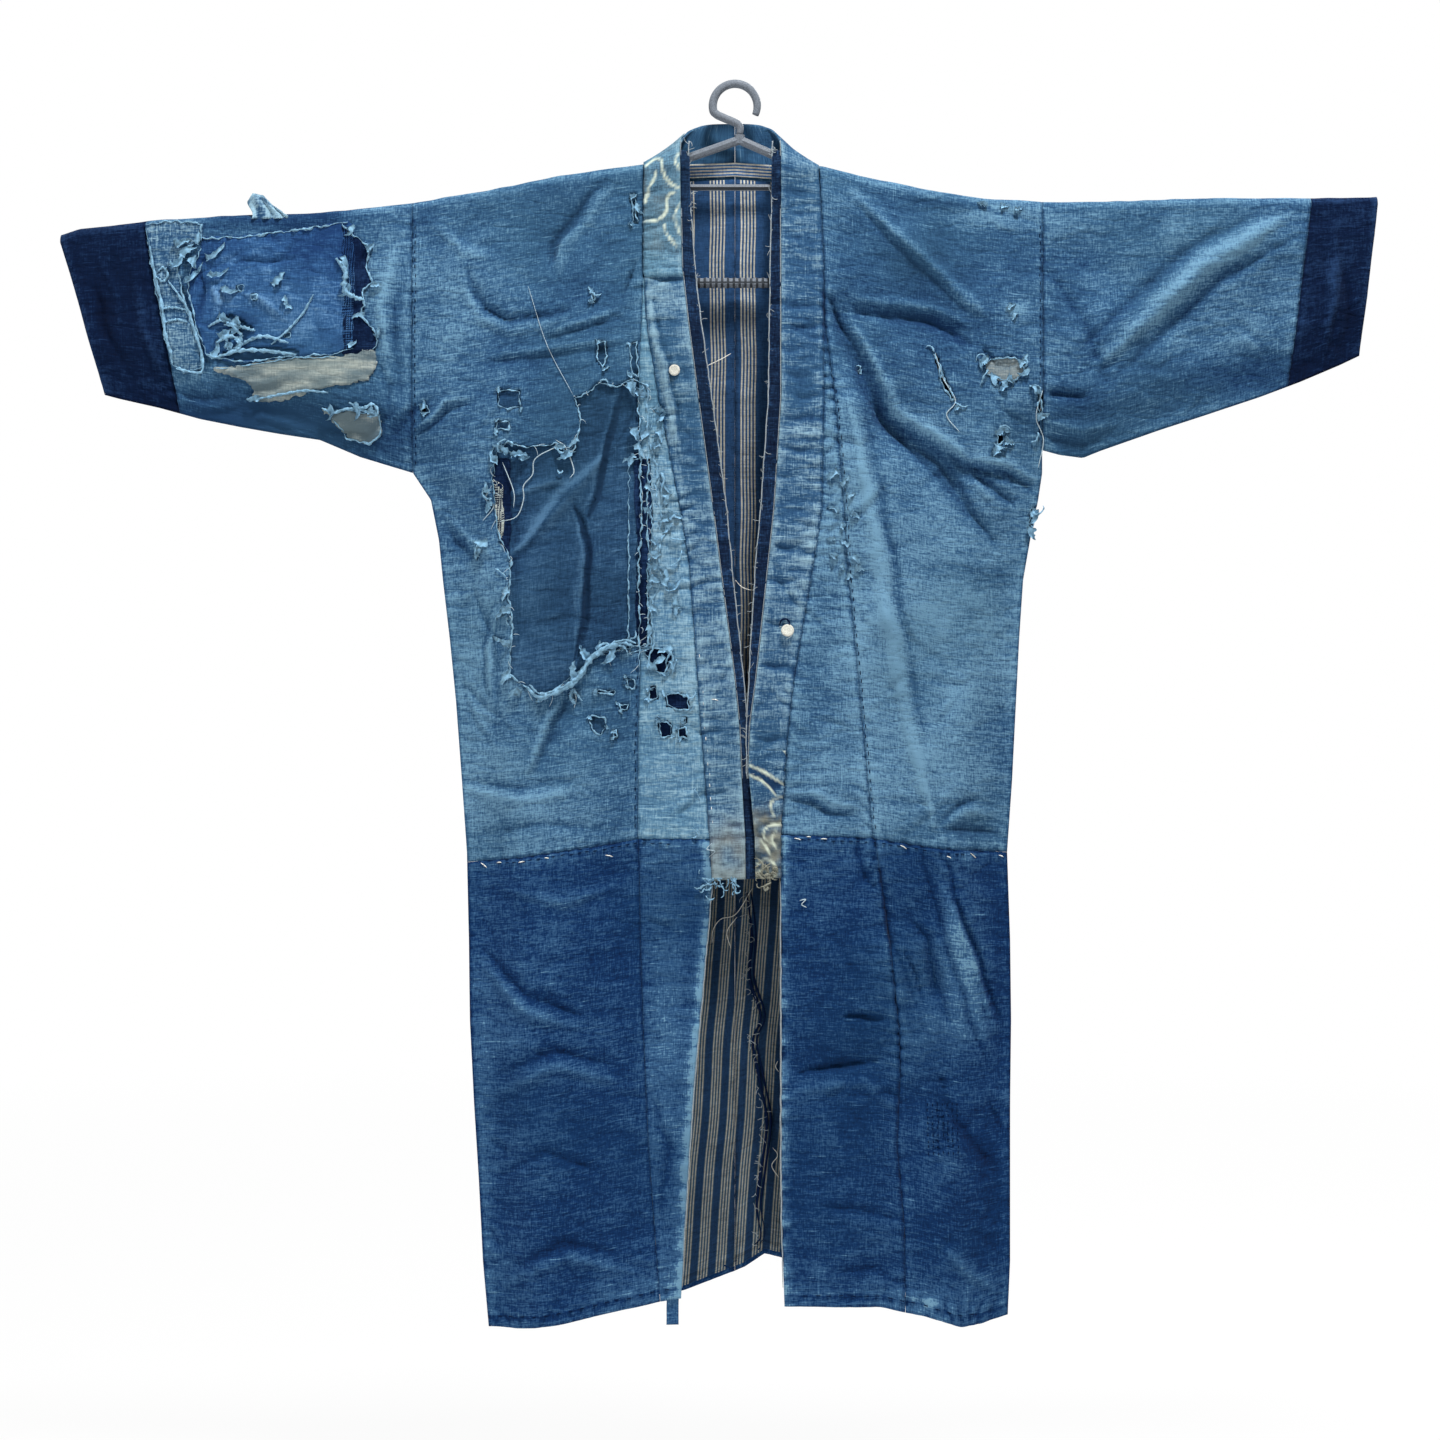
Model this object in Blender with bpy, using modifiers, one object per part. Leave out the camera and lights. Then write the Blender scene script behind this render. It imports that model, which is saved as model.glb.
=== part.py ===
"""Patched boro work coat hanging on a telescoping kimono hanger.

Sizes are in millimetres. The origin is where the hook bears on its support,
+Z is up and the coat's front faces -Y. The wearer's right is at -X.
Cloth pieces are open surfaces thickened by Solidify. Neighbours in the same
layer share stations and stand GAP apart; a piece that lies on another is made
from the other's points, moved out along the normals.
"""
import math

import bmesh
import bpy
import numpy as np
from mathutils import Vector

MM = 0.001

# ---- cloth sizes ---------------------------------------------------------
WALL = 1.5            # outer cloth
THIN = 1.0            # lining, facings and patches
BAND = 3.0            # folded collar band
GAP = 0.3             # between neighbours
NECK_GAP = 0.8        # collar to body where the band stands up round the neck
FOLD_R = 8.0          # mid surface of the fold over the hanger's arm
SEAM_Y = WALL / 2 + GAP / 2   # half distance of front and back at a closed seam
SEAM_FADE = 62.0      # distance over which front and back part from a seam
DROP = 240.0          # height over which the body opens below the shoulder
ARM_ROWS = 5          # rows of facets above the armpit
SIDE_ROWS = 5         # rows of facets from the waist to the armpit
BODY_COLS = 8
NECK_COLS = 4
OKUMI_COLS = 3
COLLAR_COLS = 3

# ---- outline, seen from the front ----------------------------------------
# top of the coat from cuff to cuff: x, z
TOP_LINE = (
    (-673, -147), (-655, -141), (-575, -132), (-495, -127), (-415, -125),
    (-322, -115), (-255, -104), (-215, -96), (-175, -88), (-135, -82),
    (-91, -76), (0, -72), (88, -78), (125, -88), (165, -96), (205, -104),
    (245, -110), (307, -114), (385, -113), (465, -110), (575, -110),
    (641, -109),
)
# waist seam: x, z
WAIST = (
    (-268, -774), (-215, -769), (-135, -757), (-97, -750), (-25, -750),
    (47, -746), (135, -749), (205, -760), (273, -764),
)
# front hem: x, z
HEM_FRONT = (
    (-250, -1238), (-215, -1238), (-175, -1232), (-135, -1223),
    (-95, -1214), (-75, -1209), (-54, -1206), (49, -1214), (145, -1214),
    (165, -1219), (185, -1223), (205, -1229), (225, -1236), (245, -1234),
    (273, -1226),
)
# back hem: x, z
HEM_BACK = (
    (-250, -1234), (-150, -1222), (-52, -1206), (-22, -1195), (9, -1183),
    (30, -1169), (46, -1173), (150, -1205), (273, -1222),
)
# side edge: z, x of the right side, x of the left side
SIDE = (
    (-116, -322, 307), (-362, -322, 307), (-385, -322, 307),
    (-412, -304, 303), (-452, -296, 295), (-492, -292, 288),
    (-552, -285, 284), (-612, -279, 281), (-692, -273, 277),
    (-764, -268, 272), (-852, -266, 275), (-932, -265, 276),
    (-1012, -261, 275), (-1092, -256, 275), (-1172, -252, 275),
    (-1240, -246, 272),
)
# collar band: z, then seam and fold of the right band, seam and fold of the left
COLLAR = (
    (-85, -91, -55, 84, 46), (-180, -91, -53, 88, 46),
    (-235, -88, -47, 88, 46), (-312, -76, -37, 88, 46),
    (-424, -54, -22, 86, 39), (-480, -45, -15, 77, 33),
    (-592, -37, -1, 58, 21), (-662, -32, 6.5, 50, 15),
    (-750, -25, 9.5, 45, 10.8), (-800, -22, 9.8, 45, 10.8),
)
# gore width above the waist: z, right, left
OKUMI = (
    (-191, 0.6, 0.6), (-235, 4.5, 0.6), (-298, 17, 9), (-424, 38, 22),
    (-480, 50, 34), (-592, 57, 64), (-662, 64, 78), (-750, 71, 92),
)
# row, counted from the top fold, where each gore's tip lies
OKUMI_TIP = {-1: 2, 1: 3}
# gores below the waist: z, right seam, right front edge, left seam, left front edge
LOWER = (
    (-745, -96, -25.6, 138, 45.6), (-797, -95, -23, 146, 45.6),
    (-852, -94, -28, 154, 45.8), (-942, -91, -36, 163, 46),
    (-983, -89, -40, 164, 46), (-1054, -86, -45, 161, 46),
    (-1136, -80, -50, 168, 46.5), (-1213, -74, -54, 169, 49),
)
# facing width inside the collar's fold: z, right, left
FACING = (
    (-95, 9, 9), (-180, 13, 11), (-312, 14, 13), (-424, 14, 14),
    (-480, 12, 13), (-552, 9, 10), (-610, 6, 6), (-640, 3.5, 4.5),
)
# under-arm seams: x, z
UNDER_RIGHT = (
    (-630, -307), (-615, -311), (-575, -320), (-535, -331), (-495, -339),
    (-455, -346), (-415, -352), (-375, -369), (-322, -385),
)
UNDER_LEFT = (
    (307, -362), (325, -367), (348, -370), (365, -363), (385, -356),
    (425, -342), (465, -329), (525, -309), (565, -294), (605, -277),
    (624, -268),
)
ARM_X = {-1: -322.0, 1: 307.0}
ARMPIT_Z = {-1: -385.0, 1: -362.0}
# cuff seam and cuff end, x at the bottom and x at the top of the sleeve
CUFF_SEAM = {-1: (-555.0, -588.0), 1: (553.0, 575.0)}
CUFF_END = {-1: (-630.0, -673.0), 1: (624.0, 641.0)}
SLEEVE_COLS = (0, 0.12, 0.25, 0.42, 0.62, 0.74, 0.855, 1)
LOWER_ROWS = (0, 0.09, 0.26, 0.44, 0.62, 0.81, 1)

# ---- depth of the hollow between front and back ---------------------------
# distance from the middle, front depth, back depth
DEPTH = (
    (0, 24, 22), (150, 24, 22), (250, 18, 17), (320, 13, 13),
    (450, 11, 11), (600, 9.5, 9.5), (680, 9, 9),
)
# folds: x and z of one end, x and z of the other, width, height (+ is outward)
FOLDS_FRONT = (
    (-131, -93, -181, -163, 22, -4), (-204, -203, -159, -315, 20, -3),
    (-267, -182, -190, -230, 20, 2.5), (-112, -317, -125, -382, 20, -3),
    (-125, -382, -145, -432, 20, -3), (-155, -452, -147, -625, 20, -4),
    (-167, -612, -198, -687, 20, -4), (-215, -500, -230, -720, 26, 4),
    (108, -242, 158, -342, 24, -7), (158, -342, 255, -452, 24, -6),
    (220, -377, 277, -417, 16, -3), (112, -322, 150, -532, 24, 5),
    (150, -532, 202, -752, 24, 5), (110, -100, 170, -157, 22, 4),
    (170, -157, 255, -227, 22, 4), (105, -222, 205, -230, 18, -3),
    (52, -714, 115, -727, 16, -2.5), (120, -762, 145, -832, 22, -5),
    (185, -832, 195, -892, 22, -5), (195, -892, 220, -992, 22, -5),
    (215, -772, 275, -992, 26, 5), (60, -977, 145, -967, 18, -3),
    (-205, -800, -190, -1220, 40, 4), (-125, -790, -128, -1230, 30, -4),
    (120, -1040, 110, -1220, 30, 4), (235, -1040, 240, -1230, 26, -4),
    (-532, -152, -385, -140, 16, 3), (370, -242, 555, -140, 28, 6),
    (340, -160, 500, -290, 24, -3), (-340, -200, -400, -330, 26, 3),
)
FOLDS_BACK = (
    (-160, -180, -145, -700, 36, 4), (155, -200, 140, -720, 36, -4),
    (65, -250, 60, -740, 26, 3), (-65, -300, -55, -740, 26, -3),
    (0, -140, 0, -1150, 12, -2), (-175, -790, -185, -1220, 36, 5),
    (170, -790, 165, -1210, 36, -5), (85, -800, 95, -1180, 30, 4),
    (-80, -820, -75, -1190, 28, -4), (-240, -330, -180, -480, 26, -4),
    (235, -330, 180, -470, 26, -4), (-360, -180, -540, -250, 26, 4),
    (350, -170, 540, -230, 26, 4), (230, -500, 235, -740, 24, 4),
)

# ---- tear in the right front: x, z round its edge --------------------------
TEAR = (
    (-237, -367), (-228, -357), (-206, -361), (-175, -355), (-168, -330),
    (-160, -312), (-146, -306), (-135, -297), (-118, -301), (-103, -292),
    (-86, -300), (-86, -557), (-115, -563), (-135, -568), (-155, -584),
    (-166, -591), (-175, -602), (-195, -609), (-208, -600), (-225, -587),
    (-221, -540), (-226, -510), (-223, -472), (-235, -452), (-239, -420),
    (-242, -392),
)
TEAR_DEPTH = 60.0

# ---- hanger ----------------------------------------------------------------
HOOK_WIRE = 4.2
HOOK_BEND = 18.0          # inside radius of the hook
FRAME_R = 4.5
ARM_R = 3.5
ROD_CLEAR = 0.9           # rod to the cloth over it
FRAME_REACH = 200.0       # from the middle to the end of the fixed frame
ARM_REACH = {-1: 626.0, 1: 606.0}
YOKE = (4.5, -52.0)       # x and z where the two braces leave the stem
BRACE_DIP = 2.4           # how far a brace passes under the collar's seam
BEAM_Z = -99.5
BEAM_ENDS = (-165.0, 122.0)
BEAM_R = 3.2
BAR_Z = -195.0
BAR_R = 5.6
BAR_RIB = 0.8
BAR_PITCH = 7.0
BAR_HALF = 64.2
UPRIGHT_X = (-70.0, 66.0)
UPRIGHT_R = 3.5

CLOTH = {
    "denim": (0.075, 0.16, 0.26), "indigo": (0.014, 0.045, 0.12),
    "navy": (0.008, 0.018, 0.05), "worn": (0.13, 0.26, 0.4),
    "under": (0.025, 0.07, 0.14), "stripe": (0.1, 0.13, 0.17),
    "beige": (0.26, 0.27, 0.26), "cream": (0.42, 0.4, 0.34),
    "plastic": (0.22, 0.24, 0.27), "shell": (0.75, 0.72, 0.62),
}


# ---- scene -----------------------------------------------------------------
def clear_scene():
    """Remove the objects a new scene starts with."""
    for old in list(bpy.data.objects):
        bpy.data.objects.remove(old, do_unlink=True)


def make_collection(name, hidden=False):
    """Add a collection to the scene."""
    made = bpy.data.collections.new(name)
    bpy.context.scene.collection.children.link(made)
    made.hide_render = hidden
    return made


def material(name, key):
    """Principled material of one sub-part."""
    made = bpy.data.materials.new(name)
    made.use_nodes = True
    shader = made.node_tree.nodes["Principled BSDF"]
    shader.inputs["Base Color"].default_value = (*CLOTH[key], 1)
    hard = key in ("plastic", "shell")
    shader.inputs["Roughness"].default_value = 0.45 if hard else 0.92
    shader.inputs["Metallic"].default_value = 0
    return made


# ---- tables ------------------------------------------------------------------
def read(table, value, column=1):
    """Read a column of a table by its first column, straight between rows."""
    rows = np.array(sorted(table), float)
    return np.interp(value, rows[:, 0], rows[:, column])


def top_z(x):
    """Height of the top edge's outside."""
    return read(TOP_LINE, x)


def tangent_z(x):
    """Height where the fold over the hanger ends and the cloth hangs."""
    return top_z(x) - WALL / 2 - FOLD_R


def under_z(x):
    """Height of the under-arm seam."""
    right = read(UNDER_RIGHT, x)
    left = read(UNDER_LEFT, x)
    return np.where(np.asarray(x) < 0, right, left)


def side_x(z, side):
    """X of a side edge."""
    return read(SIDE, z, 1 if side < 0 else 2)


def collar_x(z, side, fold=False):
    """X of the collar band's seam or fold."""
    column = (1 if side < 0 else 3) + (1 if fold else 0)
    return read(COLLAR, z, column)


def smooth(t):
    """Ease from 0 to 1."""
    t = np.clip(t, 0, 1)
    return t * t * (3 - 2 * t)


# ---- shape of the cloth --------------------------------------------------------
def seam_distance(x, z):
    """Distance to the nearest closed edge: side seam, armpit or under-arm."""
    x = np.asarray(x, float)
    z = np.asarray(z, float)
    out = np.zeros(np.broadcast(x, z).shape)
    for side in (-1, 1):
        arm = abs(ARM_X[side])
        pit = ARMPIT_Z[side]
        away = np.abs(x)
        below = np.abs(side_x(z, side)) - away
        corner = np.hypot(np.maximum(arm - away, 0), z - pit)
        sleeve = z - under_z(x)
        above = np.where(away < arm, corner, sleeve)
        here = np.where(z < pit, below, above)
        out = np.where(x * side >= 0, here, out)
    return np.maximum(out, 0)


def fold_height(x, z, folds):
    """Sum of soft ridges and troughs, each a bell across a straight line."""
    total = np.zeros(np.broadcast(x, z).shape)
    for x0, z0, x1, z1, width, height in folds:
        run = np.array((x1 - x0, z1 - z0), float)
        along = ((x - x0) * run[0] + (z - z0) * run[1]) / (run @ run)
        along = np.clip(along, 0, 1)
        gap = np.hypot(x - x0 - along * run[0], z - z0 - along * run[1])
        total = total + height * np.exp(-(gap / width) ** 2)
    return total


def depth(x, z, back=False):
    """Distance of the cloth's mid surface from the middle plane."""
    away = np.abs(x)
    full = read(DEPTH, away, 2 if back else 1)
    start = FOLD_R + 0 * full
    if back:
        start = start + 5 * np.clip(1 - (away / 85) ** 2, 0, 1)
    drop = tangent_z(x) - z
    open_by = start + (full - start) * smooth(drop / DROP)
    folds = fold_height(x, z, FOLDS_BACK if back else FOLDS_FRONT)
    open_by = open_by + folds * smooth(drop / 40)
    return SEAM_Y + (open_by - SEAM_Y) * smooth(seam_distance(x, z) / SEAM_FADE)


def surface(x, z, back=False):
    """Points of the front or the back at x and z."""
    y = depth(x, z, back) * (1 if back else -1)
    return np.stack(np.broadcast_arrays(x, y, z), axis=-1)


def fold_point(x, angle):
    """Points of the fold over the hanger: 0 at the front, pi at the back."""
    z = tangent_z(x) + FOLD_R * math.sin(angle)
    y = -FOLD_R * math.cos(angle) + 0 * z
    return np.stack(np.broadcast_arrays(x, y, z), axis=-1)


FOLD_ANGLES = (math.pi / 4, math.pi / 2, 3 * math.pi / 4)


def upper_fractions(side):
    """Heights of the rows above the waist, as fractions up to the fold."""
    x = ARM_X[side]
    low = read(WAIST, x)
    pit = (ARMPIT_Z[side] - low) / (tangent_z(x) - low)
    under = [pit * k / SIDE_ROWS for k in range(SIDE_ROWS)]
    over = [pit + (1 - pit) * k / ARM_ROWS for k in range(ARM_ROWS + 1)]
    return under + over


def upper_z(x, fraction):
    """Height of a row above the waist."""
    low = read(WAIST, x)
    return low + fraction * (tangent_z(x) - low)


def lower_z(x, fraction, back=False):
    """Height of a row below the waist."""
    start = read(WAIST, x)
    end = read(HEM_BACK if back else HEM_FRONT, x)
    return start + fraction * (end - start)


def row_points(edge_a, edge_b, stations, height, back=False):
    """Points of one row between two edges, each edge an x at a height."""
    mix = np.asarray(stations, float)
    z = height(0.5 * (edge_a(-400.0) + edge_b(-400.0)) + 0 * mix)
    for _ in range(6):
        x = edge_a(z) * (1 - mix) + edge_b(z) * mix
        z = height(x)
    return surface(x, z, back)


def gore_width(z, side):
    """Width of a gore above the waist."""
    return read(OKUMI, z, 1 if side < 0 else 2)


def body_edge(z, side, row):
    """Inner edge of a body length: at the gore below its tip, else at the collar."""
    reach = GAP
    if row <= tip_row(side):
        reach = 2 * GAP + gore_width(z, side)
    return collar_x(z, side) + side * reach


def tip_row(side):
    """Row number of a gore's tip."""
    return SIDE_ROWS + ARM_ROWS - OKUMI_TIP[side]


def back_mid(z, side):
    """Line of the back straight below the end of the neck."""
    return side * 84.0 + 0 * z


def fold_edge(side, angle):
    """Inner edge of a body length on the fold over the hanger."""
    table = ((0, 0), (0.25, 0), (0.5, 1), (0.75, 4), (1, 7))
    start = collar_x(-85, side) + side * GAP
    return start - side * read(table, angle / math.pi)


# ---- meshes ----------------------------------------------------------------------
def grid_normals(grid):
    """Unit normals at the points of a grid of points."""
    along = np.gradient(grid, axis=0)
    across = np.gradient(grid, axis=1)
    normal = np.cross(along, across)
    return normal / np.linalg.norm(normal, axis=-1, keepdims=True)


def add_mesh(name, points, faces, key, group):
    """Add a mesh object from points in millimetres."""
    mesh = bpy.data.meshes.new(name)
    mesh.from_pydata((np.asarray(points) * MM).tolist(), [], faces)
    made = bpy.data.objects.new(name, mesh)
    group.objects.link(made)
    mesh.materials.append(material("mat_" + name, key))
    return made


def cloth(name, grid, wall, key, group, keep=None):
    """Thicken an open grid of points, rows by columns, into a cloth piece."""
    rows, columns = grid.shape[:2]
    faces = []
    for r in range(rows - 1):
        for c in range(columns - 1):
            if keep is None or keep(r, c):
                first = r * columns + c
                faces.append((first, first + 1, first + columns + 1, first + columns))
    used = sorted({v for face in faces for v in face})
    index = {v: n for n, v in enumerate(used)}
    faces = [tuple(index[v] for v in face) for face in faces]
    points = grid.reshape(-1, 3)[used]
    made = add_mesh(name, points, faces, key, group)
    shell = made.modifiers.new("wall", "SOLIDIFY")
    shell.thickness = wall * MM
    shell.offset = 0
    shell.use_rim = True
    return made


def lay_on(grid, rise, side):
    """A grid moved by rise along its normals, towards the given Y side."""
    normal = grid_normals(grid)
    normal = normal * np.sign(normal[..., 1:2] * side + 1e-9)
    return grid + normal * rise


def tube(name, path, radius, key, group, sides=2):
    """Round rod along a path of points, with closed ends."""
    curve = bpy.data.curves.new(name, "CURVE")
    curve.dimensions = "3D"
    line = curve.splines.new("POLY")
    line.points.add(len(path) - 1)
    for point, place in zip(line.points, path):
        point.co = (*(Vector(place) * MM), 1)
    curve.bevel_depth = radius * MM
    curve.bevel_resolution = sides
    curve.use_fill_caps = True
    held = bpy.data.objects.new(name + "_path", curve)
    mesh = bpy.data.meshes.new_from_object(held)
    bpy.data.objects.remove(held)
    made = bpy.data.objects.new(name, mesh)
    group.objects.link(made)
    mesh.materials.clear()
    mesh.materials.append(material("mat_" + name, key))
    for polygon in mesh.polygons:
        polygon.use_smooth = len(polygon.vertices) == 4
    return made


def cut(target, cutter, kind):
    """Boolean of a target with another object."""
    step = target.modifiers.new(kind.lower(), "BOOLEAN")
    step.operation = kind
    step.object = cutter
    step.solver = "EXACT"


# ---- coat ------------------------------------------------------------------------
def body_grid(side):
    """Grid of a body length and the row where the back neck starts."""
    mix = np.arange(BODY_COLS + 1) / BODY_COLS
    neck = np.arange(1, NECK_COLS + 1) / NECK_COLS
    rows = []
    fractions = upper_fractions(side)

    def outer(z):
        return side_x(z, side) - side * np.where(z > ARMPIT_Z[side] - 1, GAP / 2, 0)

    def inner_back(z):
        return side * GAP / 2 + 0 * z

    for row, fraction in enumerate(fractions):
        def edge(z, row=row):
            return body_edge(z, side, row)
        front = row_points(outer, edge, mix, lambda x, f=fraction: upper_z(x, f))
        rows.append(np.concatenate((front, np.repeat(front[-1:], NECK_COLS, 0))))
    start = ARM_X[side] - side * GAP / 2
    for angle in FOLD_ANGLES:
        x = start * (1 - mix) + fold_edge(side, angle) * mix
        over = fold_point(x, angle)
        rows.append(np.concatenate((over, np.repeat(over[-1:], NECK_COLS, 0))))
    neck_row = len(rows)
    for fraction in reversed(fractions):
        def height(x, f=fraction):
            return upper_z(x, f)
        outer_part = row_points(outer, lambda z: back_mid(z, side), mix, height, True)
        neck_part = row_points(lambda z: back_mid(z, side), inner_back, neck, height, True)
        rows.append(np.concatenate((outer_part, neck_part)))
    return np.array(rows), neck_row


def build_body(side, word, group):
    """Body length over the shoulder, with its grid for what lies on it."""
    grid, neck_row = body_grid(side)
    made = cloth(
        "body_" + word + "_upper", grid, WALL, "denim", group,
        keep=lambda r, c: c < BODY_COLS or r >= neck_row,
    )
    return made, grid, neck_row


def build_lower(side, word, group):
    """Lower front, lower back and lower gore of one side."""
    mix = np.arange(BODY_COLS + 1) / BODY_COLS
    gore = np.arange(OKUMI_COLS + 1) / OKUMI_COLS
    first = 1 if side < 0 else 3

    def outer(z):
        return side_x(z, side)

    def seam(z):
        return read(LOWER, z, first)

    def height(x, f, back=False):
        return lower_z(x, f, back) - (GAP if f == 0 else 0)

    front, overlap, back = [], [], []
    for f in LOWER_ROWS:
        front.append(row_points(
            outer, lambda z: seam(z) + side * GAP / 2, mix,
            lambda x, f=f: height(x, f)))
        overlap.append(row_points(
            lambda z: seam(z) - side * GAP / 2,
            lambda z: read(LOWER, z, first + 1), gore,
            lambda x, f=f: height(x, f)))
        wide = row_points(
            outer, lambda z: back_mid(z, side), mix,
            lambda x, f=f: height(x, f, True), True)
        close = row_points(
            lambda z: back_mid(z, side), lambda z: side * GAP / 2 + 0 * z,
            np.arange(1, NECK_COLS + 1) / NECK_COLS,
            lambda x, f=f: height(x, f, True), True)
        back.append(np.concatenate((wide, close)))
    cloth("front_lower_" + word, np.array(front), WALL, "indigo", group)
    cloth("okumi_lower_" + word, np.array(overlap), WALL, "indigo", group)
    cloth("back_lower_" + word, np.array(back), WALL, "indigo", group)
    return np.array(overlap), np.array(back)


def build_okumi(side, word, group):
    """Gore above the waist, from its narrow tip beside the collar."""
    mix = np.arange(OKUMI_COLS + 1) / OKUMI_COLS
    rows = []
    for row, fraction in enumerate(upper_fractions(side)):
        if row > tip_row(side):
            break
        rows.append(row_points(
            lambda z: body_edge(z, side, 0) - side * GAP,
            lambda z: collar_x(z, side) + side * GAP, mix,
            lambda x, f=fraction: upper_z(x, f)))
    cloth("okumi_upper_" + word, np.array(rows), WALL, "denim", group)


def collar_grid(side):
    """Grid of a collar band from its lower end to the centre back."""
    mix = np.arange(COLLAR_COLS + 1) / COLLAR_COLS

    def seam(z):
        return collar_x(z, side)

    def fold(z):
        return collar_x(z, side, True)

    rows = [row_points(seam, fold, mix, lambda x: lower_z(x, LOWER_ROWS[1]))]
    for fraction in upper_fractions(side)[:-1]:
        rows.append(row_points(seam, fold, mix, lambda x, f=fraction: upper_z(x, f)))
    # round the neck: seam x, y, z and fold x, y, z of the right band
    ring = []
    edge = [surface(np.array(collar_x(-85, side)), np.array(tangent_z(-91.0)))]
    edge += [fold_point(np.array(fold_edge(side, a)), a) for a in FOLD_ANGLES]
    across = side * np.array((84.0, 63.0, 42.0, 21.0, GAP / 2))
    edge += [surface(x, tangent_z(x), True) for x in across]
    free = (
        (54.5, -12, -80), (55, -7, -66), (54, 0, -55), (50, 7, -47),
        (45, 12, -41), (37, 16, -36), (26, 18, -33.5), (12, 19.5, -32.5),
        (GAP / 2, 20, -32.5),
    )
    lean = 1.0 if side < 0 else 0.84
    for low, high in zip(edge, free):
        tip = np.array((side * high[0] * (lean if high[0] > 1 else 1), high[1], high[2]))
        low = np.asarray(low, float)
        away = (tip - low) / np.linalg.norm(tip - low)
        low = low + away * NECK_GAP
        ring.append(low + (tip - low) * mix[:, None])
    return np.array(rows + ring)


def build_collar(side, word, group):
    """Collar band, its facing and the patch sewn on it."""
    grid = collar_grid(side)
    cloth("collar_" + word, grid, BAND, "denim" if side < 0 else "worn", group)
    rise = (BAND + THIN) / 2 + GAP
    if side < 0:
        part = grid[9:14]
        cloth("collar_patch_neck", lay_on(part, rise, -1), THIN, "cream", group)
    else:
        part = grid[0:3]
        cloth("collar_patch_waist", lay_on(part, rise, -1), THIN, "cream", group)
    rows = []
    column = 1 if side < 0 else 2
    for line in grid[3:11]:
        start = line[-1]
        width = read(FACING, start[2], column)
        x = start[0] - side * (GAP + width * np.array((0, 0.5, 1)))
        y = start[1] + width * np.array((0, 0.12, 0.38))
        rows.append(np.stack((x, y, start[2] + 0 * x), axis=-1))
    cloth("facing_" + word, np.array(rows), THIN, "navy", group)
    return grid


def build_sleeve(side, word, group):
    """Sleeve and cuff: tubes closed by the under-arm seam."""
    levels = np.arange(ARM_ROWS + 1) / ARM_ROWS

    def ring_rows(x_low, x_high, x_low_2, x_high_2, stations, gap_a, gap_b):
        mix = np.asarray(stations, float)
        front, fold, back = [], [], []
        for f in levels:
            start = x_low * (1 - f) + x_high * f + side * gap_a
            end = x_low_2 * (1 - f) + x_high_2 * f - side * gap_b
            x = start * (1 - mix) + end * mix
            z = under_z(x) + f * (tangent_z(x) - under_z(x))
            front.append(surface(x, z))
            back.append(surface(x, z, True))
            top = x
        for angle in FOLD_ANGLES:
            fold.append(fold_point(top, angle))
        return np.array(front + fold + back[::-1])

    arm = ARM_X[side]
    seam = CUFF_SEAM[side]
    end = CUFF_END[side]
    sleeve = ring_rows(arm, arm, *seam, SLEEVE_COLS, GAP / 2, GAP / 2)
    cuff = ring_rows(*seam, *end, (0, 0.5, 1), GAP / 2, 0)
    cloth("sleeve_" + word, sleeve, WALL, "denim", group)
    cloth("cuff_" + word, cuff, WALL, "navy", group)
    return sleeve


def build_sleeve_patches(grid, group):
    """Patches on the front of the right sleeve: name, cloth, rows, columns."""
    rise = (WALL + THIN) / 2 + GAP
    table = (
        ("sleeve_patch_blue", "worn", 2, 5, 2, 6),
        ("sleeve_patch_navy", "navy", 2, 4, 1, 2),
        ("sleeve_patch_beige", "beige", 1, 2, 1, 4),
        ("sleeve_patch_small", "beige", 0, 1, 1, 2),
    )
    whole = lay_on(grid, rise, -1)
    for name, key, r0, r1, c0, c1 in table:
        part = whole[r0:r1 + 1, c0:c1 + 1].copy()
        if c0 == 2:
            part[:, 0, 0] -= GAP
        if name == "sleeve_patch_beige":
            part[-1, :, 2] -= GAP
        if name == "sleeve_patch_small":
            part[-1, :, 2] -= GAP
        cloth(name, part, THIN, key, group)


def build_lining(side, word, upper, neck_row, lower, group):
    """Back lining of one side, laid on the inside of the back."""
    rise = (WALL + THIN) / 2 + GAP
    high = lay_on(upper[neck_row:], rise, -1)
    low = lay_on(lower, rise, -1)
    high[-1, :, 2] = (high[-1, :, 2] + low[0, :, 2]) / 2
    grid = np.concatenate((high, low[1:]))
    grid[0, :, 2] -= 9.0
    grid[-1, :, 2] += 5.0
    grid[:, -1, 0] = side * GAP / 2
    first = 3
    cloth("lining_" + word, grid[:, first:], THIN, "stripe", group)


def build_neck_strip(group):
    """Striped strip across the inside of the neck, over the collar seam."""
    x = np.array((-50.0, -38.0, -25.0, -12.0, 0.0, 12.0, 25.0, 36.0, 46.0))
    base = surface(x, tangent_z(x), True)
    rows = []
    for rise, back in ((8.0, 0.6), (0.0, 0.0), (-6.0, -0.6)):
        y = base[:, 1] - BAND / 2 - 0.9 - THIN / 2 + back
        rows.append(np.stack((x, y, base[:, 2] + rise), axis=-1))
    cloth("neck_strip", np.array(rows), THIN, "stripe", group)


def build_hem_tab(group):
    """Torn end of a facing that hangs from behind the right gore's hem."""
    x, z = np.meshgrid(np.linspace(-68, -56, 3), np.linspace(-1186, -1232, 4))
    grid = lay_on(surface(x, z), (WALL + THIN) / 2 + GAP, 1)
    cloth("hem_tab", grid, THIN, "worn", group)


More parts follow.
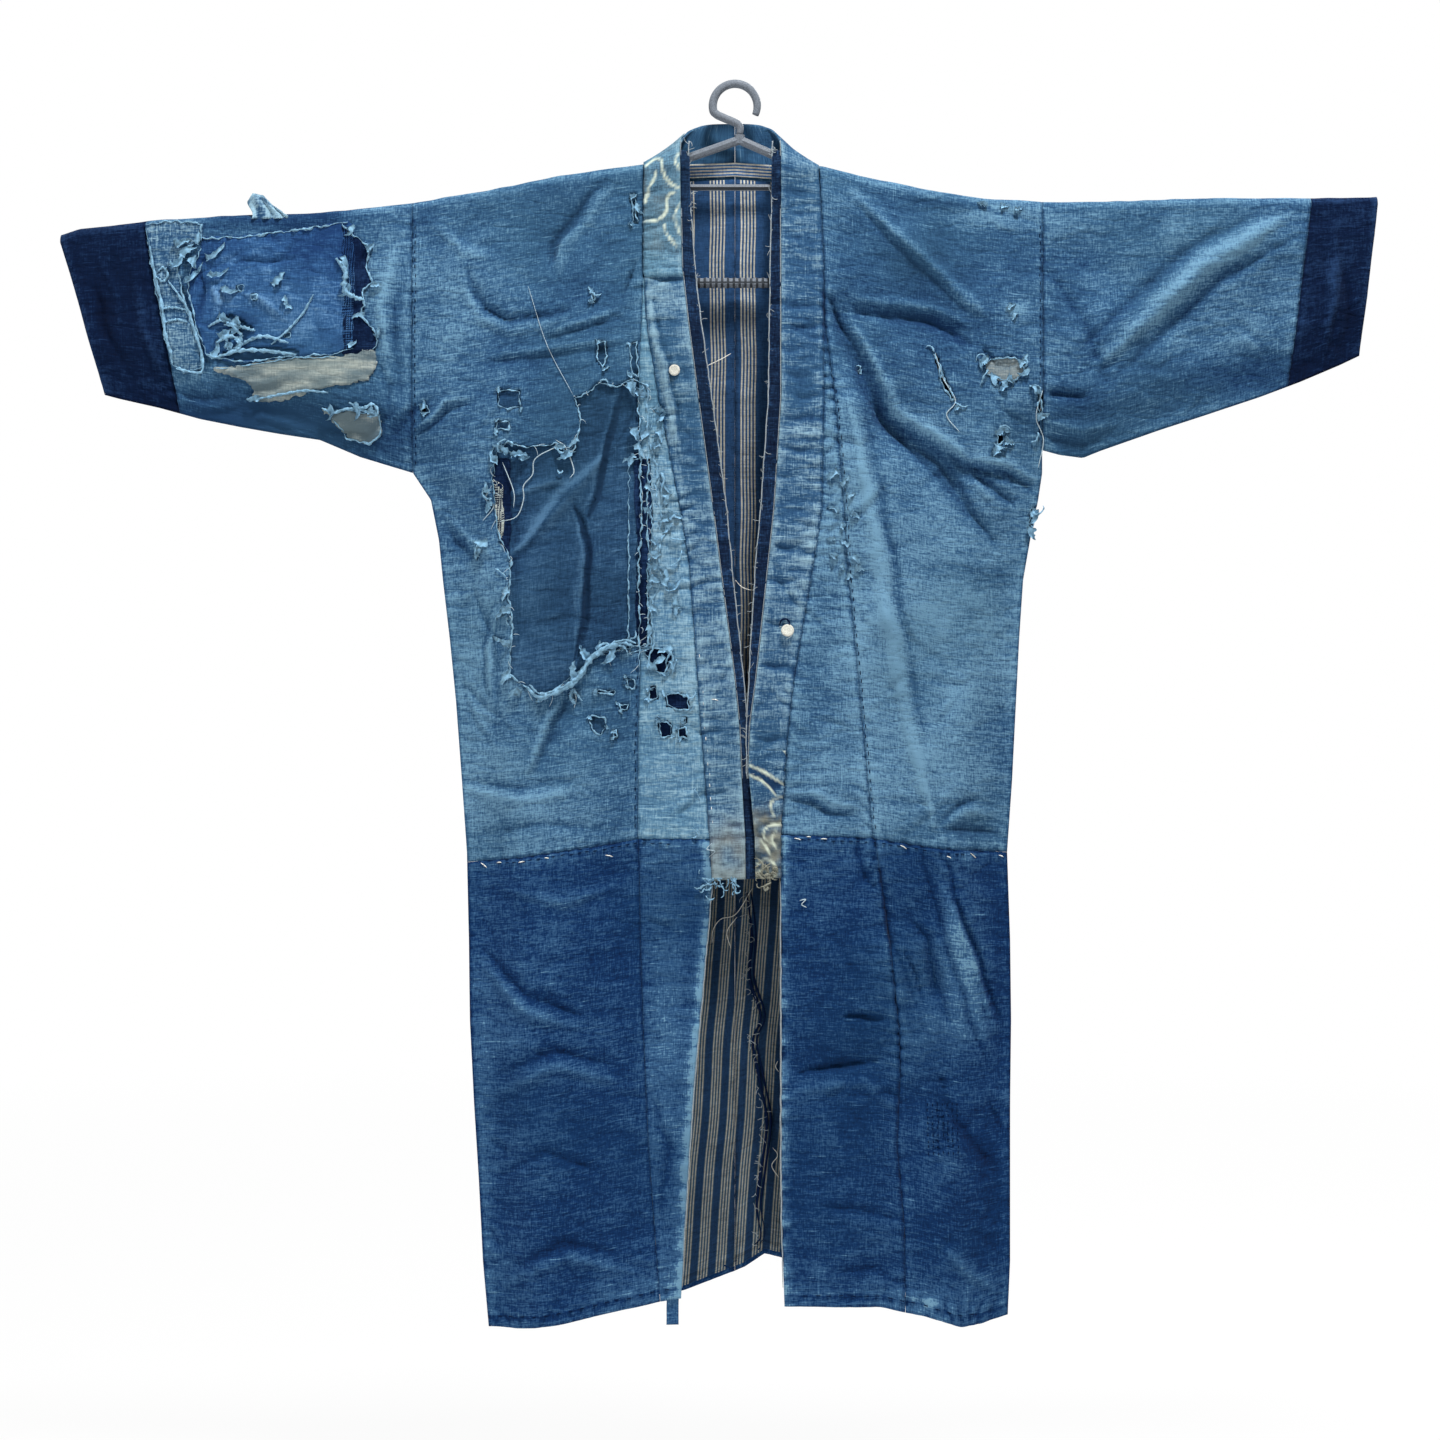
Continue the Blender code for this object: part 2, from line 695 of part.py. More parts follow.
def build_tear(body, grid, group, cutters):
    """Cut the tear in the right front and lay the older cloth behind it."""
    ring = [Vector((x, -TEAR_DEPTH, z)) * MM for x, z in TEAR]
    mesh = bpy.data.meshes.new("tear_cutter")
    shape = bmesh.new()
    front = shape.faces.new([shape.verts.new(place) for place in ring])
    block = bmesh.ops.extrude_face_region(shape, geom=[front])
    moved = [v for v in block["geom"] if isinstance(v, bmesh.types.BMVert)]
    bmesh.ops.translate(shape, verts=moved, vec=(0, TEAR_DEPTH * MM, 0))
    bmesh.ops.recalc_face_normals(shape, faces=shape.faces)
    shape.to_mesh(mesh)
    shape.free()
    cutter = bpy.data.objects.new("tear_cutter", mesh)
    cutters.objects.link(cutter)
    cutter.hide_render = True
    cutter.display_type = "WIRE"
    cut(body, cutter, "DIFFERENCE")
    under = lay_on(grid[:, :BODY_COLS + 1], WALL / 2 + GAP + THIN / 2, 1)
    cloth("chest_underlay", under[1:8, 2:], THIN, "under", group)


def build_button(name, x, z, radius, tall, rise, group):
    """Round button standing on the collar, its face along the cloth's normal."""
    step = 4.0
    here = surface(np.array(x), np.array(z))
    beside = surface(np.array(x + step), np.array(z))
    above = surface(np.array(x), np.array(z + step))
    normal = Vector(np.cross(beside - here, above - here))
    normal.normalize()
    if normal.y > 0:
        normal.negate()
    bpy.ops.mesh.primitive_cylinder_add(
        vertices=16, radius=radius * MM, depth=tall * MM)
    made = bpy.context.active_object
    made.name = name
    made.data.name = name
    made.rotation_euler = normal.to_track_quat("Z", "X").to_euler()
    made.location = (Vector(here) + normal * (rise + tall / 2)) * MM
    edge = made.modifiers.new("edge", "BEVEL")
    edge.width = 0.5 * MM
    edge.segments = 1
    for other in list(made.users_collection):
        other.objects.unlink(made)
    group.objects.link(made)
    made.data.materials.append(material("mat_" + name, "shell"))


# ---- hanger --------------------------------------------------------------------
def rod_z(x, radius):
    """Height of a rod's centre under the coat's top fold."""
    return top_z(x) - WALL - ROD_CLEAR - radius


def build_hanger(group, cutters):
    """Hook, fixed frame, two sliding arms and the ribbed lower bar."""
    centre = -HOOK_BEND
    bend = HOOK_BEND + HOOK_WIRE
    path = [(4.5, 0, -46.5), (5, 0, -41), (2.5, 0, -36), (-10, 0, -30.5), (-18, 0, -27)]
    for step in range(12):
        angle = math.radians(196 - 20 * step)
        path.append((bend * math.cos(angle), 0, centre + bend * math.sin(angle)))
    tube("hanger_hook", path, HOOK_WIRE, "plastic", group)

    frame = tube("hanger_frame", frame_path(-1), FRAME_R, "plastic", group)
    others = [
        tube("frame_right_cutter", frame_path(1), FRAME_R, "plastic", cutters),
        tube("stem_cutter", [(4.5, 0, -46.9), (4.5, 0, -56)], 5.2, "plastic", cutters),
        tube("beam_cutter", [(x, 0, BEAM_Z) for x in BEAM_ENDS],
             BEAM_R, "plastic", cutters),
    ]
    for x in UPRIGHT_X:
        high = brace_z(x)
        others.append(tube("upright_cutter", [(x, 0, high), (x, 0, BAR_Z + 1)],
                           UPRIGHT_R, "plastic", cutters))
    for other in others:
        other.hide_render = True
        other.display_type = "WIRE"
        cut(frame, other, "UNION")
    for side, word in ((-1, "right"), (1, "left")):
        arm = [(x, 0, float(rod_z(x, ARM_R))) for x in arm_stations(side)]
        tube("hanger_arm_" + word, arm, ARM_R, "plastic", group)
    build_bar(group)


def shoulder_stations(side):
    """X of the body's columns on the fold, from the neck to the frame's end."""
    start = float(fold_edge(side, math.pi / 2))
    mix = np.arange(BODY_COLS + 1) / BODY_COLS
    x = start + (ARM_X[side] - start) * mix
    return [*x[np.abs(x) < FRAME_REACH - 5], side * FRAME_REACH]


def arm_stations(side):
    """X of the cloth's columns over a sliding arm, with the arm's two ends."""
    mix = np.arange(BODY_COLS + 1) / BODY_COLS
    start = float(fold_edge(side, math.pi / 2))
    body = start + (ARM_X[side] - start) * mix
    top = CUFF_SEAM[side][1]
    sleeve = ARM_X[side] + (top - ARM_X[side]) * np.array(SLEEVE_COLS)
    both = np.abs((*body, *sleeve[1:], (top + CUFF_END[side][1]) / 2))
    first = FRAME_REACH + GAP
    last = ARM_REACH[side]
    inside = both[(both > first + 3) & (both < last - 3)]
    return [side * x for x in (first, *inside, last)]


def brace_z(x):
    """Height of a brace's centre line between the stem and the shoulder."""
    end = shoulder_stations(-1 if x < YOKE[0] else 1)[0]
    run = (x - YOKE[0]) / (end - YOKE[0])
    low = float(rod_z(end, FRAME_R)) - BRACE_DIP
    return YOKE[1] + (low - YOKE[1]) * run


def frame_path(side):
    """Centre line of one half of the fixed frame: a brace, then the shoulder."""
    first, *others = shoulder_stations(side)
    inner = [(x, 0, brace_z(x)) for x in (YOKE[0], YOKE[0] + side * 40, first)]
    return inner + [(x, 0, float(rod_z(x, FRAME_R))) for x in others]


def build_bar(group):
    """Ribbed bar between the uprights, turned about its own axis."""
    half = BAR_HALF
    count = int(2 * half / BAR_PITCH)
    pitch = 2 * half / count
    profile = [(-half, 0.0), (-half, BAR_R)]
    for k in range(count):
        start = -half + k * pitch
        profile.append((start + pitch * 0.3, BAR_R))
        profile.append((start + pitch * 0.5, BAR_R - BAR_RIB))
        profile.append((start + pitch * 0.8, BAR_R - BAR_RIB))
    profile += [(half, BAR_R), (half, 0.0)]
    points = [(x - 2.0, 0, BAR_Z + r) for x, r in profile]
    mesh = bpy.data.meshes.new("hanger_bar")
    edges = [(n, n + 1) for n in range(len(points) - 1)]
    places = [Vector((x, y, z - BAR_Z)) * MM for x, y, z in points]
    mesh.from_pydata(places, edges, [])
    made = bpy.data.objects.new("hanger_bar", mesh)
    made.location = (0, 0, BAR_Z * MM)
    group.objects.link(made)
    turn = made.modifiers.new("turn", "SCREW")
    turn.axis = "X"
    turn.angle = math.tau
    turn.steps = 10
    turn.render_steps = 10
    turn.use_merge_vertices = True
    turn.merge_threshold = 0.00005
    turn.use_normal_calculate = True
    turn.use_normal_flip = True
    mesh.materials.append(material("mat_hanger_bar", "plastic"))


def main():
    """Build the coat and its hanger."""
    clear_scene()
    coat = make_collection("boro_jacket")
    cutters = make_collection("cutters", hidden=True)
    for side, word in ((-1, "right"), (1, "left")):
        body, grid, neck_row = build_body(side, word, coat)
        overlap, back = build_lower(side, word, coat)
        build_okumi(side, word, coat)
        build_collar(side, word, coat)
        sleeve = build_sleeve(side, word, coat)
        build_lining(side, word, grid, neck_row, back, coat)
        if side < 0:
            build_tear(body, grid, coat, cutters)
            build_sleeve_patches(sleeve, coat)
    build_neck_strip(coat)
    build_hem_tab(coat)
    build_button("button_collar", -60, -285, 5.5, 2.4, BAND / 2 + GAP, coat)
    build_button("button_loop", 52, -544, 6.0, 2.4, BAND / 2 + GAP, coat)
    build_hanger(coat, cutters)


main()
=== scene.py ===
"""Finish and fine cloth of the patched boro coat on its hanger.

Sizes in the tables are millimetres: x to the wearer's left, z up, the coat's
front faces -y and the origin is where the hook bears. Side -1 is the wearer's
right. Each panel is a surface worked out over rows and columns.
"""
import math

import bpy
import numpy as np
from bpy.props import FloatProperty, FloatVectorProperty, PointerProperty
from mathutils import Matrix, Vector


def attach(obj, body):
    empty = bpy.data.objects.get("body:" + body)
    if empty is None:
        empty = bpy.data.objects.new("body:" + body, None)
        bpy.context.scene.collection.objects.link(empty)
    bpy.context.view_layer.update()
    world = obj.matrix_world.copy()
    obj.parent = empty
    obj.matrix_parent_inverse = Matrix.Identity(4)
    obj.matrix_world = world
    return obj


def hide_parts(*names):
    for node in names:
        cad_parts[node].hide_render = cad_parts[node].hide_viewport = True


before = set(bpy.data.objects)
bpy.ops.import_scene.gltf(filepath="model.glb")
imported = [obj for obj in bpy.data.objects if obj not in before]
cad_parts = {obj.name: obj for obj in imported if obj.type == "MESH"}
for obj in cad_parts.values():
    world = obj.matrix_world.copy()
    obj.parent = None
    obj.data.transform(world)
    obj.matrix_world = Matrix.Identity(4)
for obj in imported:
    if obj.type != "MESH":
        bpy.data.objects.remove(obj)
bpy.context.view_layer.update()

bl_info = {
    "name": "Patched boro coat",
    "version": (1, 0, 0),
    "blender": (4, 5, 0),
    "location": "View3D > Sidebar > Coat",
    "description": "Builds the worn cloth, patches, threads and hanger of a boro coat",
    "category": "Add Mesh",
}

MM = 0.001

# ---- the cut, as in the solids -------------------------------------------------------
GAP = 0.3                 # between neighbours
BAND = 3.0                # folded collar band
THIN = 1.0                # lining, facings and patches
CAD_WALL = 1.5            # outer cloth of the solids
UNDER_RISE = CAD_WALL / 2 + GAP + THIN / 2    # mid surfaces of outer and inner cloth
NECK_GAP = 0.8
FOLD_R = 8.0              # mid surface of the fold over the hanger's arm
SEAM_Y = 0.61             # front and back meet at the side seam
SEAM_FADE = 62.0          # the depth closes within this distance of a seam
DROP = 240.0              # the depth opens over this height below the shoulder
ARM_ROWS = 5              # rows of the solids beside the sleeve
SIDE_ROWS = 5             # and between waist and armpit
LINING_START = 3 / 8      # station of the back where the lining begins
WAIST_Z = -765.0          # the outer cloth changes from worn blue to indigo
LINING_WAIST = -0.756     # the lining changes from lines to bands, in metres
NECK_X, NECK_Z = -91.0, -85.0     # right corner of the neck, where the fold ends
BAND_END_Z = -800.0       # lower end of the collar bands

# rough sizes of the cloths, to space their points by
UPPER_RUN = 650.0         # waist to shoulder
COLLAR_RUN = 660.0
LOWER_RUN = 465.0         # waist to hem
SLEEVE_RUN = 220.0
BODY_WIDE = 226.0
BACK_WIDE = 180.0
NECK_HALF = 84.0          # from the middle to the part beside the neck
GORE_WIDE = 60.0
GORE_UNDER_WIDE = 66.0
TEAR_WIDE = 450.0         # closer points where the tear shows the older cloth
COLLAR_WIDE = 38.0
SLEEVE_WIDE = 255.0
CUFF_WIDE = 75.0
PATCH_CELL = 2.2

# places of the hanger's painted shade, in metres
GROOVE_Z = -0.1008
BAR_Z = -0.195
RIB_PITCH = 0.0058

# top of the coat from cuff to cuff: x, z
TOP_LINE = (
    (-673, -147), (-655, -141), (-575, -132), (-495, -127), (-415, -125),
    (-322, -115), (-255, -104), (-215, -96), (-175, -88), (-135, -82),
    (-91, -76), (0, -72), (88, -78), (125, -88), (165, -96), (205, -104),
    (245, -110), (307, -114), (385, -113), (465, -110), (575, -110),
    (641, -109),
)
# waist seam: x, z
WAIST = (
    (-268, -774), (-215, -769), (-135, -757), (-97, -750), (-25, -750),
    (47, -746), (135, -749), (205, -760), (273, -764),
)
# front hem: x, z
HEM_FRONT = (
    (-250, -1238), (-215, -1238), (-175, -1232), (-135, -1223),
    (-95, -1214), (-75, -1209), (-54, -1206), (49, -1214), (145, -1214),
    (165, -1219), (185, -1223), (205, -1229), (225, -1236), (245, -1234),
    (273, -1226),
)
# back hem: x, z
HEM_BACK = (
    (-250, -1234), (-150, -1222), (-52, -1206), (-22, -1195), (9, -1183),
    (30, -1169), (46, -1173), (150, -1205), (273, -1222),
)
# side edge: z, x of the right side, x of the left side
SIDE = (
    (-116, -322, 307), (-362, -322, 307), (-385, -322, 307),
    (-412, -304, 303), (-452, -296, 295), (-492, -292, 288),
    (-552, -285, 284), (-612, -279, 281), (-692, -273, 277),
    (-764, -268, 272), (-852, -266, 275), (-932, -265, 276),
    (-1012, -261, 275), (-1092, -256, 275), (-1172, -252, 275),
    (-1240, -246, 272),
)
# collar band: z, then seam and fold of the right band, seam and fold of the left
COLLAR = (
    (-85, -91, -55, 84, 46), (-180, -91, -53, 88, 46),
    (-235, -88, -47, 88, 46), (-312, -76, -37, 88, 46),
    (-424, -54, -22, 86, 39), (-480, -45, -15, 77, 33),
    (-592, -37, -0.5, 58, 21), (-637, -34, 4, 53, 15), (-682, -30, 6, 49, 13.2),
    (-727, -27, 8.6, 46, 17.5), (-750, -25, 10, 45, 19.5), (-800, -22, 10.5, 45, 20.5),
)
# gore width above the waist: z, right, left
OKUMI = (
    (-191, 0.6, 0.6), (-235, 4.5, 0.6), (-298, 17, 9), (-424, 38, 22),
    (-480, 50, 34), (-592, 57, 64), (-662, 64, 78), (-750, 71, 92),
)
OKUMI_TIP = {-1: 2, 1: 3}
# gores below the waist: z, right seam, right front edge, left seam, left front edge
LOWER = (
    (-745, -96, -25.6, 138, 45.6), (-797, -95, -23, 146, 45.6),
    (-852, -94, -28, 154, 45.8), (-942, -91, -36, 163, 46),
    (-983, -89, -40, 164, 46), (-1054, -86, -45, 161, 46),
    (-1136, -80, -50, 168, 46.5), (-1213, -74, -54, 169, 49),
)
# facing width inside the collar's fold: z, right, left
FACING = (
    (-95, 9, 9), (-180, 13, 11), (-312, 14, 13), (-424, 14, 14),
    (-480, 12, 13), (-552, 10, 10), (-610, 9, 6), (-640, 8.5, 4), (-672, 7.6, 2.4),
    (-700, 8, 1.4), (-750, 9.6, 1.2), (-800, 10.4, 1.2),
)
# under-arm seams: x, z
UNDER_RIGHT = (
    (-630, -307), (-615, -311), (-575, -320), (-535, -331), (-495, -339),
    (-455, -346), (-415, -352), (-375, -369), (-322, -385),
)
UNDER_LEFT = (
    (307, -362), (325, -367), (348, -370), (365, -363), (385, -356),
    (425, -342), (465, -329), (525, -309), (565, -294), (605, -277),
    (624, -268),
)
ARM_X = {-1: -322.0, 1: 307.0}
ARMPIT_Z = {-1: -385.0, 1: -362.0}
CUFF_SEAM = {-1: (-555.0, -588.0), 1: (553.0, 575.0)}
CUFF_END = {-1: (-630.0, -673.0), 1: (624.0, 641.0)}
# distance from the middle, front depth, back depth
DEPTH = (
    (0, 24, 22), (150, 24, 22), (250, 18, 17), (320, 13, 13),
    (450, 11, 11), (600, 9.5, 9.5), (680, 9, 9),
)
# large folds of the solids: x and z of one end, of the other, width, height
FOLDS_FRONT = (
    (-131, -93, -181, -163, 22, -4), (-204, -203, -159, -315, 20, -3),
    (-267, -182, -190, -230, 20, 2.5), (-112, -317, -125, -382, 20, -3),
    (-125, -382, -145, -432, 20, -3), (-155, -452, -147, -625, 20, -4),
    (-167, -612, -198, -687, 20, -4), (-215, -500, -230, -720, 26, 4),
    (108, -242, 158, -342, 24, -7), (158, -342, 255, -452, 24, -6),
    (220, -377, 277, -417, 16, -3), (112, -322, 150, -532, 24, 5),
    (150, -532, 202, -752, 24, 5), (110, -100, 170, -157, 22, 4),
    (170, -157, 255, -227, 22, 4), (105, -222, 205, -230, 18, -3),
    (52, -714, 115, -727, 16, -2.5), (120, -762, 145, -832, 22, -5),
    (185, -832, 195, -892, 22, -5), (195, -892, 220, -992, 22, -5),
    (215, -772, 275, -992, 30, 4), (60, -977, 145, -967, 18, -3),
    (-205, -800, -190, -1220, 40, 4), (-125, -790, -128, -1230, 30, -4),
    (120, -1040, 110, -1220, 30, 4), (235, -1040, 240, -1230, 26, -4),
    (-532, -152, -385, -140, 16, 3), (370, -242, 555, -140, 28, 6),
    (340, -160, 500, -290, 24, -3), (-340, -200, -400, -330, 26, 3),
)
FOLDS_BACK = (
    (-160, -180, -145, -700, 36, 4), (155, -200, 140, -720, 36, -4),
    (65, -250, 60, -740, 26, 3), (-65, -300, -55, -740, 26, -3),
    (0, -140, 0, -1150, 12, -2), (-175, -790, -185, -1220, 36, 5),
    (170, -790, 165, -1210, 36, -5), (85, -800, 95, -1180, 30, 4),
    (-80, -820, -75, -1190, 28, -4), (-240, -330, -180, -480, 26, -4),
    (235, -330, 180, -470, 26, -4), (-360, -180, -540, -250, 26, 4),
    (350, -170, 540, -230, 26, 4), (230, -500, 235, -740, 24, 4),
)
# free edge of the standing collar at the neck: x, y, z from its corner to the back
NECK_EDGE = (
    (54.5, -12, -80), (55, -7, -66), (54, 0, -55), (50, 7, -47),
    (45, 12, -41), (37, 16, -36), (26, 18, -33.5), (12, 19.5, -32.5),
    (0.15, 20, -32.5),
)

# ---- creases: width, height (+ is outward), then x and z along the line --------------
DARN = tuple(
    (1.5, -1.5, (193 + 3 * math.sin(k), -990 - 7.5 * k),
     (215 + 2 * math.cos(2 * k), -989 - 7.5 * k))
    for k in range(10))
CREASES_FRONT = DARN + (
    (2.6, -2.6, (118, -292), (142, -329), (169, -356), (192, -382), (214, -402)),
    (2.2, -2.2, (94, -209), (103, -233), (119, -255), (128, -280)),
    (2.2, -1.8, (108, -221), (145, -231), (187, -233), (217, -248), (233, -272)),
    (2.0, -1.5, (124, -116), (172, -164), (223, -209), (247, -224)),
    (2.0, -2.2, (246, -262), (259, -276)),
    (2.4, -2.4, (218, -371), (247, -385), (282, -396)),
    (2.2, -2.4, (309, -306), (352, -309)),
    (2.4, -2.6, (310, -350), (334, -362), (352, -357)),
    (2.6, -1.8, (150, -110), (190, -116), (241, -119), (296, -137)),
    (3.0, 1.6, (150, -105), (190, -110), (241, -113), (296, -130)),
    (2.0, -1.6, (-266, -164), (-265, -200), (-251, -221), (-226, -234), (-211, -228),
     (-187, -231)),
    (2.2, -2.2, (-161, -135), (-178, -155), (-187, -178)),
    (3.0, 1.8, (-157, -139), (-172, -158), (-181, -182)),
    (3.4, 1.9, (-190, -248), (-145, -234), (-110, -221)),
    (2.4, -1.4, (-190, -254), (-145, -241), (-108, -229)),
    (2.0, -2.8, (-99, -176), (-105, -194), (-112, -212)),
    (2.6, 2.0, (-318, -342), (-302, -332), (-290, -315), (-256, -312)),
    (2.2, -1.6, (-316, -348), (-299, -338), (-285, -322), (-256, -318)),
    (2.2, -1.6, (-240, -520), (-252, -560), (-246, -612)),
    (2.2, 1.5, (-234, -520), (-246, -562), (-240, -612)),
    (3.6, 2.4, (212, -806), (226, -846), (243, -896), (264, -952)),
    (2.6, -2.6, (219, -806), (233, -845), (250, -894), (270, -946)),
    (2.0, -2.6, (62, -983), (84, -979), (112, -974), (146, -969)),
    (1.8, -2.2, (108, -926), (126, -925), (150, -929)),
    (1.8, 1.8, (104, -921), (124, -920), (152, -923)),
    (2.0, -2.0, (166, -862), (176, -880), (188, -912)),
    (1.8, -2.0, (250, -1012), (262, -1026), (272, -1056)),
    (5, -2.2, (-125, -85), (-181, -158), (-187, -178)),
    (7, 1.6, (-115, -88), (-168, -160), (-176, -186)),
    (4, -1.5, (-268, -186), (-248, -220), (-223, -235), (-198, -231), (-173, -229),
     (-161, -217)),
    (6, 1.2, (-276, -192), (-254, -230), (-223, -245), (-190, -240), (-160, -228)),
    (4, 1.3, (-251, -270), (-180, -262), (-105, -253)),
    (5, -1.2, (-250, -277), (-180, -270), (-110, -261)),
    (5, 1.4, (-88, -214), (-74, -276), (-58, -357)),
    (4, -1.1, (-84, -214), (-69, -276), (-53, -357)),
    (10, 2.6, (-223, -469), (-175, -420), (-130, -369)),
    (5, 1.6, (-219, -406), (-170, -393)),
    (2.6, -2.0, (-114, -312), (-133, -385), (-146, -433)),
    (2.6, -2.0, (-161, -419), (-149, -438), (-146, -469), (-147, -536), (-156, -573)),
    (7, 1.8, (-154, -440), (-155, -500), (-158, -560)),
    (7, -2.0, (-161, -601), (-198, -682)),
    (6, 1.5, (-172, -607), (-208, -686)),
    (6, -1.4, (-262, -500), (-235, -560), (-238, -640)),
    (6, 1.3, (-300, -420), (-262, -455), (-242, -470)),
    (5, -1.5, (-296, -440), (-255, -470)),
    (5, -1.5, (-275, -690), (-215, -700), (-150, -690)),
    (5, 1.3, (-272, -700), (-212, -712), (-148, -702)),
    (5, -1.2, (-262, -745), (-190, -735), (-120, -742)),
    (6, 1.4, (-310, -130), (-270, -165), (-240, -172)),
    (3, -1.0, (111, -93), (137, -107), (162, -116)),
    (9, 2.8, (117, -107), (171, -161), (221, -206), (250, -228)),
    (6, -2.2, (125, -122), (178, -175), (230, -222)),
    (8, -2.2, (109, -224), (151, -228), (193, -234), (221, -248), (233, -259)),
    (6, 1.6, (120, -212), (160, -217), (200, -223), (232, -238)),
    (9, -4.2, (97, -217), (123, -281), (145, -334), (178, -357), (204, -377),
     (234, -424), (257, -452)),
    (7, 2.2, (112, -220), (140, -280), (162, -325), (190, -343), (222, -365),
     (250, -410)),
    (6, -2.8, (212, -368), (234, -385), (279, -417)),
    (6, -2.6, (234, -382), (274, -386), (300, -405)),
    (6, 2.0, (228, -372), (268, -376), (298, -392)),
    (9, 2.6, (111, -312), (133, -410), (145, -492), (161, -579), (178, -663),
     (198, -738)),
    (6, -1.6, (124, -312), (147, -410), (159, -492), (175, -579), (192, -663)),
    (5, -2.0, (57, -712), (77, -713), (91, -723), (116, -726)),
    (5, 1.4, (57, -704), (80, -705), (98, -714), (120, -718)),
    (5, -2.0, (201, -736), (223, -716), (243, -710)),
    (5, -2.0, (209, -740), (271, -745)),
    (5, 1.4, (212, -731), (232, -722), (262, -728)),
    (12, 3.2, (362, -279), (465, -180), (555, -127)),
    (8, -2.0, (345, -262), (448, -166), (520, -128)),
    (7, -1.8, (380, -290), (480, -196), (560, -150)),
    (6, -2.0, (308, -308), (359, -311)),
    (5, -2.0, (314, -349), (342, -356), (373, -353)),
    (6, 1.6, (316, -336), (345, -343), (380, -336)),
    (6, -1.5, (312, -180), (350, -240), (372, -300)),
    (9, 1.2, (198, -762), (212, -820), (240, -920), (258, -972)),
    (4, -1.8, (186, -760), (196, -806), (221, -894), (248, -972)),
    (4, -1.8, (209, -763), (227, -835), (264, -951)),
    (6, -2.8, (175, -833), (193, -849), (200, -897), (211, -933)),
    (5, -2.2, (118, -751), (132, -792), (141, -799)),
    (5, -2.0, (143, -772), (150, -817), (155, -853), (180, -915)),
    (4, -1.6, (107, -924), (150, -929)),
    (5, -2.0, (66, -980), (135, -971)),
    (4, -1.5, (140, -999), (160, -1005)),
    (5, -1.6, (78, -1114), (119, -1116), (166, -1128)),
    (7, 1.6, (60, -1000), (130, -990), (160, -1020)),
    (6, -1.5, (205, -1010), (240, -1060), (268, -1085)),
    (6, 1.5, (200, -1150), (232, -1180), (262, -1200)),
    (5, -1.3, (92, -1180), (140, -1175), (160, -1190)),
    (7, -1.8, (-250, -860), (-205, -905), (-150, -925)),
    (7, 1.6, (-252, -875), (-208, -920), (-150, -940)),
    (6, -1.6, (-235, -985), (-180, -960), (-120, -975)),
    (7, 1.5, (-232, -1000), (-178, -975), (-118, -990)),
    (6, -1.6, (-240, -1090), (-190, -1060), (-135, -1080)),
    (6, -1.5, (-225, -1180), (-170, -1150), (-105, -1165)),
    (6, 1.4, (-226, -1194), (-168, -1164), (-104, -1180)),
    (7, -1.6, (-85, -1000), (-66, -1060), (-72, -1130)),
    (5, 1.4, (-230, -800), (-170, -812), (-110, -796)),
    (6, -1.8, (-330, -320), (-365, -345), (-420, -338)),
    (6, 1.6, (-335, -150), (-352, -220), (-345, -300)),
    (5, -1.5, (-326, -170), (-340, -240), (-333, -320)),
    (6, 1.6, (-600, -180), (-590, -240), (-570, -290)),
    (6, -1.4, (-640, -190), (-625, -250), (-600, -296)),
    (6, 1.4, (596, -140), (600, -200), (590, -262)),
)
# rubbed and shaded lines on the older cloth behind the large tear
UNDER_CREASES = (
    (5, 2.2, (-222, -470), (-207, -449), (-190, -424), (-170, -399), (-152, -384), (-130, -369)),
    (3.2, -2.0, (-215, -472), (-202, -452), (-184, -428), (-164, -404), (-146, -390)),
    (3.2, 1.7, (-228, -407), (-195, -402), (-167, -392)),
    (2.6, 1.1, (-120, -393), (-108, -388), (-99, -384)),
    (2.3, -5.4, (-110, -297), (-117, -330), (-129, -367), (-137, -409), (-148, -433)),
    (3.4, 1.8, (-116, -297), (-123, -330), (-135, -368), (-144, -408), (-155, -432)),
    (2.3, -5.4, (-160, -419), (-152, -437), (-145, -455), (-146, -492), (-150, -530), (-158, -577)),
    (3.0, 1.6, (-164, -418), (-156, -440), (-150, -458), (-151, -495), (-155, -532)),
    (1.5, -3.0, (-109, -299), (-101, -326), (-107, -342), (-122, -364)),
    (1.6, 1.6, (-214, -548), (-212, -556), (-214, -566)),
    (6, -1.6, (-225, -380), (-216, -420), (-218, -480), (-214, -560)),
)
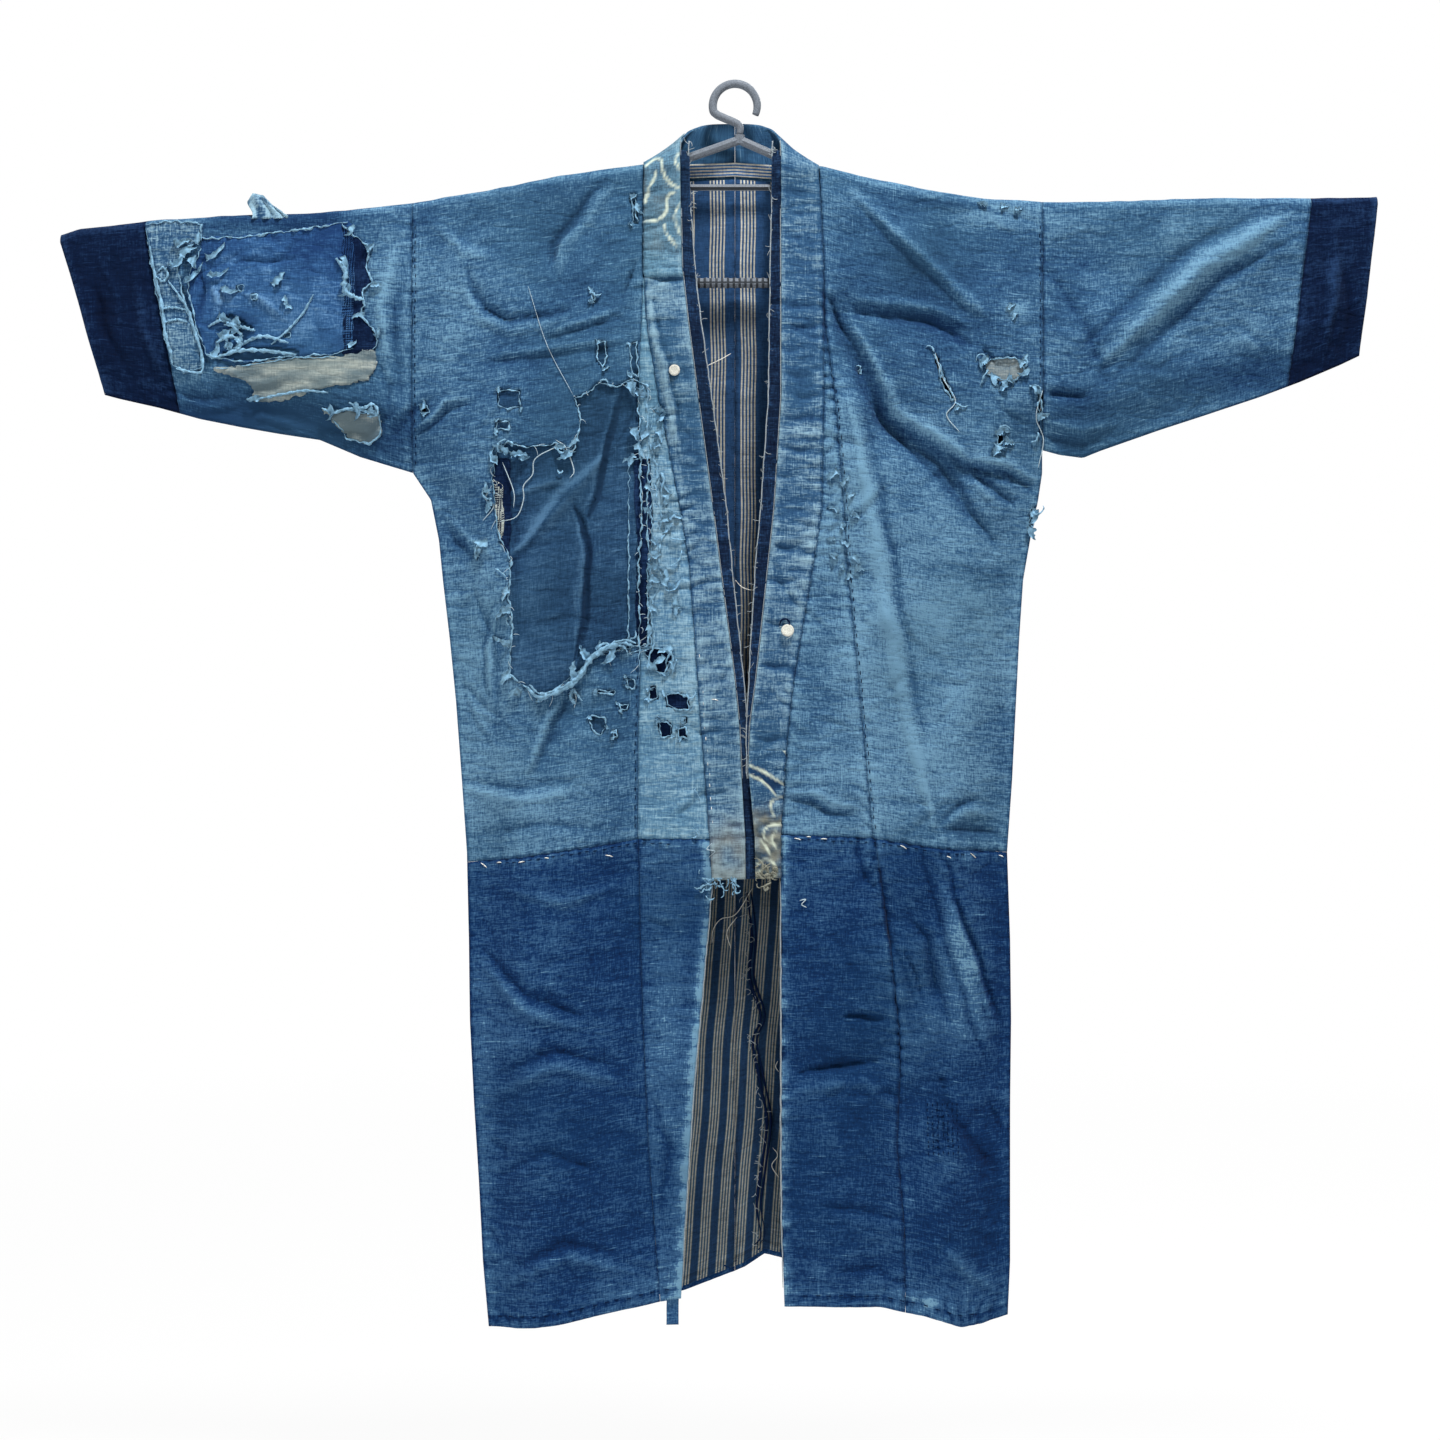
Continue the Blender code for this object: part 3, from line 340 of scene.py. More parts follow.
CREASES_COLLAR = (
    (4, -1.2, (45, -218), (60, -222), (77, -219)), (4, -1.4, (57, -239), (72, -243), (86, -240)),
    (4, -1.1, (40, -262), (55, -266), (66, -262)), (5, -1.4, (47, -288), (64, -293), (81, -291)),
    (4, -1.2, (53, -308), (70, -313), (89, -309)), (4, -1.0, (40, -330), (60, -334), (81, -328)),
    (5, -1.4, (45, -360), (66, -364), (88, -361)), (4, -1.1, (36, -388), (52, -392), (70, -388)),
    (4, -1.3, (40, -420), (58, -426), (78, -421)), (5, -1.2, (34, -455), (50, -462), (70, -458)),
    (4, -1.1, (30, -492), (48, -496), (64, -492)), (4, -1.2, (28, -532), (42, -538), (60, -534)),
    (4, -1.0, (22, -575), (38, -580), (54, -577)), (4, -1.0, (20, -650), (34, -655), (48, -652)),
    (4, -1.1, (-90, -190), (-74, -195), (-58, -191)),
    (4, -1.0, (-86, -238), (-70, -234), (-56, -238)),
    (5, -1.2, (-84, -322), (-68, -329), (-52, -326)),
    (4, -1.1, (-80, -368), (-64, -373), (-46, -369)),
    (4, -1.2, (-74, -418), (-56, -424), (-42, -420)),
    (4, -1.0, (-70, -468), (-52, -474), (-36, -470)),
    (4, -1.1, (-62, -520), (-46, -527), (-30, -522)),
    (4, -1.0, (-56, -572), (-40, -578), (-24, -574)),
    (4, -1.1, (-46, -640), (-32, -646), (-14, -642)),
    (4, -1.0, (-42, -700), (-26, -706), (-8, -702)),
    (3, 1.4, (-88, -205), (-76, -262), (-62, -330), (-50, -380)),
)
CREASES_SLEEVE = (
    (4, -1.5, (-566, -300), (-540, -310), (-512, -308)),
    (4, 1.5, (-560, -309), (-530, -320), (-500, -318)),
    (5, -1.8, (-500, -322), (-470, -318), (-440, -328), (-416, -340)),
    (4, 1.6, (-478, -330), (-446, -336), (-424, -350)),
    (4, -1.5, (-530, -328), (-506, -336), (-480, -338)),
    (5, -1.8, (-340, -350), (-330, -338), (-318, -322), (-300, -312)),
    (4, 1.6, (-348, -340), (-336, -326), (-322, -312)),
    (4, -1.4, (-410, -352), (-390, -366), (-362, -368)),
    (4, -1.6, (-352, -280), (-344, -300), (-346, -322)),
    (4, -1.3, (-566, -330), (-548, -338), (-520, -342)),
    (5, -1.5, (-640, -200), (-628, -236), (-622, -276)),
    (4, 1.3, (-632, -170), (-618, -206), (-612, -240)),
    (5, -1.5, (606, -180), (614, -220), (606, -262)),
    (4, 1.3, (590, -160), (598, -200), (594, -236)),
    (4, -2.0, (-538, -180), (-528, -204), (-534, -232)),
    (3, 1.8, (-522, -196), (-514, -214), (-520, -236)),
    (4, -1.6, (-500, -170), (-470, -176), (-440, -172)),
    (3, 1.5, (-490, -206), (-470, -214), (-448, -232)),
)
CREASES_FRONT += CREASES_COLLAR + CREASES_SLEEVE
CREASES_BACK = (
    (9, 2.6, (-150, -95), (-205, -180), (-250, -250)),
    (8, -2.2, (-130, -100), (-185, -190), (-232, -262)),
    (9, 2.4, (140, -98), (198, -176), (246, -240)),
    (8, -2.0, (122, -104), (180, -188), (226, -252)),
    (8, -3.0, (-300, -392), (-250, -420), (-205, -470), (-180, -540)),
    (7, 2.0, (-306, -372), (-255, -402), (-210, -452)),
    (8, -3.0, (290, -372), (244, -404), (200, -458), (176, -520)),
    (7, 2.0, (298, -355), (250, -388), (206, -440)),
    (6, -1.6, (-120, -330), (-70, -345), (-20, -332)),
    (6, 1.4, (-110, -318), (-66, -330), (-18, -320)),
    (6, -1.6, (60, -520), (120, -538), (190, -528)),
    (6, -1.5, (-210, -620), (-150, -640), (-90, -628)),
    (7, 1.8, (-230, -690), (-160, -708), (-60, -700)),
    (6, -1.8, (40, -700), (110, -712), (220, -700)),
    (9, 2.6, (-120, -790), (-140, -940), (-128, -1090)),
    (7, -2.0, (-104, -790), (-122, -940), (-110, -1090)),
    (9, 2.6, (128, -800), (142, -930), (130, -1120)),
    (7, -2.0, (44, -860), (60, -960), (50, -1060)),
    (6, -1.6, (-240, -900), (-190, -930), (-150, -915)),
    (6, -1.6, (180, -1010), (225, -1035), (262, -1020)),
    (6, 1.5, (-220, -1120), (-160, -1100), (-90, -1115)),
    (6, -1.5, (60, -1110), (130, -1094), (200, -1108)),
    (10, 2.6, (-370, -290), (-470, -190), (-560, -150)),
    (8, -1.8, (-352, -272), (-450, -176), (-530, -146)),
    (10, 2.6, (356, -270), (456, -185), (550, -134)),
    (6, -1.8, (318, -330), (370, -338), (420, -320)),
    (6, -1.8, (-330, -345), (-385, -350), (-440, -330)),
    (6, 1.6, (-600, -190), (-592, -250), (-575, -290)),
    (6, 1.5, (598, -150), (602, -210), (594, -250)),
)

# ---- tone of the cloth, fading and painted shade: x, z, reach in x, reach in z, + is paler ---
FADE_AND_SHADE_FRONT = (
    (-215, -670, 90, 90, 0.16), (-190, -250, 120, 110, -0.08),
    (-150, -160, 70, 50, 0.06), (-280, -300, 40, 130, 0.10),
    (-255, -560, 30, 90, 0.16), (-110, -140, 30, 60, -0.10),
    (-200, -740, 70, 22, 0.04), (205, -215, 95, 90, -0.18),
    (250, -130, 60, 14, 0.22), (200, -520, 90, 60, 0.10),
    (215, -483, 70, 9, -0.14), (120, -400, 30, 160, 0.12),
    (250, -600, 36, 140, -0.06), (160, -690, 80, 60, 0.08),
    (280, -222, 12, 9, 0.35), (-30, -560, 40, 130, 0.10),
    # (340, -330): painted shade under the left arm
    (440, -220, 100, 60, 0.10), (340, -330, 40, 30, -0.20),
    # (-495, -238) and (-470, -268): painted shade where the sleeve shows through the blue patch's
    # holes
    (-456, -130, 78, 12, -0.42), (-495, -238, 18, 10, -0.8), (-470, -268, 44, 8, -0.8),
    # (-440, -338), (-540, -322), (520, -290), (-380, -360) and (-500, -335): painted shade along
    # the sleeves' undersides
    (-440, -338, 80, 22, -0.40), (-540, -322, 60, 16, -0.35), (-500, -300, 26, 16, -0.12),
    (520, -290, 90, 20, -0.28), (500, -150, 80, 22, 0.10),
    (-380, -360, 60, 30, -0.24), (-500, -335, 70, 16, -0.30),
    (-345, -200, 22, 90, 0.10), (-340, -340, 26, 30, 0.04),
    (-200, -820, 80, 30, 0.07), (-190, -1000, 60, 140, 0.10),
    (-250, -1000, 12, 240, 0.14), (-70, -900, 20, 160, 0.18),
    (-120, -1190, 80, 30, -0.05), (-215, -1180, 50, 50, 0.07),
    (100, -800, 60, 30, 0.06), (110, -940, 50, 110, -0.06),
    (215, -870, 40, 90, 0.10), (245, -1040, 40, 80, -0.10),
    (200, -1150, 60, 50, -0.06), (190, -1212, 9, 7, 0.35),
    (100, -1180, 60, 40, 0.07), (-10, -690, 30, 60, 0.05),
    (62, -330, 26, 160, 0.10), (46, -560, 30, 120, 0.10), (215, -560, 90, 170, 0.14),
    (120, -560, 34, 120, 0.10), (205, -340, 90, 60, 0.12), (215, -600, 90, 140, 0.10),
    (-72, -450, 22, 120, 0.22), (110, -880, 60, 90, 0.06), (-74, -204, 16, 22, 0.24),
    (215, -1000, 60, 130, 0.13), (90, -1000, 50, 150, 0.04), (280, -480, 40, 100, 0.03),
    # (268, -850): painted shade behind the side fold of the left skirt
    (200, -560, 60, 110, 0.03), (228, -890, 16, 60, 0.08), (268, -850, 16, 70, -0.20),
    (-100, -1200, 260, 26, 0.10), (180, -1200, 160, 26, 0.08),
)
FADES_BACK = (
    (-190, -190, 100, 70, 0.12), (170, -170, 110, 60, 0.10),
    (0, -260, 60, 140, -0.05), (-180, -480, 90, 120, 0.08),
    (190, -560, 80, 130, 0.12), (-80, -640, 90, 60, -0.08),
    (90, -350, 70, 90, -0.10), (-170, -980, 90, 130, 0.09),
    (150, -1060, 90, 120, -0.06), (60, -860, 70, 60, 0.08),
    (-60, -1150, 90, 50, -0.05), (-450, -220, 100, 60, 0.10),
    (430, -210, 100, 60, 0.08), (230, -1180, 60, 40, 0.10),
    (-270, -700, 24, 80, 0.12), (270, -700, 24, 80, 0.10),
)

# ---- holes: x, z round each edge -----------------------------------------------------
TEAR = (
    (-237, -367), (-228, -357), (-206, -361), (-172, -357), (-166, -368),
    (-159, -361), (-154, -344), (-154, -328), (-160, -312), (-146, -306),
    (-135, -297), (-118, -301), (-103, -292),
    (-86, -300), (-86, -557), (-115, -563), (-135, -568), (-155, -584),
    (-166, -591), (-175, -602), (-195, -609), (-208, -600), (-225, -587),
    (-221, -540), (-226, -510), (-223, -472), (-235, -452), (-239, -420),
    (-242, -392),
)
HOLES_RIGHT_BODY = (
    TEAR,
    ((-146, -629), (-138, -627), (-129, -631), (-128, -640), (-133, -647), (-143, -643)),
    ((-122, -643), (-117, -641), (-116, -650), (-121, -649)),
    ((-139, -602), (-119, -603), (-120, -607), (-138, -606)),
    ((-116, -616), (-105, -616), (-106, -623), (-114, -622)),
    ((-109, -590), (-99, -592), (-100, -601), (-107, -600)),
    ((-137, -257), (-128, -255), (-126, -270), (-131, -284), (-137, -275)),
    ((-236, -305), (-224, -303), (-213, -306), (-212, -322), (-225, -324), (-236, -318)),
    ((-238, -335), (-224, -335), (-223, -345), (-237, -344)),
    ((-313, -320), (-306, -318), (-304, -325), (-311, -328)),
    ((-143, -206), (-140, -205), (-139, -216), (-142, -217)),
    ((-105, -258), (-97, -256), (-96, -292), (-103, -290)),
    ((-104, -110), (-99, -108), (-97, -136), (-102, -138)),
)
HOLES_RIGHT_GORE = (
    ((-69, -607), (-57, -605), (-46, -608), (-45, -621), (-55, -623), (-68, -618)),
    ((-77, -634), (-68, -632), (-62, -637), (-63, -648), (-74, -649)),
    ((-58, -640), (-49, -638), (-47, -650), (-56, -652)),
    ((-52, -630), (-48, -629), (-48, -635), (-51, -635)),
    ((-89, -562), (-72, -560), (-61, -568), (-70, -586), (-84, -582)),
    ((-86, -600), (-79, -598), (-76, -610), (-85, -612)),
    ((-106, -374), (-84, -372), (-82, -440), (-86, -500), (-83, -556), (-106, -568)),
)
HOLES_LEFT_BODY = (
    ((249, -277), (258, -271), (272, -270), (287, -274), (289, -286), (280, -294),
     (264, -295), (251, -289)),
    ((122, -283), (126, -282), (126, -288), (122, -288)),
    ((197, -268), (200, -268), (209, -292), (219, -314), (215, -316), (205, -296)),
    ((258, -346), (270, -350), (259, -364), (261, -352)),
    ((301, -306), (306, -304), (306, -330), (302, -332)),
    ((296, -420), (300, -421), (298, -444), (293, -436)),
)

# ---- patches on the right sleeve: x, z round each edge -------------------------------
PATCH_BLUE = (
    (-531, -151), (-493, -150), (-445, -144), (-386, -135), (-380, -140), (-379, -200),
    (-380, -262), (-405, -269), (-445, -270), (-480, -276), (-512, -273), (-527, -268),
    (-538, -236), (-546, -204), (-543, -182), (-532, -162),
)
PATCH_NAVY = (
    (-392, -137), (-378, -150), (-364, -161), (-366, -180), (-360, -197), (-370, -204),
    (-369, -220), (-373, -230), (-361, -242), (-355, -254), (-359, -264), (-390, -268),
)
PATCH_BEIGE = (
    (-522, -282), (-486, -278), (-445, -271), (-397, -270), (-359, -263), (-355, -276),
    (-366, -295), (-397, -299), (-430, -307), (-460, -314), (-479, -312), (-484, -295),
    (-508, -288),
)
PATCH_SMALL = (
    (-410, -322), (-381, -324), (-356, -326), (-352, -346), (-364, -357), (-387, -351),
    (-398, -338),
)
SLEEVE_STRIP = (
    (-588, -137), (-556, -134), (-530, -137), (-533, -154), (-552, -166), (-555, -184),
    (-548, -218), (-532, -262), (-530, -282), (-549, -286), (-561, -278), (-572, -234),
    (-580, -188), (-586, -152),
)
# small holes in the blue patch
PATCH_HOLES = (
    ((-497, -199), (-490, -198), (-490, -205), (-496, -206)),
    ((-483, -208), (-475, -207), (-475, -214), (-482, -214)),
    ((-451, -246), (-443, -245), (-443, -251), (-450, -252)),
    ((-513, -231), (-501, -228), (-477, -243), (-497, -247)),
    ((-512, -266), (-480, -260), (-440, -262), (-428, -268), (-445, -270), (-480, -275),
     (-504, -272)),
)
# rolled and looped edges on the sleeve: radius, then x and z along each
SLEEVE_ROLLS = (
    (2.3, (-397, -172), (-388, -186), (-389, -204), (-378, -211), (-369, -214)),
    (1.3, (-565, -194), (-548, -218), (-538, -244), (-531, -270), (-532, -286), (-557, -282)),
    (1.1, (-573, -222), (-560, -221), (-547, -223)),
    (1.1, (-569, -236), (-556, -233), (-545, -236)),
    (1.2, (-576, -186), (-570, -181), (-565, -188), (-570, -195), (-577, -190)),
    (1.5, (-583, -160), (-578, -190), (-572, -214), (-568, -244), (-560, -272)),
    (1.1, (-420, -208), (-430, -226), (-445, -243), (-462, -258)),
    (1.5, (-525, -240), (-512, -234), (-502, -238), (-490, -250)),
    (1.7, (-517, -256), (-500, -250), (-493, -260), (-505, -268)),
    (1.5, (-509, -238), (-494, -240), (-478, -244)),
    (1.6, (-500, -262), (-472, -250), (-445, -256)),
    (1.7, (-521, -272), (-492, -264), (-462, -265), (-437, -268)),
    (1.4, (-512, -246), (-506, -254), (-508, -262)),
    (1.5, (-384, -316), (-372, -322), (-360, -318), (-356, -328), (-366, -330)),
    (1.3, (-412, -321), (-400, -326), (-384, -322), (-358, -326)),
    (1.2, (-478, -312), (-455, -308), (-430, -304), (-405, -306)),
)


def paint(name, colour, text):
    """Colour setting from red, green and blue as seen on screen, 0 to 255."""
    value = [((c / 255 + 0.055) / 1.055) ** 2.4 if c > 10 else c / 3294.6 for c in colour]
    return FloatVectorProperty(
        name=name, description=text, default=value, size=3, min=0, max=1, subtype="COLOR")


def length(name, value, text):
    """Length setting in metres."""
    return FloatProperty(
        name=name, description=text, default=value, min=0, subtype="DISTANCE", unit="LENGTH")


class CoatSizes(bpy.types.PropertyGroup):
    """Sizes of the cloth and its threads."""
    outer: length("Outer cloth", 0.0012, "Thickness of the outer cloth")
    inner: length("Inner cloth", 0.0008, "Thickness of lining, facings and patches")
    front_cell: length("Front cell", 0.0034, "Spacing of the cloth's points in front")
    tear_cell: length("Tear cell", 0.0024, "Spacing of the points round the tear")
    back_cell: length("Back cell", 0.0050, "Spacing of the points behind")
    crumple: length("Crumple", 0.0016, "Height of the cloth's soft unevenness")
    pucker: length("Pucker", 0.0019, "Height of the puckers beside a seam")
    pitch: length("Pucker pitch", 0.0135, "Distance from one pucker to the next")
    thread: length("Thread", 0.0005, "Radius of sewing thread")
    creases: FloatProperty(
        name="Creases", description="Strength of the creases", default=2.1, min=0, max=3)


class CoatColours(bpy.types.PropertyGroup):
    """Colours of the cloths, threads and hanger."""
    worn_dark: paint("Worn blue, dark", (20, 48, 84), "Deepest tone of the worn cotton")
    worn: paint("Worn blue", (50, 87, 122), "Middle tone of the worn cotton")
    worn_pale: paint("Worn blue, pale", (110, 151, 178), "Rubbed tone of the worn cotton")
    pale_dark: paint("Pale blue, dark", (54, 92, 126), "Deepest tone of the faded cotton")
    pale: paint("Pale blue", (87, 128, 158), "Middle tone of the faded cotton")
    pale_light: paint("Pale blue, light", (144, 178, 196), "Rubbed tone of the faded cotton")
    indigo_dark: paint("Indigo, dark", (8, 25, 56), "Deepest tone of the skirt's cotton")
    indigo: paint("Indigo", (13, 48, 92), "Middle tone of the skirt's cotton")
    indigo_pale: paint("Indigo, pale", (64, 104, 142), "Rubbed tone of the skirt's cotton")
    navy_dark: paint("Navy, dark", (2, 12, 36), "Deepest tone of cuffs and facings")
    navy: paint("Navy", (4, 22, 52), "Middle tone of cuffs and facings")
    facing: paint("Facing", (18, 36, 62), "Middle tone of the facings")
    navy_pale: paint("Navy, pale", (34, 60, 98), "Rubbed tone of cuffs and facings")
    under_dark: paint("Old cloth, dark", (18, 42, 70), "Deepest tone of the older cloth")
    under: paint("Old cloth", (38, 70, 102), "Middle tone of the older cloth")
    under_pale: paint("Old cloth, pale", (72, 108, 140), "Rubbed tone of the older cloth")
    patch_dark: paint("Patch blue, dark", (26, 56, 100), "Deepest tone of the sleeve's patch")
    patch: paint("Patch blue", (48, 88, 134), "Middle tone of the sleeve's patch")
    patch_pale: paint("Patch blue, pale", (108, 150, 190), "Rubbed tone of the sleeve's patch")
    beige_dark: paint("Beige, dark", (78, 98, 112), "Deepest tone of the beige patches")
    beige: paint("Beige", (118, 132, 138), "Middle tone of the beige patches")
    beige_pale: paint("Beige, pale", (166, 174, 170), "Rubbed tone of the beige patches")
    lining_navy: paint("Lining ground", (42, 75, 115), "Ground of the striped lining")
    lining_line: paint("Lining line", (186, 184, 172), "Pale lines of the lining")
    lining_band: paint("Lining band", (50, 76, 96), "Taupe bands of the lining")
    print_line: paint("Scroll line", (202, 212, 194), "Scrolls resisted in the dye")
    stain_dark: paint("Stain, dark", (66, 78, 84), "Dark of the stained collar ends")
    stain: paint("Stain", (134, 136, 124), "Grey brown of the stained collar ends")
    thread: paint("Thread", (176, 196, 206), "Frayed blue thread")
    torn: paint("Torn edge", (122, 162, 188), "Rubbed rolls and curls of torn cloth")
    cream: paint("Cream thread", (232, 232, 224), "Unbleached sewing thread")
    piping: paint("Piping", (150, 160, 166), "Rubbed piping of facings and front edges")
    plastic: paint("Hanger plastic", (112, 119, 128), "Grey of the hanger")
    button: paint("Button", (204, 204, 194), "Shell of the buttons")
    floor: paint("Floor", (238, 238, 238), "Floor of the stage")


# ---- reading the cut -----------------------------------------------------------------
def read(table, value, column=1):
    """A column of a table by its first column, straight between rows."""
    rows = np.array(sorted(table), float)
    return np.interp(value, rows[:, 0], rows[:, column])


def smooth(t):
    """Ease from 0 to 1: three times t squared, less twice t cubed."""
    t = np.clip(t, 0, 1)
    return t * t * (3 - 2 * t)


def bell(t):
    """Bell curve: 1 at 0, and the exponential of minus t squared."""
    return np.exp(-t ** 2)


def close_to(x, z, points, reach):
    """Which places lie in the box round some points, widened by a reach."""
    px, pz = zip(*points)
    near = (x > min(px) - reach) & (x < max(px) + reach)
    return near & (z > min(pz) - reach) & (z < max(pz) + reach)


def top_z(x):
    """Height of the top edge's outside."""
    return read(TOP_LINE, x)


def tangent_z(x):
    """Height where the fold over the hanger ends and the cloth hangs."""
    return top_z(x) - CAD_WALL / 2 - FOLD_R


def under_z(x):
    """Height of the under-arm seam."""
    return np.where(np.asarray(x) < 0, read(UNDER_RIGHT, x), read(UNDER_LEFT, x))


def side_x(z, side):
    """X of a side edge."""
    return read(SIDE, z, 1 if side < 0 else 2)


def collar_x(z, side, fold=False):
    """X of the collar band's seam or fold."""
    return read(COLLAR, z, (1 if side < 0 else 3) + (1 if fold else 0))


def gore_width(z, side):
    """Width of a gore above the waist."""
    return read(OKUMI, z, 1 if side < 0 else 2)


def sleeve_x(z, side, table):
    """X of a slanted seam at a height, between its low and high ends."""
    low, high = table[side]
    top, bottom = top_z(high), under_z(low)
    return low + (high - low) * (z - bottom) / (top - bottom)


# ---- relief --------------------------------------------------------------------------
def uneven(x, z, cell, seed):
    """Soft random heights from -1 to 1.

    Random values stand at the corners of square cells and are eased between.
    """
    size = 97
    table = np.random.default_rng(seed).uniform(-1, 1, (size, size))
    u = np.asarray(x) / cell + 31.7
    v = np.asarray(z) / cell + 57.3
    i = np.floor(u).astype(int)
    j = np.floor(v).astype(int)
    a = smooth(u - i)
    b = smooth(v - j)
    low = table[i % size, j % size] * (1 - a) + table[(i + 1) % size, j % size] * a
    high = table[i % size, (j + 1) % size] * (1 - a)
    high = high + table[(i + 1) % size, (j + 1) % size] * a
    return low * (1 - b) + high * b


def line_gap(x, z, points):
    """Distance to a broken line, and 0 to 1 along it at the nearest place."""
    best = np.full(np.shape(x), 1e9)
    along = np.zeros(np.shape(x))
    pieces = len(points) - 1
    for k in range(pieces):
        start = np.array(points[k], float)
        run = np.array(points[k + 1], float) - start
        t = ((x - start[0]) * run[0] + (z - start[1]) * run[1]) / (run @ run)
        t = np.clip(t, 0, 1)
        gap = np.hypot(x - start[0] - t * run[0], z - start[1] - t * run[1])
        near = gap < best
        best = np.where(near, gap, best)
        along = np.where(near, (k + t) / pieces, along)
    return best, along


def fold_height(x, z, folds):
    """Sum of large ridges and troughs, each a bell across a straight line."""
    total = np.zeros(np.broadcast(x, z).shape)
    for x0, z0, x1, z1, width, height in folds:
        gap, _ = line_gap(x, z, ((x0, z0), (x1, z1)))
        total = total + height * bell(gap / width)
    return total


def crease_height(x, z, creases):
    """Sum of creases: a bell across a broken line, thinner and lower at its ends."""
    total = np.zeros(np.shape(x))
    wander = 2.4 * uneven(x, z, 21, 5)
    for width, height, *points in creases:
        width = 0.8 * width
        near = close_to(x, z, points, 4 * width)
        if near.any():
            gap, along = line_gap(x[near] + wander[near], z[near], points)
            fade = 0.25 + 0.75 * np.sin(np.pi * np.clip(along, 0.02, 0.98)) ** 0.6
            power = 2.0 if height > 0 else 1.4
            total[near] += height * fade * np.exp(-(gap / (width * fade)) ** power)
    return total


def wrinkle_table(seed, count):
    """Small wrinkles at random places: x, z, heading, length, width and height."""
    rng = np.random.default_rng(seed)
    z = rng.uniform(-1225, -90, count)
    x = rng.uniform(-290, 290, count)
    arms = rng.random(count) < 0.22
    x = np.where(arms, rng.choice((-1, 1), count) * rng.uniform(310, 640, count), x)
    z = np.where(arms, rng.uniform(-350, -125, count), z)
    heading = np.where(arms, rng.uniform(0, 180, count), rng.normal(0, 38, count))
    steep = (z < -760) & (rng.random(count) < 0.4)
    heading = np.radians(np.where(steep, rng.normal(90, 25, count), heading))
    long = rng.gamma(3.0, 11.0, count) + 10
    wide = rng.uniform(1.9, 4.4, count)
    high = wide * rng.uniform(0.04, 0.15, count)
    return np.column_stack((x, z, heading, long, wide, high))


WRINKLES = {False: wrinkle_table(71, 430), True: wrinkle_table(72, 240)}


def wrinkle_height(x, z, back):
    """Sum of small wrinkles, each a ridge with a trough along its lower side.

    Across a wrinkle the height is the distance times its bell; along it the
    height fades as a fourth power bell, and its line bends as a parabola.
    """
    total = np.zeros(np.shape(x))
    shift = 2.0 * uneven(x, z, 14, 6)
    for px, pz, heading, long, wide, high in WRINKLES[back]:
        reach = long * 0.8 + 3 * wide
        near = (np.abs(x - px) < reach) & (np.abs(z - pz) < reach)
        if near.any():
            a, b = x[near] - px, z[near] - pz
            along = (a * math.cos(heading) + b * math.sin(heading)) / (0.5 * long)
            bow = 0.10 * long * math.sin(px * 1.7 + pz) * along ** 2
            across = b * math.cos(heading) - a * math.sin(heading) + shift[near] + bow
            bell = np.exp(-(across / wide) ** 2 - along ** 4)
            total[near] += high * 2.3 * (across / wide) * bell
    return total


def seam_distance(x, z):
    """Distance to the nearest closed edge: side seam, armpit or under-arm."""
    out = np.zeros(np.shape(x))
    away = np.abs(x)
    for side in (-1, 1):
        arm = abs(ARM_X[side])
        pit = ARMPIT_Z[side]
        below = np.abs(side_x(z, side)) - away
        corner = np.hypot(np.maximum(arm - away, 0), z - pit)
        above = np.where(away < arm, corner, z - under_z(x))
        out = np.where(x * side >= 0, np.where(z < pit, below, above), out)
    return np.maximum(out, 0)


def seams(x, z, back):
    """Each seam as distance from it, place along it, its strength and its puckers' reach."""
    side = np.where(x < 0, -1, 1)
    waist = read(WAIST, x)
    arm = np.where(x < 0, -ARM_X[-1], ARM_X[1])
    pit = np.where(x < 0, ARMPIT_Z[-1], ARMPIT_Z[1])
    body = np.abs(x) < arm + 30
    upper = z > waist - 30
    lines = [
        (z - waist, x, 0.8 * (np.abs(x) < 300), 13),
        (np.abs(x) - arm, z, 0.6 * (z > pit - 20), 11),
        (seam_distance(x, z), z + 0.3 * x, 0.7 + 0 * x, 14),
    ]
    cuff = np.where(x < 0, sleeve_x(z, -1, CUFF_SEAM), sleeve_x(z, 1, CUFF_SEAM))
    lines.append(((x - cuff) * side, z, 0.6 * ~body, 12))
    if back:
        lines.append((np.abs(x), z, 0.7 * (body & (z < -110)), 12))
        hem = read(HEM_BACK, x)
        lines.append((z - hem - 9, x, 0.8 * (body & (z < -1000)), 11))
        return lines
    hem = read(HEM_FRONT, x)
    lines.append((z - hem - 9, x, 0.8 * (body & (z < -1000)), 11))
    seam = np.where(x < 0, collar_x(z, -1), collar_x(z, 1))
    lines.append(((x - seam) * side, z, 0.62 * (body & (z > -800)), 24))
    gore = seam + side * np.where(x < 0, gore_width(z, -1), gore_width(z, 1))
    strong = np.where(x < 0, 0.55, 0.75)
    lines.append(((x - gore) * side, z, strong * (upper & (z < -200) & body), 13))
    low = np.where(x < 0, read(LOWER, z, 1), read(LOWER, z, 3))
    strong = np.where(x < 0, 0.35, np.where(z > -985, 0.95, 0.45))
    lines.append(((x - low) * side, z, strong * (~upper & body), 13))
    return lines


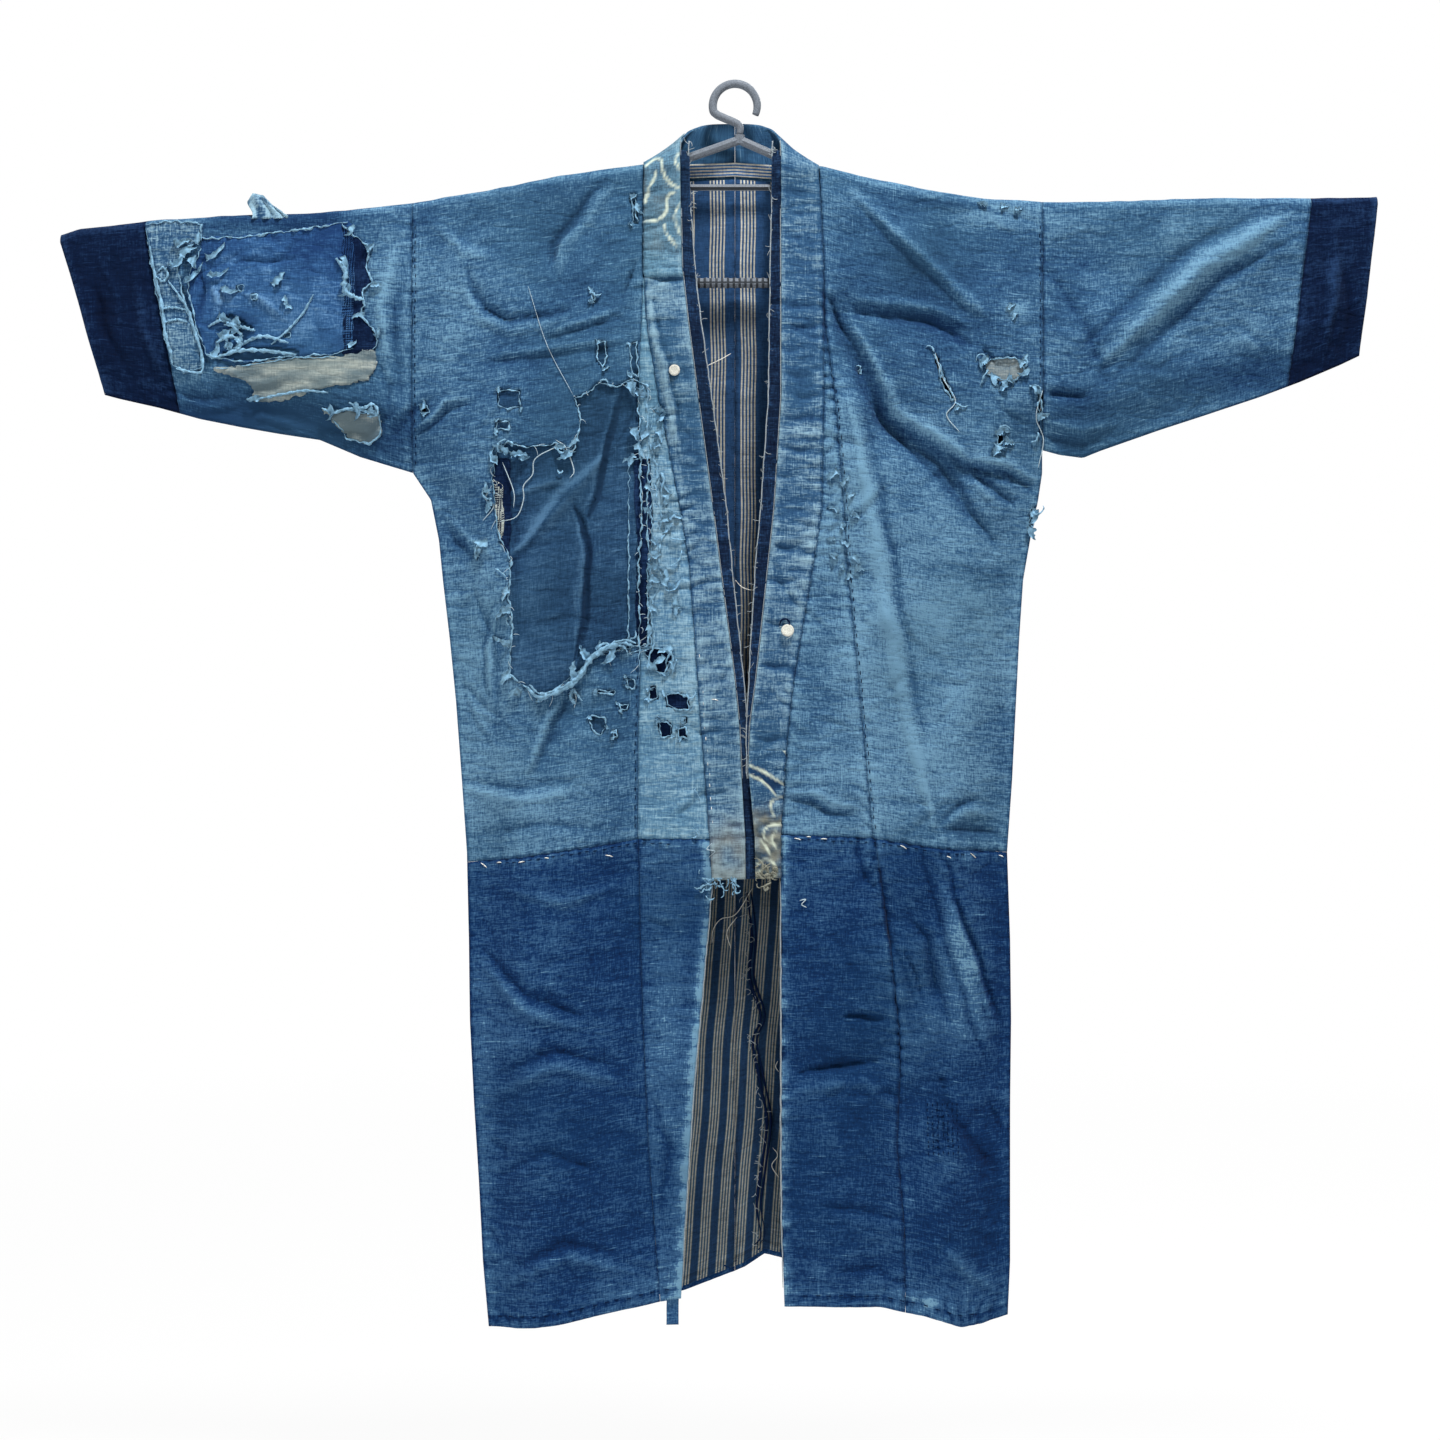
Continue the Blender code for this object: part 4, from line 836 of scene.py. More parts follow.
def relief(x, z, back, sizes):
    """Height of the fine relief, and a tone of painted shade and highlight that follows it.

    Creases, seam grooves, puckers and soft unevenness are added up. A pucker is
    a cosine along the seam that dies away from it.
    """
    creases = CREASES_BACK if back else CREASES_FRONT
    fine = crease_height(x, z, creases) * sizes.creases
    lump = uneven(x, z, 62, 1) + 0.55 * uneven(x, z, 27, 2) + 0.3 * uneven(x, z, 12, 3)
    lump = lump * sizes.crumple / MM
    # the tone follows the creases and soft unevenness: painted shade in troughs, painted highlight
    # on ridges and bulges
    tone = np.where(z < WAIST_Z, 0.062, 0.078) * np.clip(fine, -3.2, 3.2) + 0.045 * lump
    small = wrinkle_height(x, z, back) * sizes.creases
    lump = lump + small
    # painted shade and highlight on the small wrinkles
    tone = tone + 0.05 * small
    pitch = sizes.pitch / MM
    for number, (gap, along, runs, wide) in enumerate(seams(x, z, back)):
        near = np.abs(gap)
        beat = along / pitch + 0.9 * uneven(x, z, 34, 11 + number)
        wave = (2 * np.abs(np.cos(np.pi * beat + 0.4 * np.sign(gap))) ** 0.75 - 1.1) * runs
        strong = 0.65 + 0.35 * uneven(x, z, 70, 23 + number)
        reach = wide * (1 + 0.5 * uneven(along, 0 * along, pitch, 47 + number))
        fade = np.exp(-(near / reach) ** 1.6) * strong
        lump = lump + sizes.pucker / MM * wave * fade
        groove = bell(near / 2.2) * np.minimum(runs, 0.8)
        lump = lump - groove
        ridge = bell((near - 5) / 3.5) * runs
        # painted highlight on pucker crests, painted shade in pucker hollows and in the seam's
        # groove
        tone = tone + 0.22 * wave * fade + 0.10 * ridge - 0.30 * groove
    for fx, fz, rx, rz, amount in FADES_BACK if back else FADE_AND_SHADE_FRONT:
        tone = tone + amount * np.exp(-((x - fx) / rx) ** 2 - ((z - fz) / rz) ** 2)
    return fine + lump, tone


def surface(x, z, back, sizes):
    """Points of the front or back at x and z, and their tone.

    The middle surface stands off the middle plane by a depth that opens below
    the shoulder and closes at the seams, plus folds, creases and puckers.
    """
    x, z = (np.array(a, float) for a in np.broadcast_arrays(x, z))
    away = np.abs(x)
    full = read(DEPTH, away, 2 if back else 1)
    start = np.full(x.shape, FOLD_R)
    if back:
        start = start + 5 * np.clip(1 - (away / 85) ** 2, 0, 1)
    drop = tangent_z(x) - z
    out = start + (full - start) * smooth(drop / DROP)
    out = out + fold_height(x, z, FOLDS_BACK if back else FOLDS_FRONT) * smooth(drop / 40)
    close = seam_distance(x, z)
    out = SEAM_Y + (out - SEAM_Y) * smooth(close / SEAM_FADE)
    fine, tone = relief(x, z, back, sizes)
    out = out + fine * smooth(drop / 22) * smooth(close / 14)
    out = np.maximum(out, SEAM_Y)
    return np.stack((x, out * (1 if back else -1), z), axis=-1), tone


def on_cloth(flat, sizes, back=False):
    """Points of the front or back at an array of x and z."""
    points, _ = surface(flat[..., 0], flat[..., 1], back, sizes)
    return points


def fold_point(x, angle):
    """Points of the fold over the hanger, a half circle from front to back."""
    lump = 0.5 * uneven(x, angle * 9, 14, 8) + 0.4 * uneven(x, angle * 9, 40, 9)
    radius = FOLD_R + np.clip(lump, -0.4, 0.9) * np.sin(angle)
    z = tangent_z(x) + radius * np.sin(angle)
    y = -radius * np.cos(angle)
    tone = 0.12 + 0.10 * uneven(x, angle * 9, 30, 10) + 0 * z
    tone = tone - 0.42 * np.exp(-((x + 456) / 74) ** 6)
    return np.stack((x + 0 * z, y, z), axis=-1), tone


# ---- meshes --------------------------------------------------------------------------
def stations(start, end, cell):
    """Evenly spaced values about a cell apart."""
    return np.linspace(start, end, max(2, int(round(abs(end - start) / cell)) + 1))


def grid_normals(grid):
    """Unit normals at the points of a grid: across the rows and the columns."""
    normal = np.cross(np.gradient(grid, axis=0), np.gradient(grid, axis=1))
    size = np.linalg.norm(normal, axis=-1, keepdims=True)
    return normal / np.maximum(size, 1e-9)


def lay_on(grid, rise, side):
    """A grid moved by rise along its normals, towards the given y side."""
    normal = grid_normals(grid)
    return grid + normal * np.sign(normal[..., 1:2] * side + 1e-9) * rise


def running(grid):
    """Cloth coordinates in metres: x across, and the mean length run down the rows."""
    step = np.linalg.norm(np.diff(grid, axis=0), axis=-1).mean(axis=1)
    down = np.concatenate(([0], np.cumsum(step)))
    u = grid[..., 0]
    v = np.broadcast_to(down[:, None], u.shape) + grid[0, 0, 2]
    return np.stack((u, v), axis=-1) * MM


def edge_gap(x, z, outline):
    """Signed distance to a closed outline, negative inside."""
    ring = list(outline) + [outline[0]]
    gap, _ = line_gap(x, z, ring)
    inside = np.zeros(np.shape(x), bool)
    for (x0, z0), (x1, z1) in zip(ring[:-1], ring[1:]):
        crossing = (z0 > z) != (z1 > z)
        rise = z1 - z0 if z1 != z0 else 1e-9
        inside ^= crossing & (x < x0 + (z - z0) * (x1 - x0) / rise)
    return np.where(inside, -gap, gap)


def ragged(x, z, outlines, rag, seed):
    """Signed distance to the nearest of several torn edges."""
    best = np.full(np.shape(x), 1e9)
    for outline in outlines:
        near = close_to(x, z, outline, 12)
        if near.any():
            gap = edge_gap(x[near], z[near], outline)
            best[near] = np.minimum(best[near], gap)
    tear = uneven(x, z, 7.0, seed) + 0.6 * uneven(x, z, 3.4, seed + 1)
    return best + rag * tear


def tear_out(x, z, outlines, rag, seed, inside=False):
    """Move points near torn edges onto them, and say which faces stay."""
    sign = -1 if inside else 1

    def gap(a, b):
        return sign * ragged(a, b, outlines, rag, seed)

    step = 0.4
    here = gap(x, z)
    slope_x = (gap(x + step, z) - gap(x - step, z)) / (2 * step)
    slope_z = (gap(x, z + step) - gap(x, z - step)) / (2 * step)
    steep = np.maximum(np.hypot(slope_x, slope_z), 0.5)
    cell = np.abs(np.diff(x, axis=1)).mean() * 0.5 + np.abs(np.diff(z, axis=0)).mean() * 0.5
    near = (np.abs(here) < 0.62 * cell) & (np.hypot(slope_x, slope_z) > 0.3)
    x = np.where(near, x - here * slope_x / steep ** 2, x)
    z = np.where(near, z - here * slope_z / steep ** 2, z)
    mid_x = (x[:-1, :-1] + x[1:, :-1] + x[1:, 1:] + x[:-1, 1:]) / 4
    mid_z = (z[:-1, :-1] + z[1:, :-1] + z[1:, 1:] + z[:-1, 1:]) / 4
    return x, z, gap(mid_x, mid_z) > 0


def add_mesh(name, points, faces, finish, slot):
    """Add a mesh from points in millimetres, riding the root body."""
    if name in bpy.data.objects:
        name = name + "_cloth"
    mesh = bpy.data.meshes.new(name)
    mesh.from_pydata((np.asarray(points) * MM).tolist(), [], faces)
    mesh.polygons.foreach_set("use_smooth", [True] * len(mesh.polygons))
    mesh.materials.append(finish)
    made = bpy.data.objects.new(name, mesh)
    bpy.context.scene.collection.objects.link(made)
    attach(made, "root")
    return made


def cloth(name, grid, tone, wall, finish, slot, keep=None, marks=None):
    """Cloth from a grid of points, rows by columns, given its thickness.

    Faces join neighbouring points; the ones that keep leaves out are holes.
    """
    rows, columns = grid.shape[:2]
    index = np.arange(rows * columns).reshape(rows, columns)
    corners = (index[:-1, :-1], index[:-1, 1:], index[1:, 1:], index[1:, :-1])
    quads = np.stack(corners, axis=-1)
    quads = quads.reshape(-1, 4) if keep is None else quads[keep]
    used, inverse = np.unique(quads, return_inverse=True)
    faces = inverse.reshape(-1, 4)
    made = add_mesh(name, grid.reshape(-1, 3)[used], faces.tolist(), finish, slot)
    mesh = made.data
    layer = mesh.uv_layers.new(name="cloth")
    flat = running(grid).reshape(-1, 2)[used]
    layer.data.foreach_set("uv", flat[faces.ravel()].ravel().astype(np.float32))
    for label, values in {"tone": tone, **(marks or {})}.items():
        store = mesh.attributes.new(label, "FLOAT", "POINT")
        store.data.foreach_set("value", values.reshape(-1)[used].astype(np.float32))
    shell = made.modifiers.new("wall", "SOLIDIFY")
    shell.thickness = wall
    shell.offset = 0
    shell.use_rim = True
    return made


# ---- finishes ------------------------------------------------------------------------
def add_node(tree, kind, links=None, **settings):
    """Add a node; links names its sockets, each with a value or the socket that feeds it."""
    made = tree.nodes.new("ShaderNode" + kind)
    for key, value in settings.items():
        setattr(made, key, value)
    for key, value in (links or {}).items():
        if isinstance(value, bpy.types.NodeSocket):
            tree.links.new(value, made.inputs[key])
        else:
            made.inputs[key].default_value = value
    return made


class Graph:
    """Short way to write a material's nodes."""

    def __init__(self, name, roughness, sheen=0.0):
        self.material = bpy.data.materials.new(name)
        self.material.use_nodes = True
        self.tree = self.material.node_tree
        self.shader = self.tree.nodes["Principled BSDF"]
        for key, value in (
                ("Roughness", roughness), ("Specular IOR Level", 0.05),
                ("Sheen Weight", sheen), ("Sheen Roughness", 0.6)):
            self.shader.inputs[key].default_value = value

    def node(self, kind, **settings):
        """Add a node to the material."""
        return add_node(self.tree, kind, **settings)

    def place(self):
        """Place in the model, in metres."""
        return self.node("TexCoord").outputs["Object"]

    def run(self, axis):
        """Place along the cloth's own X or Y, in metres."""
        cloth_map = self.node("UVMap", uv_map="cloth").outputs[0]
        return self.node("SeparateXYZ", links={"Vector": cloth_map}).outputs[axis]

    def math(self, operation, a, b=0.0, c=0.0):
        """One sum of two or three values."""
        made = self.node("Math", operation=operation, links={0: a, 1: b, 2: c})
        return made.outputs[0]

    def swing(self, value, amount, base):
        """How far a value lies from a half, times an amount, added to a base."""
        return self.math("MULTIPLY_ADD", self.math("SUBTRACT", value, 0.5), amount, base)

    def noise(self, place, scale, detail=2.0, rough=0.5):
        """Noise from 0 to 1 over a place stretched by a scale for each axis."""
        moved = self.node("Mapping", links={"Vector": place, "Scale": scale})
        made = self.node("TexNoise", links={
            "Vector": moved.outputs[0], "Scale": 1.0, "Detail": detail, "Roughness": rough})
        return made.outputs["Fac"]

    def ramp(self, value, stops, steps=False):
        """Colours along a value; each stop is a place and a colour."""
        made = self.node("ValToRGB", links={"Fac": value})
        band = made.color_ramp
        band.interpolation = "CONSTANT" if steps else "LINEAR"
        while len(band.elements) < len(stops):
            band.elements.new(0.5)
        for element, (place, colour) in zip(band.elements, stops):
            element.position = place
            element.color = (*colour, 1)
        return made.outputs["Color"]

    def mix(self, amount, a, b, blend="MIX"):
        """Two colours mixed by an amount."""
        colours = [v if isinstance(v, bpy.types.NodeSocket) else (*v, 1) for v in (a, b)]
        made = self.node("Mix", data_type="RGBA", blend_type=blend, links={
            0: amount, 6: colours[0], 7: colours[1]})
        return made.outputs[2]

    def attribute(self, name):
        """A value stored on the mesh's points."""
        return self.node("Attribute", attribute_name=name).outputs["Fac"]

    def colour(self, socket):
        """Give the shader its colour."""
        self.tree.links.new(socket, self.shader.inputs["Base Color"])

    def painted(self):
        """The colour that the shader has so far."""
        return self.shader.inputs["Base Color"].links[0].from_socket

    def shaded(self, base, shade):
        """Give the shader a colour times a shade."""
        grey = self.node("CombineColor", links={0: shade, 1: shade, 2: shade}).outputs[0]
        self.colour(self.mix(1.0, base, grey, "MULTIPLY"))

    def bump(self, height, distance, strength):
        """Give the shader a fine height."""
        made = self.node("Bump", invert=distance < 0, links={
            "Height": height, "Distance": abs(distance), "Strength": strength})
        for link in self.shader.inputs["Normal"].links:
            self.tree.links.new(link.from_socket, made.inputs["Normal"])
        self.tree.links.new(made.outputs[0], self.shader.inputs["Normal"])


def weave(graph, seed=0.0, slub=1.0, lines=1.0):
    """Height and tone of uneven threads: streaks along weft and warp, lone ones, flecks."""
    place = graph.node("UVMap", uv_map="cloth").outputs[0]
    moved = graph.node("Mapping", links={
        "Vector": place, "Location": (seed, seed * 0.7, seed)}).outputs[0]
    weft = graph.noise(moved, (105.0, 900.0, 1.0), 3.0, 0.65)
    thick = graph.noise(moved, (24.0, 330.0, 1.0), 2.0, 0.5)
    warp = graph.noise(moved, (820.0, 95.0, 1.0), 3.0, 0.65)
    fleck = graph.noise(moved, (420.0, 420.0, 1.0), 1.0, 0.5)
    height = graph.math("ADD", weft, graph.math("MULTIPLY", warp, 0.7))
    tone = graph.math("MULTIPLY", graph.math("SUBTRACT", weft, 0.5), 1.05 * slub)
    for streak, amount in ((thick, 0.46), (warp, 0.90), (fleck, 0.50)):
        tone = graph.swing(streak, amount * slub, tone)
    for scale, start, amount in (((30.0, 640.0, 1.0), 0.66, 3.2), ((620.0, 17.0, 1.0), 0.64, 1.2)):
        lone = graph.noise(moved, scale, 1.0, 0.5)
        lone = graph.math("MAXIMUM", graph.math("SUBTRACT", lone, start), 0.0)
        tone = graph.math("MULTIPLY_ADD", lone, amount * slub * lines, tone)
    return height, tone


def cotton(name, dark, middle, pale, seed, slub=1.0, blotch=0.36, lines=1.0, rub=None):
    """Worn cotton: three tones mixed by weave, wear, painted crease shade and highlight, and soft
    blotches.
    """
    graph = Graph(name, 0.92, 0.02)
    height, tone = weave(graph, seed, slub, lines)
    where = graph.place()
    crumple = graph.noise(where, (15.0, 15.0, 40.0), 3.0, 0.62)
    gap = graph.math("ABSOLUTE", graph.math("SUBTRACT", crumple, 0.5))
    line = graph.math("MAXIMUM", graph.math("MULTIPLY_ADD", gap, -11.0, 1.0), 0.0)
    # darker along the crumple lines: painted shade in fine creases
    tone = graph.math("ADD", graph.math("MULTIPLY_ADD", line, -0.07, tone), 0.02)
    graph.bump(line, -0.0012, 0.5)
    large = graph.noise(where, (7.0, 7.0, 7.0), 2.0, 0.55)
    small = graph.noise(where, (31.0, 31.0, 38.0), 3.0, 0.6)
    value = graph.math("ADD", tone, graph.attribute("tone"))
    value = graph.swing(large, blotch, value)
    value = graph.swing(small, 0.9 * blotch, value)
    value = graph.math("ADD", value, 0.5)
    stops = [(0.12, dark), (0.5, middle), (0.92, pale)]
    if rub is not None:
        stops[2:] = [(0.88, pale), (1.0, rub)]
    base = graph.ramp(value, stops)
    drift = graph.noise(where, (4.3, 4.3, 5.1), 2.0, 0.5)
    amount = graph.math("MULTIPLY", graph.math("SUBTRACT", drift, 0.45), 1.6)
    amount = graph.node("Clamp", links={"Value": amount, "Min": 0.0, "Max": 0.5}).outputs[0]
    teal = tuple(c * k for c, k in zip(middle, (1.10, 1.04, 0.80)))
    graph.colour(graph.mix(amount, base, teal))
    graph.bump(height, 0.00045, 0.55)
    return graph


def pale_lines(graph, across, pitch, lines, ground, line):
    """Stripes: the place in one repeat picks the ground or a line, in metres."""
    turn = graph.math("FRACT", graph.math("DIVIDE", across, pitch))
    stops = [(0.0, ground)]
    for start, wide in lines:
        stops.append((start / pitch, line))
        stops.append(((start + wide) / pitch, ground))
    return graph.ramp(turn, stops, steps=True)


def lining_finish(name, colours):
    """Striped lining: groups of pale lines on navy, taupe bands below the waist."""
    graph = Graph(name, 0.93, 0.03)
    height, tone = weave(graph, 3.1, 0.8)
    across = graph.run("X")
    wobble = graph.noise(graph.place(), (2.0, 2.0, 9.0), 1.0)
    across = graph.swing(wobble, 0.006, across)
    navy = tuple(colours.lining_navy)
    line = tuple(colours.lining_line)
    band = tuple(colours.lining_band)
    upper = pale_lines(graph, graph.math("ADD", across, 1.002), 0.0305, (
        (0.0010, 0.0016), (0.0044, 0.0016), (0.0078, 0.0016), (0.0112, 0.0016),
        (0.0146, 0.0014)), navy, line)
    high = graph.node("SeparateXYZ", links={"Vector": graph.place()}).outputs["Z"]
    lean = graph.math("MULTIPLY_ADD", high, -0.075, across)
    lower = pale_lines(graph, graph.math("ADD", lean, 1.0), 0.0178, (
        (0.0008, 0.0012), (0.0036, 0.0012), (0.0064, 0.0012), (0.0092, 0.0012)),
        band, tuple(c * 0.62 for c in line))
    lower_turn = graph.math("FRACT", graph.math(
        "DIVIDE", graph.math("ADD", lean, 1.0), 0.0178))
    dark = graph.math("GREATER_THAN", lower_turn, 0.63)
    lower = graph.mix(dark, lower, tuple(c * 0.5 for c in navy))
    base = graph.mix(graph.math("LESS_THAN", high, LINING_WAIST), upper, lower)
    shade = graph.math("ADD", graph.math("MULTIPLY", tone, 1.3), graph.attribute("tone"))
    shade = graph.math("MULTIPLY_ADD", shade, 1.0, 0.88)
    graph.shaded(base, shade)
    graph.bump(height, 0.0004, 0.5)
    return graph.material


def strip_finish(name, colours):
    """Neck strip: pale lines along it on taupe."""
    graph = Graph(name, 0.93, 0.03)
    height, tone = weave(graph, 5.3, 0.7)
    down = graph.run("Y")
    base = pale_lines(graph, graph.math("ADD", down, 1.0), 0.0032, (
        (0.0004, 0.0016),), tuple(1.9 * c for c in colours.lining_navy),
        tuple(1.2 * c for c in colours.lining_line))
    graph.shaded(base, graph.math("MULTIPLY_ADD", tone, 1.6, 1.0))
    graph.bump(height, 0.0004, 0.5)
    return graph.material


def plain_finish(name, colour, roughness, seed=0.0, change=0.25, fine=900.0):
    """A plain finish with slight unevenness, for threads, plastic and shell."""
    graph = Graph(name, roughness)
    moved = graph.node("Mapping", links={
        "Vector": graph.place(), "Location": (seed, seed, seed)}).outputs[0]
    value = graph.noise(moved, (fine, fine, fine), 2.0)
    low = tuple(c * (1 - change) for c in colour)
    high = tuple(min(1, c * (1 + change)) for c in colour)
    graph.colour(graph.ramp(value, ((0.3, low), (0.7, high))))
    graph.bump(value, 0.0002, 0.3)
    return graph


def finish(name):
    """The finish of a cloth or thread, made once."""
    known = bpy.data.materials.get(name)
    if known:
        return known
    colours = bpy.context.scene.coat_colours
    tones = {
        "worn denim": ("worn_dark", "worn", "worn_pale", 0.0, 1.0),
        "worn gore": ("pale_dark", "pale", "pale_light", 0.6, 1.1),
        "faded collar": ("worn_dark", "worn", "pale_light", 1.2, 0.7),
        "deep indigo": ("indigo_dark", "indigo", "indigo_pale", 1.9, 0.80),
        "navy cotton": ("navy_dark", "navy", "navy_pale", 2.4, 0.6),
        "facing cotton": ("navy_dark", "facing", "lining_navy", 2.9, 1.0),
        "older cloth": ("under_dark", "under", "under_pale", 3.3, 0.8),
        "blue patch": ("patch_dark", "patch", "patch_pale", 4.1, 0.9),
        "beige cotton": ("beige_dark", "beige", "beige_pale", 4.7, 0.8),
        "torn weft": ("worn_dark", "worn", "pale_light", 5.2, 1.0),
        "cream cotton": ("beige", "beige_pale", "print_line", 5.9, 0.6),
        "grey cotton": ("beige_dark", "beige", "beige_pale", 6.6, 0.8),
    }
    if name in tones:
        dark, middle, pale, seed, slub = tones[name]
        more = {"deep indigo": (0.19, 1.0, colours.worn_pale), "faded collar": (0.15, 1.2)}
        graph = cotton(
            name, getattr(colours, dark), getattr(colours, middle),
            getattr(colours, pale), seed, slub, *more.get(name, ()))
        if name == "faded collar":
            graph.colour(graph.mix(
                graph.attribute("stain"), graph.painted(), tuple(colours.stain)))
        return graph.material
    if name in ("scroll cotton", "scroll end"):
        middle = colours.pale if name == "scroll cotton" else colours.worn
        graph = cotton(name, colours.worn_dark, middle, colours.pale_light, 6.0)
        earth = graph.ramp(graph.noise(graph.place(), (60.0, 60.0, 90.0), 3.0, 0.6), (
            (0.34, tuple(colours.stain_dark)), (0.62, tuple(colours.stain))))
        under = graph.mix(graph.attribute("stain"), graph.painted(), earth)
        graph.colour(graph.mix(graph.attribute("scroll"), under, tuple(colours.print_line)))
        return graph.material
    if name == "striped lining":
        return lining_finish(name, colours)
    if name == "lined strip":
        return strip_finish(name, colours)
    simple = {
        "blue thread": (colours.thread, 0.9, 1.0),
        "torn edge": (colours.torn, 0.95, 1.5, 0.4, 260.0),
        "cream thread": (colours.cream, 0.9, 2.0),
        "dark thread": (colours.indigo_dark, 0.9, 3.0),
        "stained end": (colours.stain, 0.95, 2.5),
        "piping thread": (colours.piping, 0.95, 6.0),
        "shell": (colours.button, 0.4, 4.0),
        "hanger plastic": (colours.plastic, 0.38, 5.0),
    }
    colour, *rest = simple[name]
    graph = plain_finish(name, tuple(colour), *rest)
    if name == "hanger plastic":
        hanger_groove_shade(graph, colours)
    return graph.material


def hanger_groove_shade(graph, colours):
    """Painted shade: a dark groove along the beam and dark ribs across the bar, from the place in
    metres.
    """
    place = graph.node("SeparateXYZ", links={"Vector": graph.place()}).outputs
    groove = graph.math("COMPARE", place["Z"], GROOVE_Z, 0.0013)
    bar = graph.math("COMPARE", place["Z"], BAR_Z, 0.0065)
    turn = graph.math("FRACT", graph.math(
        "DIVIDE", graph.math("ADD", place["X"], 1.0), RIB_PITCH))
    rib = graph.math("MULTIPLY", graph.math("LESS_THAN", turn, 0.42), bar)
    middle = graph.math("COMPARE", place["Z"], BAR_Z, 0.0008)
    rib = graph.math("MAXIMUM", rib, middle)
    dark = graph.math("MULTIPLY", graph.math("MAXIMUM", rib, groove), 0.85)
    graph.colour(graph.mix(dark, graph.painted(), tuple(0.12 * c for c in colours.plastic)))


# ---- panels --------------------------------------------------------------------------
def upper_fractions(side):
    """Heights of the solids' rows above the waist, as fractions up to the fold."""
    x = ARM_X[side]
    low = read(WAIST, x)
    pit = (ARMPIT_Z[side] - low) / (tangent_z(x) - low)
    under = [pit * k / SIDE_ROWS for k in range(SIDE_ROWS)]
    return under + [pit + (1 - pit) * k / ARM_ROWS for k in range(ARM_ROWS + 1)]


def upper_z(x, fraction):
    """Height of a row above the waist."""
    low = read(WAIST, x)
    return low + fraction * (tangent_z(x) - low)


def lower_z(x, fraction, back=False):
    """Height of a row below the waist."""
    start = read(WAIST, x)
    return start + fraction * (read(HEM_BACK if back else HEM_FRONT, x) - start)


def panel(edge_a, edge_b, mix, rows, height):
    """X and z of a panel: straight between its edges along each row.

    An edge gives x at a height in a row, and height gives z at an x in a row, so
    the two are worked out in turn until they agree.
    """
    mix = np.asarray(mix, float)[None, :]
    rows = np.asarray(rows, float)[:, None]
    z = height(0.5 * (edge_a(-400.0, rows) + edge_b(-400.0, rows)) + 0 * mix, rows)
    for _ in range(6):
        x = edge_a(z, rows) * (1 - mix) + edge_b(z, rows) * mix
        z = height(x, rows)
    return x, z


def body_edges(side):
    """Outer edge, front edge, and the two edges behind of a body length."""
    heights = upper_fractions(side)
    tip = SIDE_ROWS + ARM_ROWS - OKUMI_TIP[side]

    def outer(z, rows):
        return side_x(z, side) - side * np.where(z > ARMPIT_Z[side] - 1, GAP / 2, 0)

    def inner(z, rows):
        share = np.clip((heights[tip + 1] - rows) / (heights[tip + 1] - heights[tip]), 0, 1)
        return collar_x(z, side) + side * (GAP + (GAP + gore_width(z, side)) * share)

    def middle(z, rows):
        return side * NECK_HALF + 0 * z

    def centre(z, rows):
        return side * GAP / 2 + 0 * z

    return outer, inner, middle, centre


def back_panel(side, outer, mix, neck, rows, height):
    """X and z of a back: its outer part, then the part below the neck."""
    _, _, middle, centre = body_edges(side)
    halves = (
        panel(outer, middle, mix, rows, height), panel(middle, centre, neck, rows, height))
    return [np.concatenate(both, axis=1) for both in zip(*halves)]


def fold_edge(side, angle):
    """Inner edge of a body length on the fold over the hanger."""
    table = ((0, 0), (0.25, 0), (0.5, 1), (0.75, 4), (1, 7))
    return collar_x(NECK_Z, side) + side * GAP - side * read(table, angle / math.pi)


FOLD_STEPS = 11


def fold_angles():
    """Angles between the front and back of the fold over the hanger."""
    return np.linspace(0, math.pi, FOLD_STEPS)[1:-1, None]


def body_length(side, word, holes, cell, sizes):
    """Body length: front, over the shoulder, and down the back with the neck part."""
    outer, inner, _, _ = body_edges(side)
    step = cell / UPPER_RUN
    wide = sizes.front_cell / MM / UPPER_RUN
    rows = np.concatenate((
        stations(0, 0.15, wide)[:-1], stations(0.15, 0.69, step)[:-1],
        stations(0.69, 1, wide)))
    mix = stations(0, 1, cell / BODY_WIDE)
    neck = stations(0, 1, cell / NECK_HALF)[1:]
    x, z = panel(outer, inner, mix, rows, upper_z)
    x, z, stay = tear_out(x, z, holes, 0.6, 31 + side)
    front, front_tone = surface(x, z, False, sizes)
    start = ARM_X[side] - side * GAP / 2
    angle = fold_angles()
    x = start * (1 - mix) + fold_edge(side, angle) * mix
    fold, fold_tone = fold_point(x, angle)
    down = stations(1, 0, sizes.back_cell / MM / UPPER_RUN)
    back, back_tone = surface(*back_panel(side, outer, mix, neck, down, upper_z), True, sizes)
    # the front has no part below the neck: its edge is repeated, without faces
    first, tone = (
        np.concatenate((both, np.repeat(both[:, -1:], len(neck), 1)), axis=1)
        for both in (
            np.concatenate((front, fold)), np.concatenate((front_tone, fold_tone))))
    grid = np.concatenate((first, back))
    keep = np.ones((len(grid) - 1, grid.shape[1] - 1), bool)
    keep[:len(first), len(mix) - 1:] = False
    keep[:stay.shape[0], :stay.shape[1]] &= stay
    name = "body_" + word
    made = cloth(
        name, grid, np.concatenate((tone, back_tone)), sizes.outer,
        finish("worn denim"), "worn_denim_blue", keep)
    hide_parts("body_" + word + "_upper")
    return made


